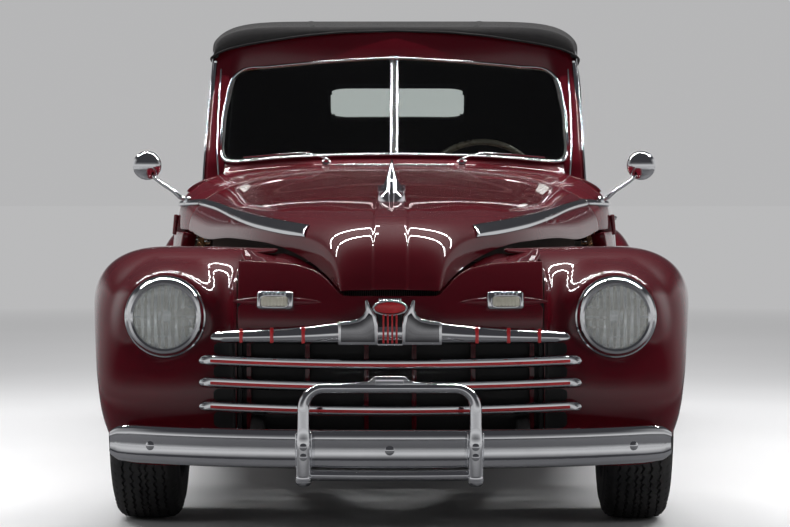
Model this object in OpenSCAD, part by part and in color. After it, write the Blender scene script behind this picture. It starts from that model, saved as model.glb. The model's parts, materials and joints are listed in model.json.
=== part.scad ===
// Two-door club convertible of the middle 1940s: separate fenders, alligator hood, raised canvas top.
// Front faces -Y, +X is the car's left, +Z is up. The origin is on the ground under the middle of the car.

/* [Overall] */
// Length over the bumpers
overall_length = 4983; // [4900:1:5060]
// Distance between the axles
wheelbase = 2896; // [2880:1:2912]
// Front axle back from the front bumper
front_overhang = 840; // [830:1:850]
// Distance between the middles of the two tyres of an axle
track = 1461; // [1450:1:1466]
// Width over the rear fenders
overall_width = 1862; // [1850:1:1880]
// Width over the front fenders
front_width = 1794; // [1780:1:1810]
// Height of the canvas top
top_height = 1585; // [1570:1:1600]

/* [Wheels] */
// Tyre outer diameter
tyre_d = 712; // [700:1:716]
// Tyre section width
tyre_w = 204; // [190:1:216]
// Wheel rim flange diameter
rim_d = 416; // [400:1:430]
// Wheel rim width
rim_w = 152; // [140:1:160]
// Brake drum diameter
drum_d = 300; // [280:1:310]
// Hub bore
hub_bore = 30; // [26:1:34]
// Clearance between a turning bore and its spindle
spindle_gap = 0.5; // [0.3:0.1:1]
// Kingpin inboard of the tyre's middle
kingpin_offset = 64; // [60:1:70]
// Kingpin diameter
kingpin_d = 22; // [20:1:24]
// Steering arm length back from the kingpin
steering_arm = 130; // [124:1:136]

/* [Panels] */
// Thickness of the pressed steel panels with their flanges
sheet = 8; // [6:1:10]
// Thickness of a door with its inner trim
door_t = 62; // [55:1:66]
// Thickness of the body sides behind the doors
wall_t = 45; // [40:1:50]
// Gap between neighbouring panels
panel_gap = 6; // [5:0.5:8]
// Height of the sill's underside
sill_z = 262; // [255:1:270]
// Height of the cabin floor
floor_z = 330; // [322:1:338]
// Thickness of the floor
floor_t = 20; // [12:1:24]

/* [Doors] */
// Front edge of the doors
door_front = -640; // [-650:1:-630]
// Rear edge of the doors
door_rear = 610; // [600:1:620]
// Belt line at the doors
belt_z = 962; // [955:1:970]
// Top of the door glass
glass_top = 1420; // [1412:1:1426]
// Thickness of the glass
glass_t = 5; // [4:0.5:6]

/* [Hood and lid] */
// Rear edge of the hood
hood_rear = -850; // [-856:1:-846]
// Front edge of the trunk lid
lid_front = 1372; // [1366:1:1380]
// Half width of the trunk lid
lid_half = 470; // [455:1:480]

/* [Canvas top] */
// Canvas thickness with its padding
canvas_t = 12; // [10:1:16]
// Lower edge of the canvas over the door glass
rail_z = 1434; // [1430:1:1440]
// Rear window width
rear_win_w = 528; // [500:1:550]
// Rear window height
rear_win_h = 112; // [100:1:124]

/* [Bumpers and lamps] */
// Bumper blade height
blade_h = 108; // [100:1:116]
// Middle height of the bumpers
bumper_z = 278; // [270:1:286]
// Half spread of the bumper guards
guard_x = 239; // [230:1:250]
// Guard tube diameter
guard_d = 50; // [44:1:56]
// Top of the front guard hoop
hoop_top = 446; // [436:1:456]
// Half spread of the headlamps
lamp_x = 646; // [642:1:650]
// Height of the headlamps
lamp_z = 636; // [632:1:640]
// Headlamp rim diameter
lamp_d = 232; // [224:1:240]

/* [Cabin] */
// Steering wheel diameter
wheel_d = 430; // [410:1:440]
// Steering wheel off the middle
steer_x = 300; // [290:1:310]
// Width of the bench seats
seat_w = 1220; // [1180:1:1240]

/* [Hidden] */
front_y = front_overhang - overall_length / 2;
rear_y = front_y + wheelbase;
axle_z = tyre_d / 2;
wheel_x = track / 2;
kingpin_x = wheel_x - kingpin_offset;
half_w = overall_width / 2;
fender_w = front_width / 2;
rail_x = 400;
rail_h = 96;
rail_low = floor_z - 2 - rail_h;
front_kick = 120;
rear_kick = 182;
upper_floor_z = floor_z + 186;
riser_y = rear_y - 470;
canvas_z = belt_z + 10;
nose_front = front_y - 616.5;
lamp_y = front_y - 514.5;
engine_y = front_y + 12;
arch_r = tyre_d / 2 + 44;
eye_d = 14;
column_foot_z = 640;
core_gap = 5;
$fn = 48;

// Stations of the body: key, y and z of the middle, then half width, y and z of the lower edge, roundness
hull_rows = [
    for (r = [
        [-900, 1080, 706, 5], [-640, 1100, 748, 6], [0, 1110, 784, 6.5], [610, 1105, 786, 6.5], [1240, 1036, 768, 7]
    ]) [r[0], r[0], r[1], r[2], r[0], sill_z, r[3]],
    [1500, 1490, 1008, 745, 1470, sill_z, 4.2],
    [1760, 1745, 962, 722, 1680, sill_z + 8, 3.4],
    [2000, 1985, 872, 695, 1860, sill_z + 36, 3.0],
    [2200, 2165, 725, 650, 2010, sill_z + 66, 2.8],
    [2350, 2280, 560, 590, 2120, sill_z + 84, 2.7],
    [2450, 2325, 430, 540, 2180, sill_z + 90, 2.6],
    [2500, 2335, 366, 510, 2205, sill_z + 92, 2.5]
];
// Stations of the hood, in the same order
hood_rows = [
    [-850, -850, 1062, 674, -850, 846, 2.45],
    [-1150, -1150, 1030, 596, -1150, 826, 2.45],
    [-1450, -1450, 1000, 508, -1450, 838, 2.5],
    [-1700, -1700, 972, 425, -1700, 838, 2.6],
    [-1850, -1850, 952, 357, -1850, 832, 2.6],
    [-1980, -1985, 930, 290, -1960, 812, 2.6],
    [-2080, -2098, 898, 225, -2065, 780, 2.8],
    [-2150, -2185, 838, 178, -2150, 745, 3.4],
    [-2200, -2232, 770, 154, -2205, 722, 4],
    [-2225, -2250, 716, 142, -2235, 712, 4]
];
// Stations of the canvas top, in the same order
top_rows = [
    [-462, -462, 1538, 655, -462, canvas_z, 8],
    [-200, -200, 1566, 668, -200, canvas_z, 8],
    [250, 250, top_height, 688, 250, canvas_z, 7.5],
    [610, 610, 1579, 704, 610, canvas_z, 7],
    [850, 870, 1548, 714, 830, canvas_z, 6],
    [1000, 1035, 1478, 712, 1000, canvas_z, 5],
    [1100, 1128, 1382, 696, 1130, canvas_z + 4, 4.2],
    [1180, 1205, 1262, 662, 1220, canvas_z + 18, 3.6],
    [1250, 1272, 1146, 600, 1284, canvas_z + 38, 3.2],
    [1300, 1325, 1052, 520, 1318, canvas_z + 54, 3]
];
// Front fender round its wheel: angle, crown radius and x, outer x, inner x and radius, lip radius
front_fender_rows = [
    [-106, 536, 632, 788, 446, 540, 452],
    [-92, 536, 640, 832, 446, 552, 438],
    [-76, 545, 646, 853, 446, 578, 416],
    [-60, 554, 650, 865, 446, 630, 386],
    [-46, 572, 655, 875, 440, 600, 358],
    [-34, 550, 660, 883, 340, 562, 338],
    [-14, 486, 668, fender_w - 5, 402, 464, 311],
    [6, 464, 672, fender_w, 458, 452, 304],
    [28, 506, 682, 893, 525, 514, 332],
    [46, 620, 698, 884, 590, 646, 360],
    [60, 752, 712, 868, 650, 776, 394],
    [72, 940, 726, 850, 700, 950, 424],
    [84, 1001, 736, 836, 724, 1001, 436],
    [94, 998, 740, 822, 728, 998, 442]
];
// Rear fender round its wheel, in the same order
rear_fender_rows = [
    [-100, 560, 800, 868, 740, 560, 430],
    [-82, 560, 800, 892, 735, 560, 420],
    [-60, 545, 795, 918, 728, 560, 380],
    [-35, 505, 790, half_w, 722, 540, 325],
    [-10, 478, 785, half_w, 715, 520, 286],
    [15, 480, 780, half_w, 700, 520, 284],
    [40, 545, 770, 924, 676, 590, 330],
    [62, 680, 752, 900, 645, 730, 384],
    [80, 800, 725, 862, 615, 845, 422],
    [96, 850, 700, 820, 600, 880, 440]
];

// ---------------------------------------------------------------- shape functions

// Row of the table at a key, by smooth curves through its rows
function row_at(rows, key) =
    let (
        last = len(rows) - 1,
        sign_k = rows[last][0] > rows[0][0] ? 1 : -1,
        found = [for (i = [0 : last - 1]) if (sign_k * (key - rows[i][0]) >= 0) i],
        i = len(found) == 0 ? 0 : found[len(found) - 1],
        a = rows[i], b = rows[i + 1],
        before = rows[max(i - 1, 0)], after = rows[min(i + 2, last)],
        h = b[0] - a[0], f = (key - a[0]) / h,
        slope_a = (b - before) / (b[0] - before[0]),
        slope_b = (after - a) / (after[0] - a[0])
    )
    (2 * f * f * f - 3 * f * f + 1) * a + (f * f * f - 2 * f * f + f) * h * slope_a
    + (3 * f * f - 2 * f * f * f) * b + (f * f * f - f * f) * h * slope_b;

// Point of an arch over a station: phi is 0 in the middle and 90 at the lower edge
function arch(r, phi) =
    let (
        s = sin(abs(phi)), c = max(cos(phi), 0),
        k = 1 / pow(pow(s, r[6]) + pow(c, r[6]), 1 / r[6])
    )
    [sign(phi) * r[3] * s * k, r[4] + (r[1] - r[4]) * c * k, r[5] + (r[2] - r[5]) * c * k];

// Angle of the arch's point at a height
function arch_angle(r, z) =
    let (c = (z - r[5]) / (r[2] - r[5])) atan2(pow(max(1 - pow(c, r[6]), 0), 1 / r[6]), c);

// Angle of the arch's point at a distance from the middle
function arch_angle_x(r, x) =
    let (s = x / r[3]) atan2(s, pow(max(1 - pow(abs(s), r[6]), 0), 1 / r[6]));

// Point of a fender's section: v is -1 at the inner edge, 0 on the crown and 1 at the wheel opening's lip
function fender_point(r, v, wheel_y) =
    let (
        n = v < 0 ? 2.4 : 2.3,
        s = sin(90 * abs(v)), c = max(cos(90 * v), 0),
        k = 1 / pow(pow(s, n) + pow(c, n), 1 / n),
        edge_x = v < 0 ? r[4] : r[3],
        edge_r = v < 0 ? r[5] : r[6],
        x = r[2] + (edge_x - r[2]) * s * k,
        rho = edge_r + (r[1] - edge_r) * c * k
    )
    [x, wheel_y + rho * sin(r[0]), axle_z + rho * cos(r[0])];

// Front of the nose panel: how far forward it stands at a place across and a height
function nose_y(x, z) = nose_front + 0.0003 * x * x + 0.0018 * pow(max(z - 610, 0), 2)
    + 0.001 * pow(max(430 - z, 0), 2);

function unit(v) = v / max(norm(v), 0.000001);

// Closed wall between a grid of points and the same grid set back by t
module skin(grid, t) {
    nu = len(grid);
    nv = len(grid[0]);
    normal = [for (i = [0 : nu - 1]) [for (j = [0 : nv - 1])
        unit(cross(grid[min(i + 1, nu - 1)][j] - grid[max(i - 1, 0)][j],
                   grid[i][min(j + 1, nv - 1)] - grid[i][max(j - 1, 0)]))]];
    outer = [for (i = [0 : nu - 1]) for (j = [0 : nv - 1]) grid[i][j]];
    inner = [for (i = [0 : nu - 1]) for (j = [0 : nv - 1]) grid[i][j] - t * normal[i][j]];
    n = nu * nv;
    cells = [for (i = [0 : nu - 2]) for (j = [0 : nv - 2])
        [i * nv + j, (i + 1) * nv + j, (i + 1) * nv + j + 1, i * nv + j + 1]];
    rim = concat(
        [for (j = [0 : nv - 1]) j],
        [for (i = [1 : nu - 1]) i * nv + nv - 1],
        [for (j = [nv - 2 : -1 : 0]) (nu - 1) * nv + j],
        [for (i = [nu - 2 : -1 : 1]) i * nv]
    );
    polyhedron(
        points = concat(outer, inner),
        faces = concat(
            [for (c = cells) [c[0], c[2], c[1]]],
            [for (c = cells) [c[0], c[3], c[2]]],
            [for (c = cells) [n + c[0], n + c[1], n + c[2]]],
            [for (c = cells) [n + c[0], n + c[2], n + c[3]]],
            [for (k = [0 : len(rim) - 1]) let (a = rim[k], b = rim[(k + 1) % len(rim)]) [a, n + b, b]],
            [for (k = [0 : len(rim) - 1]) let (a = rim[k], b = rim[(k + 1) % len(rim)]) [a, n + a, n + b]]
        )
    );
}

// Bar of an oval section swept along a path; a is half its width across, b half its height along up
module sweep(path, a, b, up = [0, 0, 1], sides = 8, turn = 0) {
    last = len(path) - 1;
    rings = [for (i = [0 : last])
        let (
            along = unit(path[min(i + 1, last)] - path[max(i - 1, 0)]),
            side = unit(cross(along, up)),
            rise = cross(side, along)
        )
        [for (k = [0 : sides - 1])
            path[i] + a * cos(k * 360 / sides + turn) * side + b * sin(k * 360 / sides + turn) * rise]];
    points = [for (ring = rings) for (p = ring) p];
    polyhedron(points = points, faces = concat(
        [[for (k = [sides - 1 : -1 : 0]) k]],
        [for (i = [0 : last - 1]) for (k = [0 : sides - 1])
            let (p = i * sides + k, q = i * sides + (k + 1) % sides) [p, q, p + sides]],
        [for (i = [0 : last - 1]) for (k = [0 : sides - 1])
            let (p = i * sides + k, q = i * sides + (k + 1) % sides) [q, q + sides, p + sides]],
        [[for (k = [0 : sides - 1]) last * sides + k]]
    ));
}

// Straight bar of a rectangular section between two points of a plan, its middle at height z
module bar(from, to, z, w, h) {
    d = to - from;
    translate([from[0], from[1], z]) rotate([0, 0, atan2(d[1], d[0])])
        translate([0, -w / 2, -h / 2]) cube([norm(d), w, h]);
}

// Round rod between two points
module rod(from, to, d) {
    v = to - from;
    translate(from) rotate([0, atan2(norm([v[0], v[1]]), v[2]), atan2(v[1], v[0])])
        cylinder(d = d, h = norm(v));
}

module both_sides() {
    children();
    mirror([1, 0, 0]) children();
}

// ---------------------------------------------------------------- frame and running gear

module chassis_frame() {
    mid_z = rail_low + rail_h / 2;
    front_end = front_y - 515;
    front_z = mid_z + front_kick;
    rear_z = mid_z + rear_kick;
    kick_a = rear_y - 420;
    kick_b = rear_y - 200;
    rear_end = rear_y + 930;
    slope_f = atan2(front_kick, 200);
    color("dimgray") {
        both_sides() {
            bar([rail_x - 40, front_end], [rail_x - 40, front_y + 260], front_z, 52, rail_h);
            translate([rail_x - 63, front_y + 256, front_z]) rotate([-slope_f, 0, 0])
                translate([0, 0, -rail_h / 2 + 2]) cube([46, 240, rail_h - 4]);
            bar([rail_x - 40, front_y + 450], [rail_x + 62, front_y + 1012], mid_z, 44, rail_h - 6);
            bar([rail_x + 60, front_y + 974], [rail_x + 60, kick_a], mid_z, 52, rail_h);
            bar([rail_x + 60, kick_b], [rail_x + 60, rear_end], rear_z, 52, rail_h);
            translate([rail_x + 37, kick_a - 10, mid_z]) rotate([atan2(rear_kick, kick_b - kick_a), 0, 0])
                translate([0, 0, -rail_h / 2 + 2]) cube([46, 288, rail_h - 4]);
            bar([rail_x + 50, front_y + 1060], [40, front_y + 1560], mid_z - 6, 42, rail_h - 18);
            bar([40, front_y + 1560], [rail_x + 50, front_y + 2120], mid_z - 6, 42, rail_h - 18);
        }
        bar([40 - rail_x, front_y - 74], [rail_x - 40, front_y - 74], front_z, 90, rail_h - 8);
        bar([-rail_x - 40, front_y + 900], [rail_x + 40, front_y + 900], mid_z - 8, 110, rail_h - 24);
        translate([-rail_x + 40, front_y - 350, front_z - rail_h / 2 + 5]) cube([2 * rail_x - 80, 84, 50]);
        for (y = [rear_y + 150, rear_end - 40])
            bar([-rail_x - 50, y], [rail_x + 50, y], rear_z, 80, rail_h - 20);
        translate([-45, rear_y + 124, axle_z + 34]) cube([90, 52, 60]);
        translate([-45, front_y - 100, axle_z - 45.5]) cube([90, 52, 60]);
        translate([-80, front_y + 1495, mid_z - 51]) cube([160, 130, 87]);
    }
}

module engine_block() {
    color("darkolivegreen") {
        translate([-215, engine_y, axle_z - 2]) cube([430, 640, 470]);
        translate([-100, engine_y + 638, axle_z - 2]) cube([200, 470, 60]);
    }
}

module radiator() {
    color("black") translate([-250, front_y - 340, rail_low + front_kick + 56]) cube([500, 70, 380]);
}

module front_axle() {
    beam_z = axle_z - 122;
    color("darkslategray") difference() {
        union() {
            bar([-520, front_y], [520, front_y], beam_z, 48, 44);
            both_sides() {
                translate([500, front_y - 22, beam_z - 21]) rotate([0, -42, 0]) cube([176, 44, 38]);
                translate([kingpin_x, front_y, axle_z - 33]) cylinder(d = 44, h = 66);
                translate([600, front_y - 20, axle_z - 33]) cube([kingpin_x - 600, 40, 50]);
                translate([380, front_y - 100, beam_z + 18]) cube([44, 100, 14]);
            }
            for (k = [0 : 3])
                bar([-430 + 60 * k, front_y - 74], [430 - 60 * k, front_y - 74], beam_z + 37 + 11 * k, 50, 11.2);
        }
        both_sides() translate([kingpin_x, front_y, axle_z - 60])
            cylinder(d = kingpin_d + 2 * spindle_gap, h = 120);
    }
}

// Turned axle housing with the bulge of the differential and the brake backing plates
module rear_axle() {
    end = wheel_x - 78;
    bulge = 118;
    half = [for (a = [0 : 15 : 75]) [bulge * cos(a), bulge * sin(a)]];
    profile = concat(half, [[38, 128], [38, end], [drum_d / 2 - 4, end], [drum_d / 2 - 4, end + 10], [22, end + 10],
        [22, wheel_x - 10], [0, wheel_x - 10], [0, 0]]);
    color("darkslategray") {
        translate([0, rear_y, axle_z]) both_sides() rotate([0, 90, 0]) rotate_extrude() polygon(profile);
        translate([0, rear_y - 90, axle_z]) rotate([90, 0, 0]) cylinder(d = 72, h = rear_y - 90 - engine_y - 1120);
        for (k = [0 : 3])
            bar([-560 + 80 * k, rear_y + 150], [560 - 80 * k, rear_y + 150], axle_z - 5 + 11 * k, 52, 11.2);
        both_sides() translate([440, rear_y, axle_z - 30]) cube([50, 176, 20]);
    }
}

// Hub, open drum, disc and rim about the X axis, its outside towards +X
module wheel_shape(axle_d) {
    rim_r = rim_d / 2;
    drum_r = drum_d / 2;
    lip = rim_w / 2 + 8;
    color("gainsboro") rotate([0, 90, 0]) rotate_extrude($fn = 72) polygon([
        [axle_d / 2 + spindle_gap, -12], [drum_r - 12, -10], [drum_r - 12, -30], [drum_r, -30], [drum_r, 6],
        [rim_r - 34, 10], [rim_r - 30, -rim_w / 2 + 16], [rim_r - 12, -rim_w / 2 + 12], [rim_r, -rim_w / 2],
        [rim_r, -lip], [rim_r + 8, -lip], [rim_r + 6, -rim_w / 2 + 10],
        [rim_r - 8, -rim_w / 2 + 22], [rim_r - 20, 0], [rim_r - 8, rim_w / 2 - 22],
        [rim_r + 6, rim_w / 2 - 10], [rim_r + 8, lip], [rim_r, lip],
        [rim_r - 14, rim_w / 2 - 14], [rim_r - 30, 30], [drum_r - 26, 40],
        [drum_r - 40, 24], [86, 24], [70, 44], [30, 52], [axle_d / 2 + spindle_gap, 52]
    ]);
}

module tyre_shape() {
    rim_r = rim_d / 2;
    tyre_r = tyre_d / 2;
    half = tyre_w / 2;
    bead = rim_w / 2 - 12;
    side = [[rim_r + 9, bead], [rim_r + 22, half - 14], [rim_r + 60, half], [rim_r + 92, half - 3],
            [tyre_r - 20, half - 14], [tyre_r - 6, half - 30], [tyre_r, half - 54]];
    inner = [[tyre_r - 22, half - 40], [tyre_r - 40, half - 20], [rim_r + 60, half - 14], [rim_r + 24, bead + 4]];
    color([0.1, 0.1, 0.1]) rotate([0, 90, 0]) rotate_extrude($fn = 96) polygon(concat(
        side,
        [for (k = [len(side) - 1 : -1 : 0]) [side[k][0], -side[k][1]]],
        [for (k = [len(inner) - 1 : -1 : 0]) [inner[k][0], -inner[k][1]]],
        inner
    ));
}

module knuckle() {
    ear = 22;
    low = axle_z - 35 - ear;
    high = axle_z + 35;
    color("slategray") {
        translate([kingpin_x, front_y, low]) cylinder(d = kingpin_d, h = high + ear - low);
        for (z = [low, high]) {
            translate([kingpin_x, front_y, z]) cylinder(d = 44, h = ear);
            translate([kingpin_x, front_y - 19, z]) cube([40, 38, ear]);
        }
        translate([kingpin_x + 28, front_y - 22, low]) cube([14, 44, high + ear - low]);
        translate([kingpin_x + 28, front_y, axle_z]) rotate([0, 90, 0]) cylinder(d = drum_d - 28, h = 5);
        translate([kingpin_x + 30, front_y, axle_z]) rotate([0, 90, 0]) cylinder(d = hub_bore, h = 86);
        difference() {
            union() {
                translate([kingpin_x - 11, front_y, low]) cube([22, steering_arm - 8, ear]);
                translate([kingpin_x, front_y + steering_arm, low]) cylinder(d = 34, h = ear);
            }
            translate([kingpin_x, front_y + steering_arm, low - 10]) cylinder(d = eye_d + 2 * spindle_gap, h = 50);
        }
    }
}

module tie_rod() {
    y = front_y + steering_arm;
    rod_z = axle_z - 22;
    color("gray") {
        translate([0, y, rod_z]) rotate([0, 90, 0]) cylinder(d = 20, h = 2 * kingpin_x - 26, center = true);
        both_sides() {
            translate([kingpin_x, y, rod_z - 11]) cylinder(d = 32, h = 22);
            translate([kingpin_x, y, rod_z - 34]) cylinder(d = eye_d, h = 40);
        }
    }
}

module exhaust() {
    pipe_y0 = front_y + 420;
    color("silver") {
        sweep([[-238, pipe_y0, 420], [-262, pipe_y0 + 160, 330], [-286, pipe_y0 + 420, 206], [-290, 0, 200],
               [-290, 420, 200]], 22, 22);
        translate([-290, 400, 210]) rotate([-90, 0, 0]) cylinder(d = 116, h = 480);
        sweep([[-290, 870, 212], [-330, 1060, 234], [-360, rear_y - 40, 250], [-470, rear_y + 330, 258],
               [-560, rear_y + 700, 244], [-560, rear_y + 1040, 226]], 20, 20);
    }
}

module fuel_tank() {
    color("black") translate([-330, rear_y + 440, 340]) cube([660, 380, upper_floor_z - 342]);
}

// ---------------------------------------------------------------- body

// Inner housing over a rear wheel, on the left
module wheelhouse() {
    translate([596, rear_y, axle_z]) difference() {
        rotate([0, 90, 0]) cylinder(r = arch_r + sheet, h = 130);
        translate([sheet, 0, 0]) rotate([0, 90, 0]) cylinder(r = arch_r, h = 200);
        translate([-10, -600, -700]) cube([300, 1200, 700 + upper_floor_z - axle_z]);
    }
}

module floor_pan() {
    side_x = 674;
    tunnel_w = 256;
    tunnel_h = 110;
    front = hood_rear + 6;
    tail = rear_y + 790;
    color("maroon") {
        difference() {
            union() {
                translate([-650, front, floor_z]) cube([1300, riser_y - front, floor_t]);
                translate([-side_x, door_front, floor_z]) cube([2 * side_x, riser_y - door_front, floor_t]);
                translate([-tunnel_w / 2, front, floor_z]) cube([tunnel_w, riser_y - front, tunnel_h]);
                both_sides() translate([600, door_front + 20, sill_z])
                    cube([side_x - 600, door_rear - door_front - 20, floor_z - sill_z + 1]);
                translate([-595, front, floor_z]) cube([1190, 24, 600]);
            }
            translate([-tunnel_w / 2 + floor_t, front - 1, floor_z - 1])
                cube([tunnel_w - 2 * floor_t, riser_y - front + 2, tunnel_h - floor_t + 1]);
            translate([steer_x, front - 40, column_foot_z]) rotate([-90, 0, 0]) cylinder(d = 84, h = 120);
        }
        difference() {
            union() {
                translate([-side_x, riser_y, floor_z]) cube([2 * side_x, floor_t, upper_floor_z - floor_z]);
                translate([-596, riser_y, upper_floor_z]) cube([1192, tail - riser_y, floor_t]);
            }
            translate([-tunnel_w / 2 + floor_t, riser_y - 1, floor_z - 1])
                cube([tunnel_w - 2 * floor_t, floor_t + 2, tunnel_h - floor_t + 1]);
        }
        both_sides() wheelhouse();
    }
}

// Grid of the body side between two stations and two heights, on the left
function side_grid(y0, y1, z0, z1, nu, nv) =
    [for (i = [0 : nu]) let (r = row_at(hull_rows, y0 + (y1 - y0) * i / nu))
        [for (j = [0 : nv]) arch(r, arch_angle(r, z0 + (z1 - z0) * j / nv))]];

// Stations of the cowl's top, in the same order, and of its part over the door's front corner
cowl_rows = [
    [-844, -844, 1062, 674, -844, 846, 2.45],
    [-785, -785, 1067, 694, -785, 846, 2.7],
    [-720, -720, 1071, 711, -720, 846, 3.0],
    [-655, -655, 1073, 722, -655, 846, 3.4]
];
scuttle_rows = [
    [-657, -657, 1073, 697, -657, belt_z + panel_gap, 2.2],
    [-600, -600, 1075, 664, -600, belt_z + panel_gap, 3]
];

module cowl() {
    color("maroon") {
        skin([for (row = cowl_rows) [for (j = [0 : 18]) arch(row, 88 - 176 * j / 18)]], sheet + 2);
        skin([for (row = scuttle_rows) [for (j = [0 : 12]) arch(row, 82 - 164 * j / 12)]], sheet + 2);
        both_sides() skin(side_grid(hood_rear + panel_gap, door_front - panel_gap - 4, sill_z + 20, 848, 2, 6), wall_t);
    }
}

// Solid of the body's outer form grown by gap, which the fenders and tail lamps stop against
module body_core(gap = core_gap) {
    rows = [for (k = [-900, -640, -300, 0, 300, 610, 850, 1050, 1240, 1366, 1500, 1640, 1780, 1900, 2010, 2110, 2200, 2280, 2340, 2400, 2460])
        row_at(hull_rows, k) + [0, 0, gap, gap, 0, 0, 0]];
    n = 32;
    rings = [for (r = rows) [for (j = [0 : n]) arch(r, 90 - 180 * j / n)]];
    w = n + 1;
    last = len(rows) - 1;
    polyhedron(points = [for (ring = rings) for (p = ring) p], faces = concat(
        [[for (j = [n : -1 : 0]) j]],
        [for (i = [0 : last - 1]) for (j = [0 : n - 1]) let (p = i * w + j) [p, p + 1, p + w + 1]],
        [for (i = [0 : last - 1]) for (j = [0 : n - 1]) let (p = i * w + j) [p, p + w + 1, p + w]],
        [for (i = [0 : last - 1]) let (p = i * w, q = i * w + n) [p, q + w, q]],
        [for (i = [0 : last - 1]) let (p = i * w, q = i * w + n) [p, p + w, q + w]],
        [[for (j = [0 : n]) last * w + j]]
    ));
}

module rear_body() {
    shelf = [for (y = [1241, lid_front - panel_gap - 3]) let (r = row_at(hull_rows, y))
        [for (j = [0 : 12]) arch(r, 56 - 112 * j / 12)]];
    side_keys = [1240, lid_front - panel_gap - 1, lid_front - panel_gap, 1500, 1640, 1780, 1900, 2010, 2110, 2200, 2280, 2340];
    tail_keys = [2330, 2400, 2460, 2500];
    color("maroon") {
        difference() {
            both_sides() {
                skin(side_grid(door_rear + panel_gap, 1240, sill_z + 20, belt_z + 8, 5, 7), wall_t);
                skin([for (k = side_keys) let (r = row_at(hull_rows, k),
                        top = k < lid_front - panel_gap ? 56 : arch_angle_x(r, lid_half + panel_gap + 4))
                    [for (j = [0 : 8]) arch(r, 89 + (top - 89) * j / 8)]], 20);
            }
            translate([-900, rear_y, axle_z]) rotate([0, 90, 0]) cylinder(r = arch_r + sheet + 1, h = 1800);
            translate([-900, rear_y - 330, 0]) cube([1800, 660, axle_z]);
        }
        skin(shelf, 20);
        skin([for (k = tail_keys) let (r = row_at(hull_rows, k))
            [for (j = [0 : 14]) arch(r, 89 - 178 * j / 14)]], 20);
        translate([-590, 1206, upper_floor_z + floor_t]) cube([1180, 24, 470]);
    }
}

// Grid of a fender between two angles
function fender_grid(rows, wheel_y, v0, v1, nu, nv) =
    let (a0 = rows[0][0], a1 = rows[len(rows) - 1][0])
    [for (i = [0 : nu]) let (r = row_at(rows, a0 + (a1 - a0) * i / nu))
        [for (j = [0 : nv]) fender_point(r, v1 + (v0 - v1) * j / nv, wheel_y)]];

module front_fender() {
    color("maroon") difference() {
        skin(fender_grid(front_fender_rows, front_y, -1, 1, 22, 10), sheet);
        body_core();
        lamp_place() rotate_extrude() polygon([[0, -130], [lamp_d / 2 - 20, -130], [lamp_d / 2 - 20, 0], [lamp_d / 2 + 1, 0], [lamp_d / 2 + 1, 60], [0, 60]]);
    }
}

module rear_fender() {
    color("maroon") difference() {
        skin(fender_grid(rear_fender_rows, rear_y, -1, 1, 18, 9), sheet);
        body_core();
    }
}

// Top edge of the nose panel, under the hood's lower edge
function nose_top(x) = let (a = abs(x)) 700 + 66 * (1 - 1 / (1 + pow(max(a - 130, 0) / 80, 2)));

// Panel between the nose and one side of the hood: the line under the hood's edge, then the line along nose and fender
apron_in = [[130, -2224, 702], [141, -2196, 712], [165, -2143, 735], [212, -2060, 770], [277, -1958, 802], [318, -1902, 811]];
apron_out = [[150, nose_y(150, 700) + 3, 704], [220, nose_y(220, 726) + 3, nose_top(220) - 2],
             [320, nose_y(320, 752) + 3, nose_top(320) - 2], [427, nose_y(427, 764) + 3, nose_top(427) - 2],
             [418, -2090, 767], [324, -1978, 804]];

module nose_panel() {
    half = 437;
    apron = [for (k = [0 : 5]) [for (j = [0 : 4]) let (f = j / 4)
        apron_out[k] + f * (apron_in[k] - apron_out[k]) - [0, 0, 16 * f * (1 - f) * min(k, 2)]]];
    upper = [for (i = [0 : 4]) [for (j = [0 : 14]) let (x = half - 2 * half * j / 14, z = 624 + (nose_top(x) - 624) * i / 4)
        [x, nose_y(x, z), z]]];
    lower = [for (i = [0 : 3]) [for (j = [0 : 10]) let (x = half - 2 * half * j / 10, z = 250 + 32 * i)
        [x, nose_y(x, z), z]]];
    color("maroon") {
        skin(upper, sheet);
        difference() {
            skin(lower, sheet);
            both_sides() translate([rail_x - 68, -2400, 296]) cube([56, 300, 70]);
        }
        both_sides() {
            translate([half - 14, nose_y(half, 500) + sheet, 250]) cube([14, 30, 430]);
            skin(apron, sheet);
        }
    }
}

// Path of a grille bar across the front at one height, set out from the nose
function bar_path(half, z, out, n = 10) =
    [for (k = [0 : n]) let (x = half * (2 * k / n - 1)) [x, nose_front + 0.00026 * x * x - out, z]];

module grille() {
    color("silver") {
        sweep(bar_path(508, 592, 20), 16, 30, sides = 8, turn = 22.5);
        for (k = [0 : 2])
            sweep(bar_path(545, 506 - 62.5 * k, 22), 17, 17, sides = 8, turn = 22.5);
        both_sides() translate([242, nose_y(250, 500) - 16, 350]) cube([16, 46, 250]);
        translate([-24, nose_front - 44, 350]) cube([48, 43, 340]);
    }
}

// Path of a bumper blade; sense is -1 at the front and 1 at the back
function blade_path(y_mid, y_end, half, z, n = 14) =
    [for (k = [0 : n]) let (x = half * (2 * k / n - 1)) [x, y_mid + (y_end - y_mid) * pow(abs(x) / half, 2.6), z]];

module guard_hoop(y, sense) {
    bend = 60;
    post = hoop_top - guard_d / 2 - bend;
    both_sides() {
        translate([guard_x, y, 190]) cylinder(d = guard_d, h = post - 190);
        translate([guard_x - bend, y, post]) rotate([90, 0, 0]) rotate_extrude(angle = 90)
            translate([bend, 0]) circle(d = guard_d);
        translate([guard_x - 26, y - (sense < 0 ? 0 : 60), bumper_z - 50]) cube([52, 60, 100]);
    }
    translate([0, y, post + bend]) rotate([0, 90, 0]) cylinder(d = guard_d, h = 2 * (guard_x - bend), center = true);
}

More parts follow.
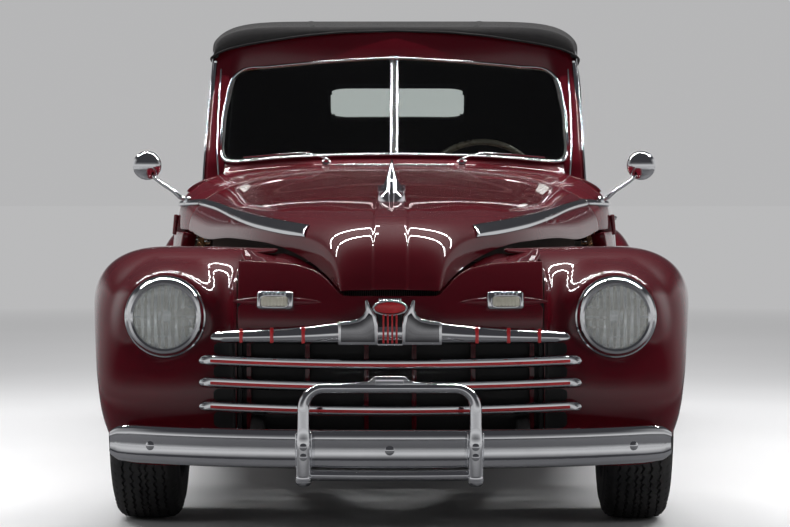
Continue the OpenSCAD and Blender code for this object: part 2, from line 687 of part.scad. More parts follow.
module front_bumper() {
    y_mid = -overall_length / 2 + guard_d + 12;
    color("silver") {
        sweep(blade_path(y_mid, y_mid + 224.5, 797, bumper_z), 12, blade_h / 2 / cos(22.5), sides = 8, turn = 22.5);
        guard_hoop(-overall_length / 2 + guard_d / 2, -1);
        translate([0, y_mid - 14, 212]) rotate([0, 90, 0]) cylinder(d = 26, h = 2 * guard_x, center = true);
        both_sides() translate([rail_x - 60, y_mid + 20, bumper_z + 24]) cube([40, front_y - 515 - y_mid - 20, 56]);
    }
}

module rear_bumper() {
    y_mid = overall_length / 2 - guard_d - 12;
    color("silver") {
        sweep(blade_path(y_mid, y_mid - 269.5, 790, bumper_z + 40), 12, blade_h / 2 / cos(22.5), sides = 8, turn = 22.5);
        both_sides() {
            translate([guard_x + 60, overall_length / 2 - guard_d / 2, bumper_z - 40]) cylinder(d = guard_d, h = 140);
            translate([guard_x + 60, overall_length / 2 - guard_d / 2, bumper_z + 100]) cylinder(d = guard_d - 2, h = 60);
            translate([guard_x + 60, overall_length / 2 - guard_d / 2, bumper_z + 160]) sphere(d = guard_d - 2);
            translate([guard_x + 36, y_mid, bumper_z + 10]) cube([48, guard_d, 60]);
            translate([rail_x + 40, rear_y + 900, bumper_z - 20]) cube([40, y_mid - rear_y - 930, 40]);
            translate([rail_x + 40, rear_y + 860, bumper_z - 20]) cube([40, 60, rail_low + rear_kick - bumper_z + 20]);
        }
    }
}

// Corners of the windshield: middle foot, middle top, outer foot, outer top, on the left
ws_mid_low = [0, -700, 1092];
ws_mid_top = [0, -478, 1448];
ws_out_low = [600, -612, 1104];
ws_out_top = [572, -420, 1400];

module windshield_frame() {
    left = [ws_mid_low, [300, -672, 1092], [560, -622, 1094], [602, -606, 1112], [596, -520, 1260], [578, -440, 1382],
            [548, -424, 1412], [300, -452, 1440], ws_mid_top];
    color("silver") {
        both_sides() sweep(left, 13, 13, up = [0, -0.83, 0.55], sides = 6);
        sweep([ws_mid_low + [0, 4, -10], ws_mid_top + [0, 4, 6]], 13, 13, up = [0, -1, 0], sides = 6);
        both_sides() sweep([[641, -612, 1030], [622, -560, 1160], [606, -438, 1428]], 20, 20, up = [0, 1, 0], sides = 6);
    }
}

module fixed_glass() {
    pane = [for (i = [0 : 1]) [for (j = [0 : 1])
        let (low = ws_mid_low + j * (ws_out_low - ws_mid_low), top = ws_mid_top + j * (ws_out_top - ws_mid_top))
        low + (i == 0 ? 0.045 : 0.955) * (top - low) + (j == 0 ? [14, 0, 0] : [-18, 0, 0])]];
    tilt = atan2(75, 126);
    color("lightblue", 0.5) {
        both_sides() skin(pane, glass_t);
        translate([0, 1161, 1318]) rotate([-tilt, 0, 0]) cube([rear_win_w - 6, glass_t, rear_win_h - 6], center = true);
    }
}

// Grid of the canvas over one station: full to the belt, or down to the rail over the glass
function top_line(key, low, n) =
    let (r = row_at(top_rows, key), a = low > r[5] ? arch_angle(r, low) : 90)
    [for (j = [0 : n]) arch(r, a - 2 * a * j / n)];

module soft_top() {
    front_keys = [-462, -330, -100, 150, 400, 614];
    rear_keys = [612, 730, 850, 930, 1000, 1060, 1120, 1180, 1240, 1300];
    color([0.12, 0.12, 0.13]) difference() {
        union() {
            skin([for (k = front_keys) top_line(k, rail_z, 16)], canvas_t);
            skin([for (k = rear_keys) top_line(k, 0, 18)], canvas_t);
        }
        translate([-rear_win_w / 2, 1000, 1318 - rear_win_h / 2]) cube([rear_win_w, 400, rear_win_h]);
    }
}

module dashboard() {
    color("saddlebrown") {
        translate([-590, -580, 880]) cube([1180, 60, 150]);
        translate([-590, -590, 1010]) cube([1180, 90, 24]);
    }
}

steer_hub = [steer_x, -250, 968];

module steering_column() {
    foot = [steer_x, -800, column_foot_z + 14];
    color("dimgray") rod(foot, foot + 0.955 * (steer_hub - foot), 44);
}

module steering_wheel() {
    foot = [steer_x, -800, column_foot_z + 14];
    dir = unit(steer_hub - foot);
    lean = acos(dir[2]);
    color("ivory") translate(steer_hub) rotate([-lean, 0, 0]) {
        rotate_extrude() translate([wheel_d / 2 - 11, 0]) circle(d = 22, $fn = 24);
        translate([0, 0, -16]) cylinder(d = 86, h = 26);
        for (a = [90, 210, 330]) rotate([0, 0, a]) translate([0, -9, -9]) cube([wheel_d / 2 - 14, 18, 8]);
    }
}

module front_seat() {
    color("saddlebrown") {
        difference() {
            translate([-seat_w / 2, -120, floor_z + floor_t + 2]) cube([seat_w, 560, 260]);
            translate([-132, -121, floor_z]) cube([264, 562, 116]);
        }
        translate([-seat_w / 2, 330, floor_z + 270]) rotate([-12, 0, 0]) cube([seat_w, 150, 420]);
    }
}

module rear_seat() {
    color("saddlebrown") {
        translate([-560, riser_y + 24, upper_floor_z + floor_t + 1]) cube([1120, 330, 150]);
        translate([-552, 1050, upper_floor_z + floor_t + 140]) rotate([-8, 0, 0]) cube([1104, 100, 330]);
    }
}

// Headlamp's place: its axis leaves forward
module lamp_place() {
    translate([lamp_x, lamp_y, lamp_z]) rotate([90, 0, 4]) children();
}

module front_lamps() {
    color("silver") both_sides() {
        lamp_place() rotate_extrude() polygon([
            [0, -70], [lamp_d / 2 - 40, -60], [lamp_d / 2 - 22, -10], [lamp_d / 2 - 22, 0], [lamp_d / 2, 0],
            [lamp_d / 2, 10], [lamp_d / 2 - 10, 22], [lamp_d / 2 - 22, 22], [lamp_d / 2 - 26, 14], [0, 30]
        ]);
        translate([272, nose_y(272, 684) - 38, 684 - 24]) rotate([0, 0, 10.5]) cube([108, 26, 48]);
    }
}

module tail_lamps() {
    color("red") both_sides() difference() {
        translate([500, 1900, 744]) rotate([0, 0, -16]) cube([130, 92, 44]);
        body_core(1.5);
    }
}

module mirrors() {
    color("silver") both_sides() {
        translate([822, -716, 1066]) rotate([90, 0, 0]) cylinder(d = 94, h = 14);
        sweep([[688, -730, 950], [730, -735, 980], [796, -722, 1030], [812, -716, 1060]], 6, 6, up = [0, 1, 0], sides = 6);
    }
}

// ---------------------------------------------------------------- moving panels

module hood() {
    keys = [-850, -1010, -1170, -1330, -1490, -1620, -1740, -1850, -1940, -2020, -2080, -2130, -2170, -2200, -2225];
    color("maroon") skin([for (k = [len(keys) - 1 : -1 : 0]) let (r = row_at(hood_rows, keys[k]))
        [for (j = [0 : 14]) arch(r, 88 - 176 * j / 14)]], sheet);
}

module trunk_lid() {
    keys = [lid_front, 1500, 1640, 1780, 1900, 2010, 2110, 2200, 2270, 2318];
    color("maroon") skin([for (k = keys) let (r = row_at(hull_rows, k), a = arch_angle_x(r, lid_half))
        [for (j = [0 : 10]) arch(r, a - 2 * a * j / 10)]], 20);
}

module door() {
    color("maroon") skin(side_grid(door_front, door_rear, sill_z + 4, belt_z, 6, 8), door_t);
}

// Plane of the door glass: x at a height
function glass_x(z) = 690 - 0.112 * (z - belt_z);

module door_glass() {
    front_low = door_front + 24;
    front_top = door_front + 190;
    rear = door_rear - 14;
    low = belt_z + 5;
    color("silver") {
        sweep([[glass_x(low), front_low, low], [glass_x(1200), front_low + 92, 1200], [glass_x(glass_top), front_top, glass_top]],
              8, 9, up = [1, 0, 0], sides = 6);
        sweep([[glass_x(low), front_low + 300, low], [glass_x(glass_top), front_low + 300, glass_top]], 8, 9, up = [1, 0, 0], sides = 6);
    }
    color("lightblue", 0.5) skin([
        [[glass_x(glass_top), front_top, glass_top], [glass_x(low), front_low, low]],
        [[glass_x(glass_top), rear, glass_top], [glass_x(low), rear, low]]
    ], glass_t);
}

// ---------------------------------------------------------------- placing

module front_wheel_place() translate([wheel_x, front_y, axle_z]) children();
module rear_wheel_place() translate([wheel_x, rear_y, axle_z]) children();

chassis_frame();
engine_block();
radiator();
front_axle();
rear_axle();
exhaust();
fuel_tank();
floor_pan();
cowl();
rear_body();
front_fender();  // front_fender_left
mirror([1, 0, 0]) front_fender();  // front_fender_right
rear_fender();  // rear_fender_left
mirror([1, 0, 0]) rear_fender();  // rear_fender_right
nose_panel();
grille();
front_bumper();
rear_bumper();
windshield_frame();
fixed_glass();
soft_top();
dashboard();
steering_column();
front_seat();
rear_seat();
front_lamps();
tail_lamps();
mirrors();
hood();
trunk_lid();
door();  // door_left
mirror([1, 0, 0]) door();  // door_right
door_glass();  // door_glass_left
mirror([1, 0, 0]) door_glass();  // door_glass_right
steering_wheel();
knuckle();  // knuckle_left
mirror([1, 0, 0]) knuckle();  // knuckle_right
tie_rod();
front_wheel_place() wheel_shape(hub_bore);  // wheel_front_left
mirror([1, 0, 0]) front_wheel_place() wheel_shape(hub_bore);  // wheel_front_right
rear_wheel_place() wheel_shape(44);  // wheel_rear_left
mirror([1, 0, 0]) rear_wheel_place() wheel_shape(44);  // wheel_rear_right
front_wheel_place() tyre_shape();  // tyre_front_left
mirror([1, 0, 0]) front_wheel_place() tyre_shape();  // tyre_front_right
rear_wheel_place() tyre_shape();  // tyre_rear_left
mirror([1, 0, 0]) rear_wheel_place() tyre_shape();  // tyre_rear_right
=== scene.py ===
"""Looks of the two-door club convertible: painted panels, bright trim, glass, canvas top, cabin and running gear.

Lengths in the tables are in millimetres, as in the part's source; meshes are in metres. The car faces -Y.
"""

from __future__ import annotations

import json
import logging
import math
from collections.abc import Callable, Sequence
from dataclasses import dataclass
from enum import Enum

import bmesh
import bpy
import numpy as np
from mathutils import Matrix, Vector
from mathutils.bvhtree import BVHTree

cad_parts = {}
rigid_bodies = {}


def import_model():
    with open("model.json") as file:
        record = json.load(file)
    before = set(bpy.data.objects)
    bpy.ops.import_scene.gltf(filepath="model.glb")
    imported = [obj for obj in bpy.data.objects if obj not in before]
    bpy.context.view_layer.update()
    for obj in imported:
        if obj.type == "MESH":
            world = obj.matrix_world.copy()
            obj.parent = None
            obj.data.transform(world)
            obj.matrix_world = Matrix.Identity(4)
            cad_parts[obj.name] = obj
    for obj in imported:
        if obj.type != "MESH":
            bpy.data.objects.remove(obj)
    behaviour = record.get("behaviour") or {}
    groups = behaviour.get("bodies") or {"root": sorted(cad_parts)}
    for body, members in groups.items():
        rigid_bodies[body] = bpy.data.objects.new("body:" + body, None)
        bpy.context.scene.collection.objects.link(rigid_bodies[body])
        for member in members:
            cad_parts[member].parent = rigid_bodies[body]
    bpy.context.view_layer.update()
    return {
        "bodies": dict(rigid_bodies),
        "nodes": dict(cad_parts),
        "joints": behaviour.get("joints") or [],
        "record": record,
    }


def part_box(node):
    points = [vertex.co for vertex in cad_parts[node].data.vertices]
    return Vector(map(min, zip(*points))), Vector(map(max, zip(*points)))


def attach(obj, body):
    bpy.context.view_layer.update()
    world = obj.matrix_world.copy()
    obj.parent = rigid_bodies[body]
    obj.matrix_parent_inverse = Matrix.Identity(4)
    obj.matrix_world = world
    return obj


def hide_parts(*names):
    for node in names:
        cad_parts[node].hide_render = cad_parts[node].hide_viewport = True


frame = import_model()

LOG = logging.getLogger("convertible")
MM = 0.001
ROOT = "root"
Grid = np.ndarray
Point = Sequence[float]

# Sizes that the panels share with the part's source, in millimetres
FRONT_Y = -1651.5
REAR_Y = 1244.5
AXLE_Z = 356.0
WHEEL_X = 730.5
SILL_Z = 262.0
BELT_Z = 962.0
GLASS_TOP = 1420.0
NOSE_FRONT = -2268.0
DOOR_FRONT = -640.0
DOOR_REAR = 610.0
HOOD_REAR = -850.0
LID_FRONT = 1372.0
LID_HALF = 470.0
PANEL_GAP = 6.0
ARCH_RADIUS = 409.0
ARCH_HALF = 330.0
CANVAS_Z = BELT_Z + 10.0
RAIL_Z = 1434.0
LAMP = (646.0, -2166.0, 636.0)
LAMP_R = 116.0

# Stations of the body: key, y and z of the middle, then half width, y and z of the lower edge, roundness
HULL_ROWS = np.array(
    [[k, k, zc, xb, k, SILL_Z, n] for k, zc, xb, n in (
        (-900, 1080, 706, 5), (-640, 1100, 748, 6), (0, 1110, 784, 6.5), (610, 1105, 786, 6.5), (1240, 1036, 768, 7))]
    + [
        [1500, 1490, 1008, 745, 1470, SILL_Z, 4.2],
        [1760, 1745, 962, 722, 1680, SILL_Z + 8, 3.4],
        [2000, 1985, 872, 695, 1860, SILL_Z + 36, 3.0],
        [2200, 2165, 725, 650, 2010, SILL_Z + 66, 2.8],
        [2350, 2280, 560, 590, 2120, SILL_Z + 84, 2.7],
        [2450, 2325, 430, 540, 2180, SILL_Z + 90, 2.6],
        [2500, 2335, 366, 510, 2205, SILL_Z + 92, 2.5],
    ], float)
HOOD_ROWS = np.array([
    [-850, -850, 1062, 674, -850, 846, 2.45],
    [-1150, -1150, 1030, 596, -1150, 826, 2.45],
    [-1450, -1450, 1000, 508, -1450, 838, 2.5],
    [-1700, -1700, 972, 425, -1700, 838, 2.6],
    [-1850, -1850, 952, 357, -1850, 832, 2.6],
    [-1980, -1985, 930, 290, -1960, 812, 2.6],
    [-2080, -2098, 898, 225, -2065, 780, 2.8],
    [-2150, -2185, 838, 178, -2150, 745, 3.4],
    [-2200, -2232, 770, 154, -2205, 722, 4],
    [-2225, -2250, 716, 142, -2235, 712, 4],
], float)
COWL_ROWS = np.array([
    [-844, -844, 1062, 674, -844, 846, 2.45],
    [-785, -785, 1067, 694, -785, 846, 2.7],
    [-720, -720, 1071, 711, -720, 846, 3.0],
    [-655, -655, 1073, 722, -655, 846, 3.4],
], float)
SCUTTLE_ROWS = np.array([
    [-657, -657, 1073, 697, -657, BELT_Z + PANEL_GAP, 2.2],
    [-600, -600, 1075, 664, -600, BELT_Z + PANEL_GAP, 3],
], float)
TOP_ROWS = np.array([
    [-462, -462, 1538, 655, -462, CANVAS_Z, 8],
    [-200, -200, 1566, 668, -200, CANVAS_Z, 8],
    [250, 250, 1585, 688, 250, CANVAS_Z, 7.5],
    [610, 610, 1579, 704, 610, CANVAS_Z, 7],
    [850, 870, 1548, 714, 830, CANVAS_Z, 6],
    [1000, 1035, 1478, 712, 1000, CANVAS_Z, 5],
    [1100, 1128, 1382, 696, 1130, CANVAS_Z + 4, 4.2],
    [1180, 1205, 1262, 662, 1220, CANVAS_Z + 18, 3.6],
    [1250, 1272, 1146, 600, 1284, CANVAS_Z + 38, 3.2],
    [1300, 1325, 1052, 520, 1318, CANVAS_Z + 54, 3],
], float)
# Fenders round their wheels: angle, crown radius and x, outer x, inner x and radius, lip radius
FRONT_FENDER_ROWS = np.array([
    [-106, 536, 632, 788, 446, 540, 452],
    [-92, 536, 640, 832, 446, 552, 438],
    [-76, 545, 646, 853, 446, 578, 416],
    [-60, 554, 650, 865, 446, 630, 386],
    [-46, 572, 655, 875, 440, 600, 358],
    [-34, 550, 660, 883, 340, 562, 338],
    [-14, 486, 668, 892, 402, 464, 311],
    [6, 464, 672, 897, 458, 452, 304],
    [28, 506, 682, 893, 525, 514, 332],
    [46, 620, 698, 884, 590, 646, 360],
    [60, 752, 712, 868, 650, 776, 394],
    [72, 940, 726, 850, 700, 950, 424],
    [84, 1001, 736, 836, 724, 1001, 436],
    [94, 998, 740, 822, 728, 998, 442],
], float)
REAR_FENDER_ROWS = np.array([
    [-100, 560, 800, 868, 740, 560, 430],
    [-82, 560, 800, 892, 735, 560, 420],
    [-60, 545, 795, 918, 728, 560, 380],
    [-35, 505, 790, 931, 722, 540, 325],
    [-10, 478, 785, 931, 715, 520, 286],
    [15, 480, 780, 931, 700, 520, 284],
    [40, 545, 770, 924, 676, 590, 330],
    [62, 680, 752, 900, 645, 730, 384],
    [80, 800, 725, 862, 615, 845, 422],
    [96, 850, 700, 820, 600, 880, 440],
], float)
# Bright windshield line on the left: along the foot from the middle, up the side, and back along the head
FOOT_LINE = np.array([(0, -703, 1102), (120, -696, 1100.5), (229, -687, 1098), (386, -662, 1090), (500, -640, 1080),
                      (545, -628, 1078), (566, -620, 1082), (579, -613, 1093), (583.5, -602, 1108)], float)
HEAD_LINE = np.array([(582.5, -566, 1176), (577.5, -523, 1250), (570, -503, 1285), (560, -477, 1336),
                      (548, -457, 1366), (522, -442, 1388), (420, -448, 1401.5), (320, -457, 1411),
                      (183, -468, 1421), (0, -480, 1431)], float)


# ---------------------------------------------------------------- forms


def row_at(rows: np.ndarray, key: float) -> np.ndarray:
    """Row of a table at a key, by smooth curves through its rows.

    Args:
        rows: The table, its first column the key.
        key: Where to read it.

    Returns:
        The row there.
    """
    sign = 1 if rows[-1, 0] > rows[0, 0] else -1
    last = len(rows) - 1
    i = int(np.clip(np.searchsorted(sign * rows[:, 0], sign * key, side="right") - 1, 0, last - 1))
    a, b, before, after = rows[i], rows[i + 1], rows[max(i - 1, 0)], rows[min(i + 2, last)]
    h = b[0] - a[0]
    f = (key - a[0]) / h
    slope_a = (b - before) / (b[0] - before[0])
    slope_b = (after - a) / (after[0] - a[0])
    return ((2 * f**3 - 3 * f**2 + 1) * a + (f**3 - 2 * f**2 + f) * h * slope_a
            + (3 * f**2 - 2 * f**3) * b + (f**3 - f**2) * h * slope_b)


def arch(row: np.ndarray, phi: np.ndarray) -> np.ndarray:
    """Points of an arch over a station.

    Args:
        row: The station's row.
        phi: Angles in degrees, 0 in the middle and 90 at the lower edge.

    Returns:
        One point for each angle.
    """
    t = np.radians(np.asarray(phi, float))
    s, c = np.sin(np.abs(t)), np.maximum(np.cos(t), 0)
    k = 1 / (s ** row[6] + c ** row[6]) ** (1 / row[6])
    return np.stack([np.sign(t) * row[3] * s * k, row[4] + (row[1] - row[4]) * c * k,
                     row[5] + (row[2] - row[5]) * c * k], -1)


def angle_at_z(row: np.ndarray, z: float) -> float:
    """Angle of the arch's point at a height."""
    c = (z - row[5]) / (row[2] - row[5])
    return math.degrees(math.atan2(max(1 - c ** row[6], 0) ** (1 / row[6]), c))


def angle_at_x(row: np.ndarray, x: float) -> float:
    """Angle of the arch's point at a distance from the middle."""
    s = abs(x / row[3])
    return math.copysign(math.degrees(math.atan2(s, max(1 - s ** row[6], 0) ** (1 / row[6]))), x)


def fender_points(row: np.ndarray, v: np.ndarray, wheel_y: float) -> np.ndarray:
    """Points of a fender's section.

    Args:
        row: The section's row.
        v: -1 at the inner edge, 0 on the crown and 1 at the wheel opening's lip.
        wheel_y: Where the wheel's axis is.

    Returns:
        One point for each v, on the left side.
    """
    v = np.asarray(v, float)
    n = np.where(v < 0, 2.4, 2.3)
    t = np.radians(90 * v)
    s, c = np.sin(np.abs(t)), np.maximum(np.cos(t), 0)
    k = 1 / (s**n + c**n) ** (1 / n)
    edge_x, edge_r = np.where(v < 0, row[4], row[3]), np.where(v < 0, row[5], row[6])
    x = row[2] + (edge_x - row[2]) * s * k
    rho = edge_r + (row[1] - edge_r) * c * k
    a = math.radians(row[0])
    return np.stack([x, wheel_y + rho * math.sin(a), AXLE_Z + rho * math.cos(a)], -1)


def nose_y(x: np.ndarray | float, z: np.ndarray | float) -> np.ndarray | float:
    """How far forward the nose panel stands at a place across and a height."""
    return (NOSE_FRONT + 0.0003 * np.square(x) + 0.0018 * np.square(np.maximum(np.asarray(z) - 610, 0))
            + 0.001 * np.square(np.maximum(430 - np.asarray(z), 0)))


def nose_top(x: np.ndarray) -> np.ndarray:
    """Top edge of the nose panel, under the hood's lower edge."""
    return 700 + 100 * (1 - 1 / (1 + (np.maximum(np.abs(x) - 130, 0) / 55) ** 2))


def apron_lines() -> tuple[np.ndarray, np.ndarray]:
    """Edges of the panel beside the hood: the line under the hood's edge, and the line along nose and fender."""
    inner = [(130, -2224, 702), (141, -2196, 712), (165, -2143, 735), (212, -2060, 770), (277, -1958, 802),
             (318, -1902, 811)]
    outer = [(x, float(nose_y(x, z)) + 3, z) for x, z in ((x, float(nose_top(x)) - 1) for x in (150, 220, 320, 430))]
    return np.array(inner, float), np.array([*outer, (433, -2062, 816), (431, -1958, 831)], float)


def smooth(low: float, high: float, value: np.ndarray | float) -> np.ndarray:
    """Smooth step from 0 at low to 1 at high."""
    t = np.clip((np.asarray(value, float) - low) / (high - low), 0, 1)
    return t * t * (3 - 2 * t)


def middles(grid: Grid) -> Grid:
    """Middle of each cell of a grid of points."""
    return (grid[:-1, :-1] + grid[1:, :-1] + grid[:-1, 1:] + grid[1:, 1:]) / 4


def carried(points: np.ndarray, place: Matrix) -> np.ndarray:
    """Points carried to a place, one to a row."""
    m = np.array(place)
    return points.reshape(-1, 3) @ m[:3, :3].T + m[:3, 3]


def box_of(node: str) -> tuple[np.ndarray, np.ndarray]:
    """Corners of a node's box in millimetres."""
    low, high = (np.array(corner) * 1000 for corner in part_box(node))
    return low, high


def normals_of(grid: Grid) -> np.ndarray:
    """Unit normals of a grid of points, along the cross product of its two directions."""
    n = np.cross(np.gradient(grid, axis=0), np.gradient(grid, axis=1))
    return n / np.maximum(np.linalg.norm(n, axis=-1, keepdims=True), 1e-9)


def spline(points: Sequence[Point], count: int) -> np.ndarray:
    """Smooth path through points, evenly spaced.

    Args:
        points: The points it passes.
        count: How many points the path has.

    Returns:
        The path.
    """
    p = np.array(points, float)
    at = np.concatenate([[0], np.cumsum(np.linalg.norm(np.diff(p, axis=0), axis=1))])
    slope = np.gradient(p, at, axis=0)
    fine = np.linspace(0, at[-1], count * 4)
    i = np.clip(np.searchsorted(at, fine, side="right") - 1, 0, len(p) - 2)
    h = (at[i + 1] - at[i])[:, None]
    f = ((fine - at[i])[:, None]) / h
    q = ((2 * f**3 - 3 * f**2 + 1) * p[i] + (f**3 - 2 * f**2 + f) * h * slope[i]
         + (3 * f**2 - 2 * f**3) * p[i + 1] + (f**3 - f**2) * h * slope[i + 1])
    along = np.concatenate([[0], np.cumsum(np.linalg.norm(np.diff(q, axis=0), axis=1))])
    even = np.linspace(0, along[-1], count)
    return np.stack([np.interp(even, along, q[:, k]) for k in range(3)], 1)


def straight(points: Sequence[Point], step: float) -> np.ndarray:
    """Straight pieces between points, with points about step apart."""
    p = np.array(points, float)
    out = [p[:1]]
    for a, b in zip(p[:-1], p[1:]):
        n = max(1, int(np.linalg.norm(b - a) / step))
        out.append(a + (b - a) * (np.arange(1, n + 1) / n)[:, None])
    return np.concatenate(out)


# ---------------------------------------------------------------- meshes


def new_mesh(name: str, verts: np.ndarray, faces: Sequence[Sequence[int]],
             uv: np.ndarray | None = None) -> bpy.types.Object:
    """Mesh object from points in millimetres.

    Args:
        name: The piece's name.
        verts: The points.
        faces: Indices of each face's points.
        uv: A UV place for each point, or None.

    Returns:
        The object, linked to the scene.
    """
    mesh = bpy.data.meshes.new(name)
    mesh.from_pydata((np.asarray(verts, float) * MM).tolist(), [], [list(f) for f in faces])
    if uv is not None:
        layer = mesh.uv_layers.new(name="UVMap")
        at = np.zeros(len(mesh.loops), int)
        mesh.loops.foreach_get("vertex_index", at)
        layer.data.foreach_set("uv", np.asarray(uv, np.float32)[at].ravel())
    mesh.update()
    obj = bpy.data.objects.new(name, mesh)
    bpy.context.scene.collection.objects.link(obj)
    mesh.shade_smooth()
    return obj


def end_faces(n: int, m: int) -> list[tuple[int, ...]]:
    """Faces that close the first and the last of n rings of m points."""
    return [tuple(range(m)), tuple((n - 1) * m + k for k in reversed(range(m)))]


def grid_faces(nu: int, nv: int, wrap: bool = False, base: int = 0) -> list[tuple[int, int, int, int]]:
    """Faces of a grid of points, outward along its cross product; wrap closes its second direction."""
    return [(base + i * nv + j, base + (i + 1) * nv + j, base + (i + 1) * nv + (j + 1) % nv,
             base + i * nv + (j + 1) % nv)
            for i in range(nu - 1) for j in range(nv if wrap else nv - 1)]


def arc_uv(grid: Grid) -> np.ndarray:
    """UV places in metres, by the length along both directions of a grid."""
    du = np.linalg.norm(np.diff(grid, axis=0), axis=-1).mean(1)
    dv = np.linalg.norm(np.diff(grid, axis=1), axis=-1)
    u = np.concatenate([[0], np.cumsum(du)])
    v = np.concatenate([np.zeros((grid.shape[0], 1)), np.cumsum(dv, axis=1)], axis=1)
    v = v - v[:, -1:] / 2
    return np.stack([np.repeat(u[:, None], grid.shape[1], 1), v], -1).reshape(-1, 2) * MM


def sheet_mesh(name: str, grid: Grid, keep: np.ndarray | None = None) -> bpy.types.Object:
    """Open sheet through a grid of points; keep says which cells stay."""
    nu, nv = grid.shape[:2]
    faces = grid_faces(nu, nv)
    if keep is not None:
        faces = [f for f, k in zip(faces, keep.ravel()) if k]
    obj = new_mesh(name, grid.reshape(-1, 3), faces, arc_uv(grid))
    if keep is not None:
        drop_loose(obj)
    return obj


def drop_loose(obj: bpy.types.Object) -> None:
    """Deletes points that no face uses."""
    bm = bmesh.new()
    bm.from_mesh(obj.data)
    bmesh.ops.delete(bm, geom=[v for v in bm.verts if not v.link_faces], context="VERTS")
    bm.to_mesh(obj.data)
    bm.free()


def thicken(obj: bpy.types.Object, thickness: float, edge: float = 0.0, segments: int = 2) -> bpy.types.Object:
    """Gives a sheet its thickness inwards, and rounds its edges.

    Args:
        obj: The sheet.
        thickness: Its thickness in millimetres.
        edge: Radius of its edges, or 0.
        segments: Segments of the rounding.

    Returns:
        The same object.
    """
    solid = obj.modifiers.new("Thickness", "SOLIDIFY")
    solid.thickness, solid.offset, solid.use_even_offset = thickness * MM, -1, False
    if edge:
        bevel = obj.modifiers.new("Edges", "BEVEL")
        bevel.width, bevel.segments = edge * MM, segments
        bevel.limit_method, bevel.angle_limit = "ANGLE", math.radians(50)
        bevel.harden_normals = False
        bpy.context.view_layer.update()
    return obj


def bake(obj: bpy.types.Object) -> bpy.types.Object:
    """Turns an object with its modifiers into a plain mesh, smooth but for its sharp edges."""
    bpy.context.view_layer.update()
    evaluated = obj.evaluated_get(bpy.context.evaluated_depsgraph_get())
    mesh = bpy.data.meshes.new_from_object(evaluated)
    materials = [s.material for s in obj.material_slots]
    if obj.type == "MESH":
        old = obj.data
        obj.modifiers.clear()
        obj.data = mesh
        bpy.data.meshes.remove(old)
    else:
        fresh = bpy.data.objects.new(obj.name, mesh)
        fresh.matrix_world = obj.matrix_world
        bpy.context.scene.collection.objects.link(fresh)
        name = obj.name
        bpy.data.objects.remove(obj)
        fresh.name = name
        obj = fresh
    if materials and not obj.data.materials:
        for m in materials:
            obj.data.materials.append(m)
    return obj


def crisp(obj: bpy.types.Object, angle: float = 40.0) -> bpy.types.Object:
    """Shades a mesh smooth with sharp edges past an angle in degrees."""
    obj.data.shade_smooth()
    obj.data.set_sharp_from_angle(angle=math.radians(angle))
    return obj


def panel(name: str, grid: Grid, thickness: float = 8.0, edge: float = 2.5,
          keep: np.ndarray | None = None) -> bpy.types.Object:
    """Pressed panel through a grid of points, with a rounded rim."""
    return crisp(bake(thicken(sheet_mesh(name, grid, keep), thickness, edge)), 48)


def tube(name: str, path: np.ndarray, section: np.ndarray, up: Point = (0, 0, 1), closed: bool = False,
         scale: np.ndarray | None = None) -> bpy.types.Object:
    """Bar of any section swept along a path.

    Args:
        name: The piece's name.
        path: Points of its middle.
        section: Section points as (across, up), counter-clockwise seen from the path's end.
        up: The direction that the section's second axis keeps near.
        closed: Whether the path is a ring.
        scale: Size of the section at each point, or None.

    Returns:
        The bar.
    """
    path = np.asarray(path, float)
    if closed:
        along = np.roll(path, -1, axis=0) - np.roll(path, 1, axis=0)
    else:
        along = np.gradient(path, axis=0)
    along /= np.linalg.norm(along, axis=1, keepdims=True)
    side = np.cross(along, np.asarray(up, float))
    side /= np.maximum(np.linalg.norm(side, axis=1, keepdims=True), 1e-9)
    rise = np.cross(side, along)
    size = np.ones(len(path)) if scale is None else np.asarray(scale, float)
    rings = (path[:, None] + size[:, None, None]
             * (section[None, :, :1] * side[:, None] + section[None, :, 1:] * rise[:, None]))
    n, m = len(path), len(section)
    if closed:
        rings = np.concatenate([rings, rings[:1]])
    uv_grid = np.concatenate([rings, rings[:, :1]], axis=1)
    uv = arc_uv(uv_grid).reshape(len(rings), m + 1, 2)[:, :m].reshape(-1, 2)
    faces = [f[::-1] for f in grid_faces(len(rings), m, wrap=True)]
    if closed:
        faces = [tuple(v % (n * m) for v in f) for f in faces]
        rings, uv = rings[:-1], uv[: n * m]
    else:
        faces += end_faces(n, m)
    obj = new_mesh(name, rings.reshape(-1, 3), faces, uv)
    outward(obj)
    return crisp(obj, 40)


def outward(obj: bpy.types.Object) -> bpy.types.Object:
    """Merges doubles and makes all faces of a closed mesh point outwards."""
    bm = bmesh.new()
    bm.from_mesh(obj.data)
    bmesh.ops.remove_doubles(bm, verts=bm.verts, dist=1e-6)
    bmesh.ops.recalc_face_normals(bm, faces=bm.faces)
    if bm.calc_volume(signed=True) < 0:
        bmesh.ops.reverse_faces(bm, faces=bm.faces)
    bm.to_mesh(obj.data)
    bm.free()
    return obj


def loft(name: str, rings: Grid, angle: float = 40.0) -> bpy.types.Object:
    """Closed solid through rings of points, with flat ends."""
    n, m = rings.shape[:2]
    faces = grid_faces(n, m, wrap=True) + end_faces(n, m)
    return crisp(outward(new_mesh(name, rings.reshape(-1, 3), faces)), angle)


def prism(name: str, outline: Sequence[tuple[float, float]], front: float, back: float,
          edge: float = 3.0) -> bpy.types.Object:
    """Plate with rounded edges, from its outline across and up, between two places along the car."""
    ring = [[(x, y, z) for x, z in outline] for y in (front, back)]
    obj = loft(name, np.array(ring, float))
    bevel = obj.modifiers.new("Edges", "BEVEL")
    bevel.width, bevel.segments, bevel.limit_method, bevel.angle_limit = edge * MM, 3, "ANGLE", math.radians(35)
    return crisp(bake(obj), 40)


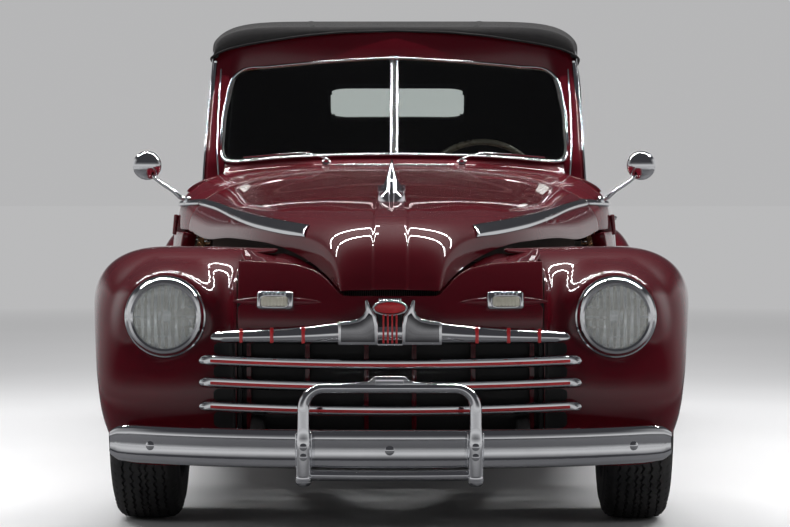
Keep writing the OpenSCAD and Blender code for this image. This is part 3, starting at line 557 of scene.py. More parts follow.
def oval(a: float, b: float, sides: int = 16, power: float = 2.0) -> np.ndarray:
    """Section of an oval, or of a rounded box with a higher power."""
    t = 2 * np.pi * (np.arange(sides) + 0.5) / sides
    c, s = np.cos(t), np.sin(t)
    k = 1 / (np.abs(c) ** power + np.abs(s) ** power) ** (1 / power)
    return np.stack([a * c * k, b * s * k], 1)


def lathe(name: str, profile: Sequence[Sequence[float]], place: Matrix, steps: int = 64) -> bpy.types.Object:
    """Turned piece about its own Z axis.

    Args:
        name: The piece's name.
        profile: Points as (radius, height), in millimetres.
        place: Where it stands; its translation is in millimetres.
        steps: Steps round.

    Returns:
        The piece.
    """
    p = np.array(profile, float)
    t = 2 * np.pi * np.arange(steps) / steps
    pts = np.stack([np.outer(p[:, 0], np.cos(t)), np.outer(p[:, 0], np.sin(t)), np.repeat(p[:, 1:], steps, 1)], -1)
    obj = new_mesh(name, carried(pts, place), grid_faces(len(p), steps, wrap=True))
    outward(obj)
    return crisp(obj, 35)


def place_at(origin: Point, axis: Point) -> Matrix:
    """Place whose Z axis points along axis."""
    turn = Vector(axis).to_track_quat("Z", "Y").to_matrix().to_4x4()
    turn.translation = Vector(origin)
    return turn


def block(name: str, corners: tuple[Point, Point], edge: float, segments: int = 2,
          place: Matrix | None = None) -> bpy.types.Object:
    """Box with rounded edges between two corners, set at a place."""
    lo, hi = np.array(corners[0], float), np.array(corners[1], float)
    pts = np.array([[(hi if i & 1 else lo)[0], (hi if i & 2 else lo)[1], (hi if i & 4 else lo)[2]] for i in range(8)])
    if place is not None:
        pts = carried(pts, place)
    obj = new_mesh(name, pts, [(0, 2, 3, 1), (4, 5, 7, 6), (0, 1, 5, 4), (2, 6, 7, 3), (0, 4, 6, 2), (1, 3, 7, 5)])
    bevel = obj.modifiers.new("Edges", "BEVEL")
    bevel.width, bevel.segments = edge * MM, segments
    return crisp(outward(bake(obj)), 40)


def join(name: str, pieces: Sequence[bpy.types.Object]) -> bpy.types.Object:
    """One object of several, with their materials kept."""
    bm = bmesh.new()
    materials: list[bpy.types.Material] = []
    for piece in pieces:
        slots = [s.material for s in piece.material_slots]
        for m in slots:
            if m not in materials:
                materials.append(m)
        at = [materials.index(m) for m in slots] or [0]
        start = len(bm.faces)
        bm.from_mesh(piece.data)
        bm.faces.ensure_lookup_table()
        for f in bm.faces[start:]:
            f.material_index = at[min(f.material_index, len(at) - 1)]
    mesh = bpy.data.meshes.new(name)
    bm.to_mesh(mesh)
    bm.free()
    for m in materials:
        mesh.materials.append(m)
    obj = bpy.data.objects.new(name, mesh)
    bpy.context.scene.collection.objects.link(obj)
    for piece in pieces:
        bpy.data.objects.remove(piece)
    obj.name = name
    return obj


def mirrored(obj: bpy.types.Object, name: str) -> bpy.types.Object:
    """Copy of a piece on the other side of the car, with its faces outwards."""
    mesh = obj.data.copy()
    mesh.transform(Matrix.Scale(-1, 4, (1, 0, 0)))
    mesh.flip_normals()
    copy = bpy.data.objects.new(name, mesh)
    bpy.context.scene.collection.objects.link(copy)
    return copy


def both(name: str, build: Callable[[str], bpy.types.Object]) -> tuple[bpy.types.Object, bpy.types.Object]:
    """A piece on the left and its mirror image on the right."""
    left = build(f"{name}_left")
    return left, mirrored(left, f"{name}_right")


def pair(name: str, build: Callable[[str], bpy.types.Object]) -> bpy.types.Object:
    """A piece and its mirror image as one object."""
    left, right = both(name, build)
    return join(name, [left, right])


# ---------------------------------------------------------------- finishes


class Bench:
    """Places and joins shader nodes in one tree."""

    def __init__(self, tree: bpy.types.NodeTree) -> None:
        """Keeps the tree that the nodes go in."""
        self.tree = tree

    def add(self, kind: str, **values: object) -> bpy.types.Node:
        """A node of a kind, with its own settings, and inputs given as i_NAME or i_NUMBER.

        Args:
            kind: The node's type, without its ShaderNode prefix.
            **values: Settings, and inputs by name or number.

        Returns:
            The node.
        """
        node = self.tree.nodes.new(kind if kind.startswith("Node") else "ShaderNode" + kind)
        for key, value in values.items():
            if not key.startswith("i_"):
                setattr(node, key, value)
        for key, value in values.items():
            if key.startswith("i_"):
                name = key[2:].replace("_", " ")
                socket = node.inputs[int(name)] if name.isdigit() else node.inputs[name]
                if isinstance(value, bpy.types.NodeSocket):
                    self.tree.links.new(value, socket)
                else:
                    socket.default_value = value
        return node

    def math(self, operation: str, *inputs: object) -> bpy.types.NodeSocket:
        """Output of a Math node."""
        return self.add("Math", operation=operation, **{f"i_{k}": v for k, v in enumerate(inputs)}).outputs[0]

    def ramp(self, value: bpy.types.NodeSocket,
             stops: Sequence[tuple[float, tuple[float, ...]]]) -> bpy.types.NodeSocket:
        """Colour of a ramp with these stops at a value."""
        node = self.add("ValToRGB", i_Fac=value)
        elements = node.color_ramp.elements
        while len(elements) < len(stops):
            elements.new(0.5)
        for element, (at, colour) in zip(elements, stops):
            element.position, element.color = at, (*colour[:3], 1)
        return node.outputs["Color"]

    def map(self, value: bpy.types.NodeSocket, low: float, high: float, to_low: float = 0, to_high: float = 1
            ) -> bpy.types.NodeSocket:
        """Value carried from one range to another, clamped."""
        return self.add("MapRange", i_Value=value, i_1=low, i_2=high, i_3=to_low, i_4=to_high).outputs["Result"]


@dataclass(frozen=True)
class Effect:
    """A shader node group that several finishes share."""

    name: str
    inputs: tuple[tuple[str, str, object], ...]
    outputs: tuple[tuple[str, str], ...]
    fill: Callable[[Bench, dict[str, bpy.types.NodeSocket]], dict[str, bpy.types.NodeSocket]]

    def group(self) -> bpy.types.NodeTree:
        """The group's tree, built the first time it is asked for."""
        found = bpy.data.node_groups.get(self.name)
        if found:
            return found
        tree = bpy.data.node_groups.new(self.name, "ShaderNodeTree")
        for name, kind, value in self.inputs:
            socket = tree.interface.new_socket(name, in_out="INPUT", socket_type="NodeSocket" + kind)
            if value is not None:
                socket.default_value = value
        for name, kind in self.outputs:
            tree.interface.new_socket(name, in_out="OUTPUT", socket_type="NodeSocket" + kind)
        bench = Bench(tree)
        entry, leave = bench.add("NodeGroupInput"), bench.add("NodeGroupOutput")
        made = self.fill(bench, {s.name: s for s in entry.outputs if s.name})
        for name, socket in made.items():
            tree.links.new(socket, leave.inputs[name])
        return tree

    def use(self, bench: Bench, **values: object) -> bpy.types.Node:
        """Places the group in a material with its own values."""
        node = bench.tree.nodes.new("ShaderNodeGroup")
        node.node_tree = self.group()
        for key, value in values.items():
            socket = node.inputs[key.replace("_", " ")]
            if isinstance(value, bpy.types.NodeSocket):
                bench.tree.links.new(value, socket)
            else:
                socket.default_value = value
        return node


def fill_drift(b: Bench, s: dict[str, bpy.types.NodeSocket]) -> dict[str, bpy.types.NodeSocket]:
    """Slow change between two colours, and the mask it follows."""
    noise = b.add("TexNoise", i_Vector=s["Place"], i_Scale=s["Scale"], i_Detail=3.0, i_Roughness=0.55)
    mask = b.map(noise.outputs["Fac"], 0.32, 0.68)
    mix = b.add("Mix", data_type="RGBA", i_0=mask)
    b.tree.links.new(s["One"], mix.inputs[6])
    b.tree.links.new(s["Other"], mix.inputs[7])
    return {"Colour": mix.outputs[2], "Mask": mask}


def fill_smudge(b: Bench, s: dict[str, bpy.types.NodeSocket]) -> dict[str, bpy.types.NodeSocket]:
    """Handled and wiped places, as a roughness between two values."""
    broad = b.add("TexNoise", i_Vector=s["Place"], i_Scale=s["Scale"], i_Detail=4.0, i_Roughness=0.6)
    fine = b.add("TexNoise", i_Vector=s["Place"], i_Scale=b.math("MULTIPLY", s["Scale"], 9.0), i_Detail=2.0)
    both_masks = b.math("MULTIPLY_ADD", fine.outputs["Fac"], 0.3, b.math("MULTIPLY", broad.outputs["Fac"], 0.7))
    t = b.map(both_masks, 0.3, 0.7)
    low = b.math("MULTIPLY", s["Low"], b.math("SUBTRACT", 1.0, t))
    return {"Roughness": b.math("MULTIPLY_ADD", s["High"], t, low), "Mask": t}


def fill_grain(b: Bench, s: dict[str, bpy.types.NodeSocket]) -> dict[str, bpy.types.NodeSocket]:
    """Fine pebbled surface, as a height."""
    cells = b.add("TexVoronoi", i_Vector=s["Place"], i_Scale=s["Scale"], feature="SMOOTH_F1")
    fine = b.add("TexNoise", i_Vector=s["Place"], i_Scale=b.math("MULTIPLY", s["Scale"], 2.3), i_Detail=3.0)
    height = b.math("MULTIPLY_ADD", fine.outputs["Fac"], 0.5, cells.outputs["Distance"])
    return {"Height": height, "Mask": b.map(height, 0.3, 0.9)}


def fill_dust(b: Bench, s: dict[str, bpy.types.NodeSocket]) -> dict[str, bpy.types.NodeSocket]:
    """Road dust that settles on what faces up, as a colour and its mask."""
    up = b.add("SeparateXYZ", i_Vector=b.add("NewGeometry").outputs["Normal"]).outputs["Z"]
    noise = b.add("TexNoise", i_Vector=s["Place"], i_Scale=s["Scale"], i_Detail=5.0, i_Roughness=0.65)
    mask = b.math("MULTIPLY", b.map(up, -0.2, 1.0, 0.25, 1.0), b.map(noise.outputs["Fac"], 0.42, 0.72))
    mask = b.math("MULTIPLY", mask, s["Amount"])
    mix = b.add("Mix", data_type="RGBA", i_0=mask)
    b.tree.links.new(s["Colour"], mix.inputs[6])
    mix.inputs[7].default_value = (0.16, 0.14, 0.12, 1)
    return {"Colour": mix.outputs[2], "Mask": mask}


def fill_weave(b: Bench, s: dict[str, bpy.types.NodeSocket]) -> dict[str, bpy.types.NodeSocket]:
    """Over-and-under threads of a cloth, as a height and a mask of the threads that run across."""
    split = b.add("SeparateXYZ", i_Vector=s["Place"])
    u = b.math("MULTIPLY", split.outputs["X"], s["Threads"])
    v = b.math("MULTIPLY", split.outputs["Y"], s["Threads"])
    wave_u = b.math("ABSOLUTE", b.math("SINE", b.math("MULTIPLY", u, math.pi)))
    wave_v = b.math("ABSOLUTE", b.math("SINE", b.math("MULTIPLY", v, math.pi)))
    parity = b.math("ADD", b.math("FLOOR", u), b.math("FLOOR", v))
    over = b.math("PINGPONG", parity, 1.0)
    across = b.math("MULTIPLY", wave_v, over)
    height = b.math("MULTIPLY_ADD", wave_u, b.math("SUBTRACT", 1.0, over), across)
    return {"Height": height, "Mask": over}


VECTOR = ("Place", "Vector", None)
DRIFT = Effect("Colour drift", (VECTOR, ("Scale", "Float", 3.0), ("One", "Color", None), ("Other", "Color", None)),
               (("Colour", "Color"), ("Mask", "Float")), fill_drift)
SMUDGE = Effect("Smudge", (VECTOR, ("Scale", "Float", 4.0), ("Low", "Float", 0.1), ("High", "Float", 0.2)),
                (("Roughness", "Float"), ("Mask", "Float")), fill_smudge)
GRAIN = Effect("Pebble grain", (VECTOR, ("Scale", "Float", 300.0)), (("Height", "Float"), ("Mask", "Float")),
               fill_grain)
DUST = Effect("Road dust", (VECTOR, ("Scale", "Float", 6.0), ("Amount", "Float", 0.5), ("Colour", "Color", None)),
              (("Colour", "Color"), ("Mask", "Float")), fill_dust)
WEAVE = Effect("Woven threads", (VECTOR, ("Threads", "Float", 700.0)), (("Height", "Float"), ("Mask", "Float")),
               fill_weave)

Colour = tuple[float, float, float]


class Bump(Enum):
    """Surface relief that a finish has."""

    NONE = "none"
    ORANGE_PEEL = "orange peel"
    PEBBLE = "pebble"
    WEAVE = "weave"
    BRUSHED = "brushed"
    FLUTES = "flutes"


@dataclass(frozen=True)
class Finish:
    """A procedural finish, and what each of its properties is."""

    name: str
    one: Colour
    other: Colour
    drift: float = 3.0
    rough: tuple[float, float] = (0.3, 0.4)
    smudge: float = 5.0
    metallic: float = 0.0
    specular: float = 0.5
    coat: float = 0.0
    coat_rough: float = 0.03
    sheen: float = 0.0
    transmission: float = 0.0
    ior: float = 1.5
    bump: Bump = Bump.NONE
    bump_scale: float = 300.0
    bump_height: float = 0.0004
    dust: float = 0.0
    use_uv: bool = False
    shadow_tint: float = 0.0

    def material(self) -> bpy.types.Material:
        """The finish as a material, built the first time it is asked for."""
        found = bpy.data.materials.get(self.name)
        if found:
            return found
        mat = bpy.data.materials.new(self.name)
        mat.use_nodes = True
        mat.diffuse_color = (*self.one, 1)
        b = Bench(mat.node_tree)
        mat.node_tree.nodes.clear()
        out, shader = b.add("OutputMaterial"), b.add("BsdfPrincipled")
        surface = shader.outputs[0]
        if self.shadow_tint:
            clear = b.add("BsdfTransparent", i_Color=(*(c * self.shadow_tint for c in self.one), 1))
            lit = b.add("LightPath").outputs["Is Shadow Ray"]
            surface = b.add("MixShader", i_0=lit, i_1=surface, i_2=clear.outputs[0]).outputs[0]
        b.tree.links.new(surface, out.inputs[0])
        coords = b.add("TexCoord")
        place = coords.outputs["UV" if self.use_uv else "Object"]
        colour = DRIFT.use(b, Place=coords.outputs["Object"], Scale=self.drift, One=(*self.one, 1),
                           Other=(*self.other, 1)).outputs["Colour"]
        if self.dust:
            colour = DUST.use(b, Place=coords.outputs["Object"], Amount=self.dust, Colour=colour).outputs["Colour"]
        b.tree.links.new(colour, shader.inputs["Base Color"])
        rough = SMUDGE.use(b, Place=coords.outputs["Object"], Scale=self.smudge, Low=self.rough[0],
                           High=self.rough[1])
        b.tree.links.new(rough.outputs["Roughness"], shader.inputs["Roughness"])
        shader.inputs["Metallic"].default_value = self.metallic
        shader.inputs["IOR"].default_value = self.ior
        shader.inputs["Specular IOR Level"].default_value = self.specular
        shader.inputs["Coat Weight"].default_value = self.coat
        shader.inputs["Coat Roughness"].default_value = self.coat_rough
        shader.inputs["Sheen Weight"].default_value = self.sheen
        shader.inputs["Transmission Weight"].default_value = self.transmission
        self.relief(b, shader, place)
        return mat

    def relief(self, b: Bench, shader: bpy.types.Node, place: bpy.types.NodeSocket) -> None:
        """Adds the finish's relief to its shader."""
        if self.bump is Bump.NONE:
            return
        if self.bump is Bump.PEBBLE:
            height = GRAIN.use(b, Place=place, Scale=self.bump_scale).outputs["Height"]
        elif self.bump is Bump.WEAVE:
            height = WEAVE.use(b, Place=place, Threads=self.bump_scale).outputs["Height"]
        elif self.bump is Bump.BRUSHED:
            squeezed = b.add("Mapping", i_Vector=place, i_Scale=(1, 30, 30))
            height = b.add("TexNoise", i_Vector=squeezed.outputs[0], i_Scale=self.bump_scale,
                           i_Detail=2.0).outputs["Fac"]
        elif self.bump is Bump.FLUTES:
            wave = b.add("TexWave", i_Vector=place, i_Scale=self.bump_scale, bands_direction="X")
            height = wave.outputs["Fac"]
        else:
            height = b.add("TexNoise", i_Vector=place, i_Scale=self.bump_scale, i_Detail=1.0).outputs["Fac"]
        bump = b.add("Bump", i_Height=height, i_Distance=self.bump_height, i_Strength=1.0)
        b.tree.links.new(bump.outputs["Normal"], shader.inputs["Normal"])
        if self.coat:
            b.tree.links.new(bump.outputs["Normal"], shader.inputs["Coat Normal"])


PAINT = Finish("maroon_enamel", (0.078, 0.0020, 0.0064), (0.066, 0.0016, 0.0054), rough=(0.34, 0.42), specular=0.06,
               coat=1.0, coat_rough=0.02, bump=Bump.ORANGE_PEEL, bump_scale=90.0, bump_height=0.00001)
CHROME = Finish("bright_chrome", (0.84, 0.85, 0.87), (0.80, 0.81, 0.83), drift=8.0, rough=(0.035, 0.10),
                smudge=14.0, metallic=1.0, bump=Bump.ORANGE_PEEL, bump_scale=26.0, bump_height=0.00008)
# Chrome darkened as painted shade, for the faces of the grille's shoulders.
SHADED_CHROME = Finish("shaded_chrome", (0.30, 0.30, 0.31), (0.22, 0.22, 0.23), drift=8.0, rough=(0.05, 0.12),
                     smudge=14.0, metallic=1.0, bump=Bump.ORANGE_PEEL, bump_scale=26.0, bump_height=0.00008)
STAINLESS = Finish("polished_stainless", (0.66, 0.66, 0.67), (0.58, 0.58, 0.59), rough=(0.12, 0.24), metallic=1.0,
                   bump=Bump.BRUSHED, bump_scale=40.0, bump_height=0.00003)
RED = Finish("red_enamel", (0.42, 0.012, 0.016), (0.34, 0.010, 0.014), rough=(0.25, 0.4), coat=0.6,
             bump=Bump.ORANGE_PEEL, bump_scale=200.0, bump_height=0.00003)
# Near-black enamel; on the grille's back sheet, its cheeks and slots and on the wheel vents it is painted shade in
# place of dark openings.
BLACK_AND_SHADE = Finish("black_enamel", (0.005, 0.005, 0.0055), (0.008, 0.008, 0.0085), rough=(0.4, 0.6), specular=0.3,
               coat=0.08, dust=0.03, bump=Bump.ORANGE_PEEL, bump_scale=150.0, bump_height=0.00004)
CHASSIS = Finish("chassis_black", (0.015, 0.015, 0.015), (0.030, 0.027, 0.024), rough=(0.5, 0.8), dust=0.25,
                 bump=Bump.PEBBLE, bump_scale=160.0, bump_height=0.0003)
ENGINE = Finish("engine_enamel", (0.030, 0.055, 0.040), (0.020, 0.038, 0.028), rough=(0.4, 0.65), dust=0.5,
                bump=Bump.PEBBLE, bump_scale=120.0, bump_height=0.0005)
STEEL = Finish("bare_steel", (0.30, 0.29, 0.28), (0.17, 0.155, 0.145), drift=7.0, rough=(0.35, 0.6), metallic=1.0,
               dust=0.3, bump=Bump.PEBBLE, bump_scale=200.0, bump_height=0.0002)
RUBBER = Finish("black_rubber", (0.016, 0.016, 0.017), (0.026, 0.025, 0.025), rough=(0.55, 0.75), dust=0.25,
                bump=Bump.PEBBLE, bump_scale=420.0, bump_height=0.00015)
TYRE = Finish("tyre_rubber", (0.013, 0.013, 0.014), (0.022, 0.021, 0.021), drift=6.0, rough=(0.6, 0.85), dust=0.15,
              bump=Bump.PEBBLE, bump_scale=500.0, bump_height=0.0002)
CANVAS = Finish("black_canvas", (0.0085, 0.0080, 0.0085), (0.013, 0.0125, 0.013), drift=5.0, rough=(0.75, 0.95),
                specular=0.25, sheen=0.05, bump=Bump.WEAVE, bump_scale=520.0, bump_height=0.0006, use_uv=True,
                dust=0.05)
# Roof lining made near-black as painted shade under the top.
LINING = Finish("roof_lining", (0.012, 0.010, 0.009), (0.009, 0.008, 0.007), rough=(0.85, 0.98), specular=0.2,
                sheen=0.04, bump=Bump.WEAVE, bump_scale=420.0, bump_height=0.0005, use_uv=True)
LEATHER = Finish("tan_leather", (0.25, 0.115, 0.050), (0.19, 0.082, 0.036), drift=5.0, rough=(0.38, 0.58),
                 coat=0.12, coat_rough=0.3, bump=Bump.PEBBLE, bump_scale=260.0, bump_height=0.0005)
CARPET = Finish("dark_carpet", (0.050, 0.030, 0.024), (0.035, 0.021, 0.017), rough=(0.9, 1.0), sheen=0.4,
                bump=Bump.PEBBLE, bump_scale=330.0, bump_height=0.0016, dust=0.2)
DASH = Finish("dash_enamel", (0.110, 0.050, 0.026), (0.080, 0.036, 0.018), rough=(0.28, 0.4), coat=0.7,
              bump=Bump.ORANGE_PEEL, bump_scale=120.0, bump_height=0.00005)
# Ivory darkened as painted shade, for the steering wheel; the knobs, the bulb and the shift knob keep the lit ivory.
SHADED_IVORY = Finish("shaded_plastic", (0.085, 0.072, 0.052), (0.065, 0.055, 0.040), rough=(0.22, 0.36), coat=0.4,
                     bump=Bump.ORANGE_PEEL, bump_scale=90.0, bump_height=0.00004)
IVORY = Finish("ivory_plastic", (0.52, 0.44, 0.31), (0.46, 0.38, 0.26), rough=(0.22, 0.36), coat=0.3,
               bump=Bump.ORANGE_PEEL, bump_scale=90.0, bump_height=0.00004)
GLASS = Finish("window_glass", (0.86, 0.90, 0.88), (0.84, 0.89, 0.87), rough=(0.0, 0.015), transmission=1.0,
               ior=1.45, shadow_tint=0.9, bump=Bump.ORANGE_PEEL, bump_scale=3.0, bump_height=0.00002)
LENS = Finish("fluted_lens_glass", (0.93, 0.95, 0.95), (0.90, 0.93, 0.93), rough=(0.02, 0.06), transmission=0.80,
              ior=1.5, shadow_tint=0.9, bump=Bump.ORANGE_PEEL, bump_scale=40.0, bump_height=0.00005)
CREAM_LENS = Finish("cream_lens_glass", (0.62, 0.60, 0.50), (0.54, 0.52, 0.42), rough=(0.05, 0.12),
                    transmission=0.25, coat=0.8, bump=Bump.FLUTES, bump_scale=32.0, bump_height=0.001)
RED_LENS = Finish("red_lens_glass", (0.55, 0.012, 0.010), (0.48, 0.010, 0.009), rough=(0.05, 0.12),
                  transmission=0.35, coat=0.8, bump=Bump.PEBBLE, bump_scale=180.0, bump_height=0.0002)
REFLECTOR = Finish("lamp_silver", (0.88, 0.88, 0.86), (0.84, 0.84, 0.82), rough=(0.06, 0.14), metallic=1.0,
                   bump=Bump.ORANGE_PEEL, bump_scale=60.0, bump_height=0.00005)
MIRROR = Finish("mirror_silver", (0.90, 0.91, 0.91), (0.88, 0.89, 0.89), rough=(0.0, 0.02), metallic=1.0,
                bump=Bump.ORANGE_PEEL, bump_scale=6.0, bump_height=0.00001)
DIAL = Finish("dial_face", (0.62, 0.56, 0.42), (0.56, 0.50, 0.37), rough=(0.4, 0.5), bump=Bump.ORANGE_PEEL,
              bump_scale=200.0, bump_height=0.00002)


def dress(obj: bpy.types.Object, *finishes: Finish) -> bpy.types.Object:
    """Gives a piece its finishes, one for each material index."""
    obj.data.materials.clear()
    for f in finishes:
        obj.data.materials.append(f.material())
    return obj


def settle(obj: bpy.types.Object, body: str, slot: str, *nodes: str) -> bpy.types.Object:
    """Rides a piece on its body, hides the nodes it stands for, and reports it; its slot is not used."""
    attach(obj, body)
    if nodes:
        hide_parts(*nodes)
    LOG.info("%s on %s: %d faces", obj.name, body, len(obj.data.polygons))
    return obj


def refinish(node: bpy.types.Object, finish: Finish) -> None:
    """Gives a node of the frame its finish."""
    mesh = node.data
    if not mesh.materials:
        mesh.materials.append(None)
    for k in range(len(mesh.materials)):
        mesh.materials[k] = finish.material()


# ---------------------------------------------------------------- repeats


@dataclass(frozen=True)
class Repeat:
    """Geometry Nodes tree that sets copies of a block along a line or round a ring."""

    name: str = "Repeated blocks"

    def tree(self) -> bpy.types.NodeTree:
        """The tree, built the first time it is asked for.

        Returns:
            A tree with the inputs Block, Count, Radius, Step, Turn and Finish. With a radius the copies stand round
            the X axis, and with none along Step; Turn turns each copy by that much more than the last.
        """
        found = bpy.data.node_groups.get(self.name)
        if found:
            return found
        tree = bpy.data.node_groups.new(self.name, "GeometryNodeTree")
        face = tree.interface
        face.new_socket("Block", in_out="INPUT", socket_type="NodeSocketObject")
        face.new_socket("Count", in_out="INPUT", socket_type="NodeSocketInt").default_value = 8
        face.new_socket("Radius", in_out="INPUT", socket_type="NodeSocketFloat").default_value = 0.0
        face.new_socket("Step", in_out="INPUT", socket_type="NodeSocketVector")
        face.new_socket("Turn", in_out="INPUT", socket_type="NodeSocketFloat").default_value = 0.0
        face.new_socket("Finish", in_out="INPUT", socket_type="NodeSocketMaterial")
        face.new_socket("Geometry", in_out="OUTPUT", socket_type="NodeSocketGeometry")
        new, link = tree.nodes.new, tree.links.new
        entry, leave = new("NodeGroupInput"), new("NodeGroupOutput")
        points, index = new("GeometryNodeMeshLine"), new("GeometryNodeInputIndex")
        points.mode, points.count_mode = "OFFSET", "TOTAL"
        link(entry.outputs["Count"], points.inputs["Count"])
        link(entry.outputs["Step"], points.inputs["Offset"])
        turn = new("ShaderNodeMath")
        turn.operation = "MULTIPLY"
        link(index.outputs[0], turn.inputs[0])
        link(entry.outputs["Turn"], turn.inputs[1])
        lift = new("ShaderNodeCombineXYZ")
        link(entry.outputs["Radius"], lift.inputs["Z"])
        spin = new("ShaderNodeCombineXYZ")
        link(turn.outputs[0], spin.inputs["X"])
        around = new("ShaderNodeVectorRotate")
        around.rotation_type = "X_AXIS"
        link(lift.outputs[0], around.inputs["Vector"])
        link(turn.outputs[0], around.inputs["Angle"])
        move = new("GeometryNodeSetPosition")
        link(points.outputs[0], move.inputs["Geometry"])
        link(around.outputs[0], move.inputs["Offset"])
        info = new("GeometryNodeObjectInfo")
        info.transform_space = "ORIGINAL"
        link(entry.outputs["Block"], info.inputs["Object"])
        copies = new("GeometryNodeInstanceOnPoints")
        link(move.outputs[0], copies.inputs["Points"])
        link(info.outputs["Geometry"], copies.inputs["Instance"])
        link(spin.outputs[0], copies.inputs["Rotation"])
        real, coat = new("GeometryNodeRealizeInstances"), new("GeometryNodeSetMaterial")
        link(copies.outputs[0], real.inputs[0])
        link(real.outputs[0], coat.inputs["Geometry"])
        link(entry.outputs["Finish"], coat.inputs["Material"])
        link(coat.outputs[0], leave.inputs[0])
        return tree

    def make(self, name: str, unit: bpy.types.Object, count: int, finish: Finish, step: Point = (0, 0, 0),
             radius: float = 0.0, turn: float = 0.0, place: Matrix | None = None) -> bpy.types.Object:
        """Plain mesh of repeated copies.

        Args:
            name: The piece's name.
            unit: The copied piece, which is deleted afterwards.
            count: How many copies.
            finish: Their finish.
            step: From one copy to the next, in millimetres.
            radius: Radius of the ring round the X axis, in millimetres.
            turn: Degrees from one copy to the next.
            place: Where the result stands, in millimetres.

        Returns:
            The piece.
        """
        host = bpy.data.objects.new(name, bpy.data.meshes.new(name))
        bpy.context.scene.collection.objects.link(host)
        modifier = host.modifiers.new("Repeat", "NODES")
        modifier.node_group = self.tree()
        ids = {i.name: i.identifier for i in self.tree().interface.items_tree if i.in_out == "INPUT"}
        modifier[ids["Block"]] = unit
        modifier[ids["Count"]] = count
        modifier[ids["Radius"]] = radius * MM
        modifier[ids["Step"]] = [s * MM for s in step]
        modifier[ids["Turn"]] = math.radians(turn)
        modifier[ids["Finish"]] = finish.material()
        bake(host)
        if place is not None:
            m = place.copy()
            m.translation = m.translation * MM
            host.data.transform(m)
        bpy.data.objects.remove(unit)
        host.data.materials.clear()
        host.data.materials.append(finish.material())
        return crisp(host, 40)


REPEAT = Repeat()


# ---------------------------------------------------------------- studio


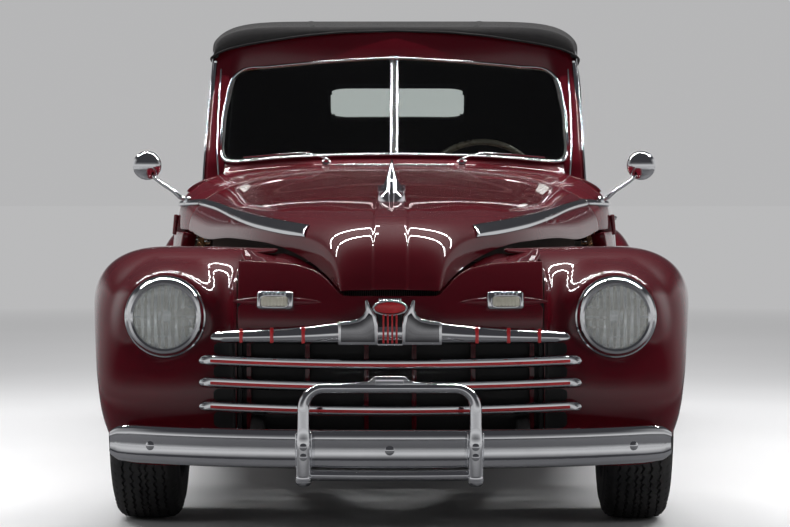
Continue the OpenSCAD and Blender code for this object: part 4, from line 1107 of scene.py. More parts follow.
@dataclass
class Studio:
    """Pale floor, soft light and the camera."""

    camera_at: Point = (0.073, -11.15, 1.091)
    yaw: float = 0.382
    pitch: float = 1.9275
    lens: float = 142.86
    clip: tuple[float, float] = (0.1, 200.0)
    floor_half: float = 60.0
    floor_reflection_shade: tuple[float, float] = (7.0, 4.2)
    floor_away: tuple[float, float] = (4.0, 12.0)
    pale: Point = (0.56, 0.56, 0.565)
    dark: Point = (0.045, 0.045, 0.05)
    tubes_across: tuple[float, ...] = (-3.9, -1.3, 1.3, 3.9)
    tubes_along: tuple[float, ...] = (-0.9, 0.2)
    tube_height: float = 4.6
    tube_size: tuple[float, float] = (2.3, 0.06)
    tube_power: float = 78.0

    def build(self) -> None:
        """Makes the camera, the floor, the lamps and the world."""
        scene = bpy.context.scene
        scene.view_settings.view_transform = "Standard"
        camera = bpy.data.objects.new("camera", bpy.data.cameras.new("camera"))
        scene.collection.objects.link(camera)
        camera.data.lens, camera.data.sensor_width = self.lens, 36
        camera.data.clip_start, camera.data.clip_end = self.clip
        camera.location = self.camera_at
        y, p = math.radians(self.yaw), math.radians(self.pitch)
        ahead = Vector((-math.sin(y) * math.cos(p), math.cos(y) * math.cos(p), -math.sin(p)))
        camera.rotation_euler = ahead.to_track_quat("-Z", "Y").to_euler()
        scene.camera = camera
        self.floor()
        self.world()
        self.lamps()

    def floor(self) -> None:
        """Plain pale floor that keeps the car's shadow; near the car glossy rays see it dark, as painted shade in the
        car's reflections.
        """
        h = self.floor_half * 1000
        floor = new_mesh("floor", [(-h, -h, 0), (h, -h, 0), (h, h, 0), (-h, h, 0)], [(0, 1, 2, 3)])
        mat = bpy.data.materials.new("pale_floor")
        mat.use_nodes = True
        b = Bench(mat.node_tree)
        mat.node_tree.nodes.clear()
        out, shader = b.add("OutputMaterial"), b.add("BsdfPrincipled", i_Roughness=0.55)
        coords = b.add("TexCoord").outputs["Object"]
        tone = DRIFT.use(b, Place=coords, Scale=0.5, One=(0.78, 0.78, 0.785, 1), Other=(0.74, 0.74, 0.745, 1))
        path = b.add("LightPath")
        away = b.add("VectorMath", operation="LENGTH", i_0=coords).outputs["Value"]
        # Glossy rays see the floor near the car dark: painted shade in the car's reflections.
        reflected_shade = b.math("MULTIPLY", path.outputs["Is Glossy Ray"], b.map(away, *self.floor_reflection_shade))
        toned = b.add("Mix", data_type="RGBA", i_0=reflected_shade, i_6=tone.outputs["Colour"], i_7=(0.09, 0.09, 0.095, 1))
        b.tree.links.new(toned.outputs[2], shader.inputs["Base Color"])
        shown = b.math("MAXIMUM", path.outputs["Is Glossy Ray"],
                       b.math("MAXIMUM", path.outputs["Is Camera Ray"], path.outputs["Is Transmission Ray"]))
        far = b.add("Emission", i_Color=(0.49, 0.49, 0.495, 1), i_Strength=1.0)
        mix = b.add("MixShader", i_0=b.math("MULTIPLY", b.map(away, *self.floor_away), shown), i_1=shader.outputs[0],
                    i_2=far.outputs[0])
        b.tree.links.new(mix.outputs[0], out.inputs[0])
        floor.data.materials.append(mat)

    def world(self) -> None:
        """Pale surroundings, bright to the lens and soft to the car."""
        world = bpy.data.worlds.new("studio")
        bpy.context.scene.world = world
        world.use_nodes = True
        b = Bench(world.node_tree)
        world.node_tree.nodes.clear()
        path = b.add("LightPath")
        ray = b.add("TexCoord").outputs["Generated"]
        split = b.add("SeparateXYZ", i_Vector=ray)
        pale, dark = self.pale, self.dark
        wall = b.map(b.math("ABSOLUTE", split.outputs["X"]), 0.35, 0.85)
        height = b.math("SUBTRACT", split.outputs["Z"], b.math("MULTIPLY", wall, 0.38))
        room = b.ramp(b.map(height, -0.5, 0.5), ((0.0, pale), (0.53, pale), (0.62, (0.12, 0.12, 0.125)),
                                                 (0.7, dark), (1.0, dark)))
        lit = b.math("MAXIMUM", b.map(split.outputs["Y"], -0.45, 0.2), path.outputs["Is Camera Ray"])
        front = b.ramp(b.map(split.outputs["Z"], -0.5, 0.5), ((0.0, pale), (0.54, pale),
                                                              (0.64, (0.14, 0.14, 0.145)), (0.75, dark),
                                                              (1.0, dark)))
        seen = b.add("Mix", data_type="RGBA", i_0=lit, i_6=front, i_7=room).outputs[2]
        seen = b.add("Mix", data_type="RGBA", i_0=path.outputs["Is Camera Ray"], i_6=seen,
                     i_7=(0.47, 0.47, 0.475, 1)).outputs[2]
        soft = b.add("Background", i_Color=(0.62, 0.62, 0.64, 1), i_Strength=0.27)
        bright = b.add("Background", i_Color=seen, i_Strength=1.0)
        shown = b.math("MAXIMUM", path.outputs["Is Camera Ray"],
                       b.math("MAXIMUM", path.outputs["Is Glossy Ray"], path.outputs["Is Transmission Ray"]))
        mix = b.add("MixShader", i_0=shown, i_1=soft.outputs[0], i_2=bright.outputs[0])
        out = b.add("OutputWorld")
        b.tree.links.new(mix.outputs[0], out.inputs[0])

    def lamps(self) -> None:
        """Overhead tubes, and three large soft panels that leave no highlight."""
        tubes = [((x, y, self.tube_height), (0, 0, -1), self.tube_size, self.tube_power)
                 for x in self.tubes_across for y in self.tubes_along]
        panels = [((-6.5, -6.0, 3.6), (0.62, 0.66, -0.34), (3.0, 3.0), 90.0),
                  ((6.5, -6.0, 3.6), (-0.62, 0.66, -0.34), (3.0, 3.0), 80.0),
                  ((0.0, 8.5, 4.6), (0, -0.8, -0.5), (5.0, 2.0), 150.0)]
        for k, (at, aim, size, power) in enumerate(tubes + panels):
            light = bpy.data.lights.new(f"lamp_{k}", "AREA")
            light.shape, light.size, light.size_y, light.energy = "RECTANGLE", size[0], size[1], power
            obj = bpy.data.objects.new(light.name, light)
            obj.location = at
            obj.rotation_euler = Vector(aim).to_track_quat("-Z", "Y").to_euler()
            obj.visible_glossy = k < len(tubes)
            bpy.context.scene.collection.objects.link(obj)


# ---------------------------------------------------------------- painted panels


def lines(low: float, high: float, count: int) -> np.ndarray:
    """Evenly spaced values from low to high."""
    return np.linspace(low, high, count)


@dataclass
class Hood:
    """Alligator hood with its prow, its spears and its ornament."""

    stations: int = 90
    across: int = 121
    rib_half: float = 50.0
    rib_height: float = 5.0
    rib_share: float = 0.2
    edge_angle: float = 88.0
    body: str = "hood"

    def grid(self) -> Grid:
        """Outer surface, from the prow back to the cowl."""
        keys = np.concatenate([lines(-2225, -1900, self.stations // 2), lines(-1885, -850, self.stations // 2)])
        t = lines(-1, 1, self.across)
        share = self.rib_share
        rows = []
        for k in keys:
            r = row_at(HOOD_ROWS, k)
            inner = angle_at_x(r, self.rib_half)
            phi = -np.sign(t) * np.where(np.abs(t) < share, np.abs(t) / share * inner,
                                         inner + (self.edge_angle - inner) * ((np.abs(t) - share) / (1 - share)))
            rows.append(arch(r, phi))
        return np.array(rows)

    def build(self) -> None:
        """Makes the panel with its prow rib, the trim and the inner brace."""
        grid = self.grid()
        n = normals_of(grid)
        x = np.abs(grid[..., 0])
        fade = smooth(-1700, -1990, grid[..., 1])
        rib = self.rib_height * smooth(self.rib_half + 3, self.rib_half - 5, x) * fade
        crown = 3.0 * smooth(26, 0, x) * smooth(-880, -1000, grid[..., 1]) * (1 - fade)
        grid = grid + n * (rib + crown)[..., None]
        settle(dress(panel("hood_panel", grid, 8, 2.5), PAINT), self.body, "maroon_paint", "hood")
        self.spears()
        self.ornament()
        self.brace()
        self.latch()

    def surface(self, key: float, phi: float, out: float = 0.0) -> np.ndarray:
        """Point of the hood at a station and an angle, set out from it."""
        r = row_at(HOOD_ROWS, key)
        p, q, s = arch(r, phi), arch(r, phi + 1), arch(row_at(HOOD_ROWS, key + 10), phi)
        n = np.cross(q - p, s - p)
        n /= np.linalg.norm(n)
        return p + n * out * (1 if n @ np.array([p[0], 0, 300]) > 0 else -1)

    def at(self, y: float, z: float, out: float = 0.0) -> np.ndarray:
        """Point of the hood's left side at a station and a height."""
        return self.surface(y, angle_at_z(row_at(HOOD_ROWS, y), z), out)

    def spears(self) -> None:
        """Long bright spears along the hood's shoulders."""
        def build(name: str) -> bpy.types.Object:
            """The left spear."""
            middle = spline([self.at(y, z) for y, z in (
                (-856, 946), (-1100, 934), (-1350, 920), (-1600, 905), (-1800, 891), (-1930, 882), (-2004, 877))], 80)
            t = lines(0, 1, len(middle))
            half = 8.0 + 8.0 * smooth(0.1, 0.9, t)
            rows = []
            for p, h, cut in zip(middle, half, smooth(0.93, 1.0, t)):
                low, high = self.at(p[1] - 20 * cut, p[2] - h), self.at(p[1] + 14 * cut, p[2] + h)
                out = np.cross(high - low, (0, -1, 0))
                out /= np.linalg.norm(out)
                v = lines(-1, 1, 11)[:, None]
                rows.append(low + (high - low) * (v + 1) / 2 + out * (0.6 + 5.5 * np.sqrt(np.maximum(1 - v**2, 0))))
            return panel(name, np.array(rows), 3, 0.4)
        for obj in both("hood_spear", build):
            settle(dress(obj, CHROME), self.body, "chrome")

    def ornament(self) -> None:
        """Bare bright ornament on the prow's crest: a ribbed fin over a rounded base."""
        def foot(y: float) -> float:
            """Height of the hood's middle at a station."""
            return float(row_at(HOOD_ROWS, y)[2])
        stations = np.array([(-1806, 3, 4), (-1800, 20, 14), (-1780, 38, 34), (-1755, 43, 48), (-1735, 40, 60),
                             (-1712, 26, 84), (-1690, 19, 102), (-1660, 13, 112), (-1600, 12, 104), (-1500, 10, 78),
                             (-1380, 7, 42), (-1290, 3, 8)], float)
        fine = np.stack([np.interp(lines(0, 11, 66), np.arange(12), stations[:, k]) for k in range(3)], 1)
        fine[2:-2] = (fine[:-4] + fine[1:-3] + fine[2:-2] + fine[3:-1] + fine[4:]) / 5
        a = lines(0, np.pi, 19)
        rings = [[(-w * math.cos(t) * (1 - 0.28 * math.sin(t) ** 3), y, foot(y) - 4 + (h + 4) * math.sin(t) ** 0.85)
                  for t in a] for y, w, h in fine]
        fin = loft("ornament_fin", np.array(rings), 60)
        ribs = REPEAT.make("ornament_ribs", tooth("ornament_tooth", 8.0, 20.0, 16.0), 9, CHROME, step=(9.4, 0, 0),
                           place=place_moved((-37.6, -1772, foot(-1772) + 26), (-24, 0, 0)))
        stem = tube("ornament_stem",
                    spline([(0, -1812, foot(-1812) + 1), (0, -1800, foot(-1800) + 20), (0, -1768, foot(-1768) + 52)],
                           16),
                    oval(11, 7, 14), up=(0, -1, 0), scale=lines(0.7, 1, 16))
        piece = join("hood_ornament", [dress(fin, CHROME), dress(stem, CHROME), ribs])
        settle(piece, self.body, "chrome")

    def brace(self) -> None:
        """Pressed brace and black lining under the hood."""
        grid = self.grid()[8:-6:2, 14:-14:2]
        n = normals_of(grid)
        x, y = grid[..., 0], grid[..., 1]
        hollow = 5 * (np.cos(np.clip(np.abs(x) / 60, 0, 3) * np.pi / 1.5) ** 2) * smooth(-2080, -1990, y)
        inner = grid - n * (13 + hollow)[..., None]
        settle(dress(panel("hood_lining", inner[:, ::-1], 2, 0), BLACK_AND_SHADE), self.body, "maroon_paint")

    def latch(self) -> None:
        """Striker pin and safety catch at the hood's nose."""
        pin = lathe("latch_pin", [(0, -60), (5, -58), (7, -50), (7, -8), (16, -6), (16, 0), (0, 0)],
                    place_at((0, -2150, 800), (0, 0, 1)), 20)
        settle(dress(pin, STEEL), self.body, "steel")


def tooth(name: str, width: float, height: float, depth: float) -> bpy.types.Object:
    """Small rounded upright, its foot on the origin."""
    return block(name, ((-width / 2 * 0.8, -depth / 2, 0), (width / 2 * 0.8, depth / 2, height)), 1.4, 2)


def place_moved(origin: Point, turn: Point) -> Matrix:
    """Place at an origin in millimetres, turned by Euler angles in degrees."""
    about_x, about_y, about_z = (Matrix.Rotation(math.radians(a), 4, axis) for a, axis in zip(turn, "XYZ"))
    m = about_z @ about_y @ about_x
    m.translation = Vector(origin)
    return m


@dataclass
class Cowl:
    """Cowl with its sides, the scuttle under the windshield and the air vent."""

    wall: float = 45.0

    def top_grid(self) -> Grid:
        """Surface from the hood's rear edge up to the windshield's foot."""
        phi = -lines(-88, 88, 97)
        return np.array([arch(row_at(COWL_ROWS, k), phi) for k in lines(-844, -655, 26)])

    def build(self) -> None:
        """Makes the top, the scuttle, both sides and the vent."""
        grid = self.top_grid()
        n = normals_of(grid)
        x, y = grid[..., 0], grid[..., 1]
        vent = smooth(212, 200, np.abs(x)) * smooth(-826, -818, y) * smooth(-748, -756, y)
        grid = grid + n * (-2.5 * vent)[..., None]
        top = panel("cowl_top", grid, 10, 2.5)
        phi = -lines(-84, 84, 97)
        scuttle = panel("cowl_scuttle", np.array([arch(row_at(SCUTTLE_ROWS, k), phi) for k in lines(-657, -600, 10)]),
                        10, 2)
        sides = pair("cowl_sides", lambda name: panel(name, self.side_grid(), self.wall, 3))
        base = panel("windshield_base", self.base_grid(), 12, 2.5)
        settle(dress(join("cowl_panels", [top, scuttle, sides, base]), PAINT), ROOT, "maroon_paint", "cowl")
        settle(dress(pair("cowl_strip", self.strip), CHROME), ROOT, "chrome")
        self.vent()

    @staticmethod
    def base_grid() -> Grid:
        """Raised base from the cowl up to the windshield's bright foot."""
        x = lines(572, -572, 111)
        y, z = (np.interp(np.abs(x), FOOT_LINE[:7, 0], FOOT_LINE[:7, k]) for k in (1, 2))
        floor = []
        for a, b in zip(x, y):
            r = row_at(COWL_ROWS, min(b - 34, -657))
            floor.append(arch(r, angle_at_x(r, a))[2] - 3)
        f = lines(0, 1, 9)[:, None]
        return np.stack([np.repeat(x[None], 9, 0), y + 6 - 40 * (1 - f) ** 1.6,
                         floor + (z - 2 - np.array(floor)) * f ** 0.8], -1)

    @staticmethod
    def strip(name: str) -> bpy.types.Object:
        """Bright moulding from the hood's spear to the door's."""
        rows = []
        for y, z in zip(lines(-842, -652, 12), lines(946, 938, 12)):
            r = row_at(COWL_ROWS, y)
            low, high = (arch(r, angle_at_z(r, z + s * 8)) for s in (-1, 1))
            v = lines(-1, 1, 9)[:, None]
            swell = np.array([5.0, 0, 1.0]) * np.sqrt(1 - v**2)
            rows.append(low + (high - low) * (v + 1) / 2 + np.array([0.8, 0, 0]) + swell)
        return panel(name, np.array(rows)[:, ::-1], 3, 0.4)

    def side_grid(self) -> Grid:
        """Left side ahead of the door."""
        keys = lines(HOOD_REAR + PANEL_GAP, DOOR_FRONT - PANEL_GAP - 4, 12)
        rows = [row_at(HULL_ROWS, k) for k in keys]
        return np.array([arch(r, np.array([angle_at_z(r, z) for z in lines(SILL_Z + 20, 848, 34)])) for r in rows])

    def vent(self) -> None:
        """Cowl vent with its louvres."""
        r = row_at(COWL_ROWS, -786)
        frame = tube("vent_frame", straight([(-196, -818, r[2] + 1), (196, -818, r[2] + 1), (196, -756, r[2] + 3),
                                             (-196, -756, r[2] + 3)], 40)[:-1], oval(2.2, 1.8, 8), closed=True)
        slat = block("vent_slat", ((-1.2, -28, -2), (1.2, 28, 2)), 0.8)
        slats = REPEAT.make("vent_slats", slat, 49, STAINLESS, step=(8, 0, 0),
                            place=place_moved((-192, -787, r[2] + 1), (4, 0, 0)))
        settle(join("cowl_vent", [dress(frame, STAINLESS), slats]), ROOT, "steel")


def lamp_matrix(side: int = 1) -> Matrix:
    """Place of a headlamp, its Z axis leaving forward."""
    m = Matrix.Rotation(math.radians(4 * side), 4, "Z") @ Matrix.Rotation(math.radians(90), 4, "X")
    m.translation = Vector((LAMP[0] * side, LAMP[1], LAMP[2]))
    return m


@dataclass
class FrontFender:
    """Front fenders that flow into the headlamps."""

    around: int = 120
    across: int = 78

    def grid(self) -> Grid:
        """Outer surface of the left fender, with its lamp's seat raised."""
        v = lines(1, -1, self.across)
        keys = lines(-106, 94, self.around)
        grid = np.array([fender_points(row_at(FRONT_FENDER_ROWS, k), v, FRONT_Y) for k in keys])
        m = np.array(lamp_matrix())
        local = (grid - m[:3, 3]) @ m[:3, :3]
        d = np.hypot(local[..., 0], local[..., 1])
        ahead = local[..., 2] > -160
        lift = np.where(ahead, smooth(176, LAMP_R - 4, d), 0)
        local[..., 2] += np.maximum(-8 - local[..., 2], 0) * lift
        sink = np.where(ahead, smooth(LAMP_R + 40, LAMP_R, d), 0)
        local[..., 2] -= np.maximum(local[..., 2] + 6, 0) * sink
        return local @ m[:3, :3].T + m[:3, 3]

    def build(self) -> None:
        """Makes both fenders with a hole behind each lamp."""
        grid = self.grid()
        m = np.array(lamp_matrix())
        middle = middles(grid)
        local = (middle - m[:3, 3]) @ m[:3, :3]
        hole = (np.hypot(local[..., 0], local[..., 1]) < LAMP_R - 14) & (local[..., 2] > -120)
        hull_x = self.hull_side(middle)
        x, y = middle[..., 0], middle[..., 1]
        keep = ~hole & ~((x < hull_x - 30) & (y > -1150)) & ~((x < 430) & (y > -2118) & (y < -1955))
        for side, obj in zip(("left", "right"),
                             both("front_fender_panel", lambda name: panel(name, grid, 7, 2.5, keep))):
            settle(dress(obj, PAINT), ROOT, "maroon_paint", f"front_fender_{side}")

    @staticmethod
    def hull_side(points: Grid) -> np.ndarray:
        """Half width of the body beside each point."""
        y = np.clip(points[..., 1], -900, 2400)
        return np.interp(y, HULL_ROWS[:5, 1], HULL_ROWS[:5, 3])


@dataclass
class RearFender:
    """Rear fenders with their stone guards."""

    around: int = 90
    across: int = 58

    def grid(self) -> Grid:
        """Outer surface of the left fender."""
        v = lines(1, -1, self.across)
        return np.array([fender_points(row_at(REAR_FENDER_ROWS, k), v, REAR_Y) for k in lines(-100, 96, self.around)])

    def build(self) -> None:
        """Makes both fenders and their guards."""
        grid = self.grid()
        middle = middles(grid)
        y = middle[..., 1]
        width = np.interp(y, HULL_ROWS[:, 1], HULL_ROWS[:, 3])
        keep = middle[..., 0] > width - 60
        for side, obj in zip(("left", "right"),
                             both("rear_fender_panel", lambda name: panel(name, grid, 7, 2.5, keep))):
            settle(dress(obj, PAINT), ROOT, "maroon_paint", f"rear_fender_{side}")
        for obj in both("stone_guard", self.guard):
            settle(dress(obj, STAINLESS), ROOT, "steel")

    def guard(self, name: str) -> bpy.types.Object:
        """Bright stone guard on the fender's leading edge."""
        v = lines(0.98, 0.45, 22)
        grid = np.array([fender_points(row_at(REAR_FENDER_ROWS, k), v, REAR_Y) for k in lines(-96, -60, 26)])
        return panel(name, grid + normals_of(grid) * 1.6, 1.2, 0.6)


@dataclass
class Nose:
    """Panel between the fenders, over and under the grille."""

    half: float = 437.0

    def grid(self, low: float, high: float | None, rows: int) -> Grid:
        """Part of the nose between two heights, the upper one under the hood when high is None."""
        x = lines(self.half, -self.half, 91)
        top = nose_top(x) if high is None else np.full_like(x, high)
        out = []
        for f in lines(0, 1, rows):
            z = low + (top - low) * f
            out.append(np.stack([x, nose_y(x, z), z], 1))
        return np.array(out)

    def build(self) -> None:
        """Makes the nose's upper and lower parts, and the black sheet and cheeks painted as the shade behind the
        grille.
        """
        upper = self.grid(572, None, 34)
        x = upper[..., 0]
        crown = 7 * smooth(170, 0, np.abs(x)) * smooth(640, 700, upper[..., 2])
        upper[..., 1] -= crown
        pieces = [panel("nose_upper", upper, 8, 2.5), panel("nose_lower", self.grid(250, 316, 18), 8, 2.5)]
        # Black cheeks and back sheet behind the grille: painted shade of the recess.
        cheeks = [block(f"nose_cheek_{s}",
                        ((s * (self.half - 7) - 7, NOSE_FRONT + 62, 250),
                         (s * (self.half - 7) + 7, NOSE_FRONT + 94, 680)), 2)
                  for s in (-1, 1)]
        pieces.append(pair("nose_apron", lambda name: panel(name, self.apron(), 8, 2.5)))
        settle(dress(join("nose_panels", pieces), PAINT), ROOT, "maroon_paint", "nose_panel")
        back = panel("grille_back",
                     np.array([[(s * 438, NOSE_FRONT + 96 - 20 * (1 - s * s), z) for s in lines(1, -1, 24)]
                                              for z in lines(306, 640, 8)]), 2, 0)
        settle(dress(join("grille_back", [back, *cheeks]), BLACK_AND_SHADE), ROOT, "chassis_black")

    @staticmethod
    def apron(rows: int = 44, across: int = 22) -> Grid:
        """Panel from the nose and the fender up to the hood's edge, on the left."""
        inner, outer = apron_lines()
        k = lines(0, 5, rows)
        a, b = (np.stack([np.interp(k, np.arange(6),
                                    np.convolve(np.pad(line[:, i], 1, mode="edge"), (0.12, 0.76, 0.12), "valid"))
                          for i in range(3)], 1) for line in (inner, outer))
        f = lines(0, 1, across)[None, :, None]
        grid = b[:, None] + f * (a - b)[:, None]
        grid[..., 2] -= 16 * (f * (1 - f))[..., 0] * np.minimum(k, 2)[:, None]
        return grid


@dataclass
class RearBody:
    """Quarters, deck and tail behind the doors."""

    wall: float = 45.0

    def build(self) -> None:
        """Makes the quarters, the shelf before the lid, the sides of the lid's opening and the tail."""
        pieces = [pair("quarters",
                       lambda name: panel(name, self.quarter(), self.wall, 3, self.arch_cut(self.quarter())))]
        pieces.append(pair("deck_sides",
                           lambda name: panel(name, self.deck_side(), 20, 2.5, self.arch_cut(self.deck_side()))))
        pieces.append(panel("shelf", self.over(lines(1241, LID_FRONT - PANEL_GAP - 3, 14), 56, 81), 20, 2.5))
        pieces.append(panel("tail", self.over(lines(2330, 2500, 18), 89, 91), 20, 2.5))
        settle(dress(join("rear_body_panels", pieces), PAINT), ROOT, "maroon_paint", "rear_body")
        wall = block("seat_bulkhead", ((-590, 1206, 536), (590, 1230, 1006)), 3)
        settle(dress(wall, BLACK_AND_SHADE), ROOT, "chassis_black")

    @staticmethod
    def over(keys: np.ndarray, phi: float, count: int) -> Grid:
        """Surface right over the car between two angles."""
        return np.array([arch(row_at(HULL_ROWS, k), lines(phi, -phi, count)) for k in keys])

    @staticmethod
    def quarter() -> Grid:
        """Left quarter from the door to the end of the cabin."""
        rows = [row_at(HULL_ROWS, k) for k in lines(DOOR_REAR + PANEL_GAP, 1240, 42)]
        return np.array([arch(r, np.array([angle_at_z(r, z) for z in lines(SILL_Z + 20, BELT_Z + 8, 42)]))
                         for r in rows])

    @staticmethod
    def deck_side() -> Grid:
        """Left side beside the trunk lid."""
        out = []
        edge = LID_FRONT - PANEL_GAP
        for k in np.concatenate([lines(1240, edge - 1, 12), lines(edge, 2340, 64)]):
            r = row_at(HULL_ROWS, k)
            top = 56 if k < edge else angle_at_x(r, LID_HALF + PANEL_GAP + 4)
            out.append(arch(r, lines(89, top, 44)))
        return np.array(out)

    @staticmethod
    def arch_cut(grid: Grid) -> np.ndarray:
        """Cells that stay outside the wheel's opening."""
        mid = middles(grid)
        out = np.hypot(mid[..., 1] - REAR_Y, mid[..., 2] - AXLE_Z) > ARCH_RADIUS
        return out & ~((np.abs(mid[..., 1] - REAR_Y) < ARCH_HALF) & (mid[..., 2] < AXLE_Z))


@dataclass
class TrunkLid:
    """Trunk lid with its handle, hinges and lining."""

    body: str = "trunk_lid"
    handle_row: int = 96
    hinge_column: int = 20

    def build(self) -> None:
        """Makes the lid and what it carries."""
        rows = [row_at(HULL_ROWS, k) for k in lines(LID_FRONT, 2318, 110)]
        grid = np.array([arch(r, lines(angle_at_x(r, LID_HALF), -angle_at_x(r, LID_HALF), 91)) for r in rows])
        settle(dress(panel("trunk_lid_panel", grid, 20, 3), PAINT), self.body, "maroon_paint", "trunk_lid")
        n = normals_of(grid)
        lining = grid[4:-4:3, 6:-6:3] - n[4:-4:3, 6:-6:3] * 23
        settle(dress(panel("trunk_lid_lining", lining, 2, 0), BLACK_AND_SHADE), self.body, "maroon_paint")
        self.handle(grid, n)
        for obj in both("trunk_hinge", lambda name: self.hinge(name, grid, n)):
            settle(dress(obj, CHROME), self.body, "chrome")

    def handle(self, grid: Grid, n: np.ndarray) -> None:
        """Bright handle with its escutcheon near the lid's lower edge."""
        i, j = self.handle_row, grid.shape[1] // 2
        p, out = grid[i, j], n[i, j]
        plate = lathe("handle_plate", [(0, 7), (16, 6), (21, 2), (22, -2)], place_at(p, out), 32)
        bar = tube("handle_bar", spline([p + out * 6, p + out * 24, p + out * 30 + np.array([0, 4, 26]),
                                         p + out * 26 + np.array([0, 12, 64])], 24),
                   oval(9, 6, 14), up=(1, 0, 0), scale=lines(1, 0.7, 24))
        settle(dress(join("trunk_handle", [plate, bar]), CHROME), self.body, "chrome")

    def hinge(self, name: str, grid: Grid, n: np.ndarray) -> bpy.types.Object:
        """Pod of a lid hinge at the front edge."""
        j = self.hinge_column
        line = np.array([grid[i, j] + n[i, j] * 3 for i in range(1, 14)])
        return tube(name, line, oval(13, 7, 14), up=(0, 0, 1),
                    scale=0.25 + 0.75 * np.sin(np.pi * lines(0.12, 0.88, 13)))


@dataclass
class Doors:
    """Doors with their handles, hinges, belt moulding and inner trim."""

    front: float = DOOR_FRONT
    rear: float = DOOR_REAR
    wall: float = 62.0

    def grid(self) -> Grid:
        """Outer surface of the left door."""
        rows = [row_at(HULL_ROWS, k) for k in lines(self.front, self.rear, 90)]
        return np.array([arch(r, np.array([angle_at_z(r, z) for z in lines(SILL_Z + 4, BELT_Z, 60)])) for r in rows])

    def point(self, y: float, z: float, out: float = 0.0) -> np.ndarray:
        """Point of the left door's skin at a station and a height, set out from it."""
        r = row_at(HULL_ROWS, y)
        return arch(r, angle_at_z(r, z)) + np.array([out, 0, 0])

    def build(self) -> None:
        """Makes both doors and what they carry."""
        makers = (("door_panel", lambda name: panel(name, self.grid(), self.wall, 4), PAINT, "maroon_paint"),
                  ("door_trim", self.trim, LEATHER, "leather"), ("door_handle", self.handle, CHROME, "chrome"),
                  ("door_hinges", self.hinges, PAINT, "maroon_paint"), ("belt_strip", self.strip, CHROME, "chrome"),
                  ("door_pull", self.pull, CHROME, "chrome"), ("rocker_strip", self.rocker, STAINLESS, "steel"))
        for what, build, finish, slot in makers:
            for side, obj in zip(("left", "right"), both(what, build)):
                stands_for = [f"door_{side}"] if what == "door_panel" else []
                settle(dress(obj, finish), f"door_{side}", slot, *stands_for)

    def strip(self, name: str) -> bpy.types.Object:
        """Bright moulding along the belt."""
        path = spline([self.point(y, 934, 1.5) for y in lines(self.front + 10, self.rear - 8, 12)], 60)
        return tube(name, path, oval(4.5, 9, 12, 2.6))

    def rocker(self, name: str) -> bpy.types.Object:
        """Moulding along the door's foot."""
        path = spline([self.point(y, SILL_Z + 34, 1.0) for y in lines(self.front + 30, self.rear - 30, 12)], 60)
        return tube(name, path, oval(3.5, 8, 12, 2.6))

    def trim(self, name: str) -> bpy.types.Object:
        """Inner trim pad with its sewn channels."""
        rows = [row_at(HULL_ROWS, k) for k in lines(self.front + 70, self.rear - 40, 80)]
        grid = np.array([arch(r, np.array([angle_at_z(r, z) for z in lines(400, 930, 40)])) for r in rows])
        height = grid[..., 2]
        channels = np.abs(np.sin(lines(0, 9 * np.pi, 80)))[:, None]
        swell = 2.5 * channels * smooth(430, 460, height) * smooth(820, 790, height)
        inner = grid[:, ::-1].copy()
        inner[..., 0] -= self.wall + 3 + swell[:, ::-1]
        return panel(name, inner, 2, 0.8)

    def handle(self, name: str) -> bpy.types.Object:
        """Outside handle, a curved lever on its escutcheon."""
        foot = self.point(self.rear - 90, 872)
        plate = lathe(f"{name}_plate", [(0, 8), (12, 7), (17, 3), (18, -3)], place_at(foot, (1, 0, 0)), 32)
        lever = tube(f"{name}_lever", spline([foot + (6, 0, 0), foot + (30, 0, 0), foot + (38, -18, -1),
                                              foot + (38, -70, -4), foot + (34, -118, -6)], 36), oval(10, 6.5, 14),
                                              up=(0, 0, 1), scale=lines(1, 0.62, 36))
        return join(name, [plate, lever])

    def hinges(self, name: str) -> bpy.types.Object:
        """Three exposed hinge barrels at the front edge."""
        knuckles = []
        for z in (395, 640, 868):
            p = self.point(self.front + 6, z, 4)
            knuckles.append(lathe(f"{name}_{z}", [(0, 34), (5, 34), (8, 31), (8, 11), (7, 10), (8, 9), (8, -9),
                                                  (7, -10), (8, -11), (8, -31), (5, -34), (0, -34)],
                                                  place_at(p, (-0.0929, 0, 0.9957)), 24))
        return join(name, knuckles)

    def pull(self, name: str) -> bpy.types.Object:
        """Window winder and inner door lever."""
        out = []
        for y, z, reach in ((-120, 800, 92), (140, 820, 70)):
            p = self.point(y, z) - np.array([self.wall + 6, 0, 0])
            boss = lathe(f"{name}_{y}", [(0, 12), (14, 10), (18, 2), (18, -2)], place_at(p, (-1, 0, 0)), 24)
            arm = tube(f"{name}_arm_{y}",
                       spline([p + (-10, 0, 0), p + (-16, reach * 0.3, -10), p + (-16, reach, -34)], 16),
                       oval(6, 3.5, 10), up=(1, 0, 0))
            knob = lathe(f"{name}_knob_{y}", [(0, 26), (8, 24), (11, 14), (7, 4), (6, 0), (0, 0)],
                         place_at(p + (-14, reach - 4, -34), (-1, 0, 0)), 20)
            out += [boss, arm, knob]
        return join(name, out)


# ---------------------------------------------------------------- top, glass and windshield


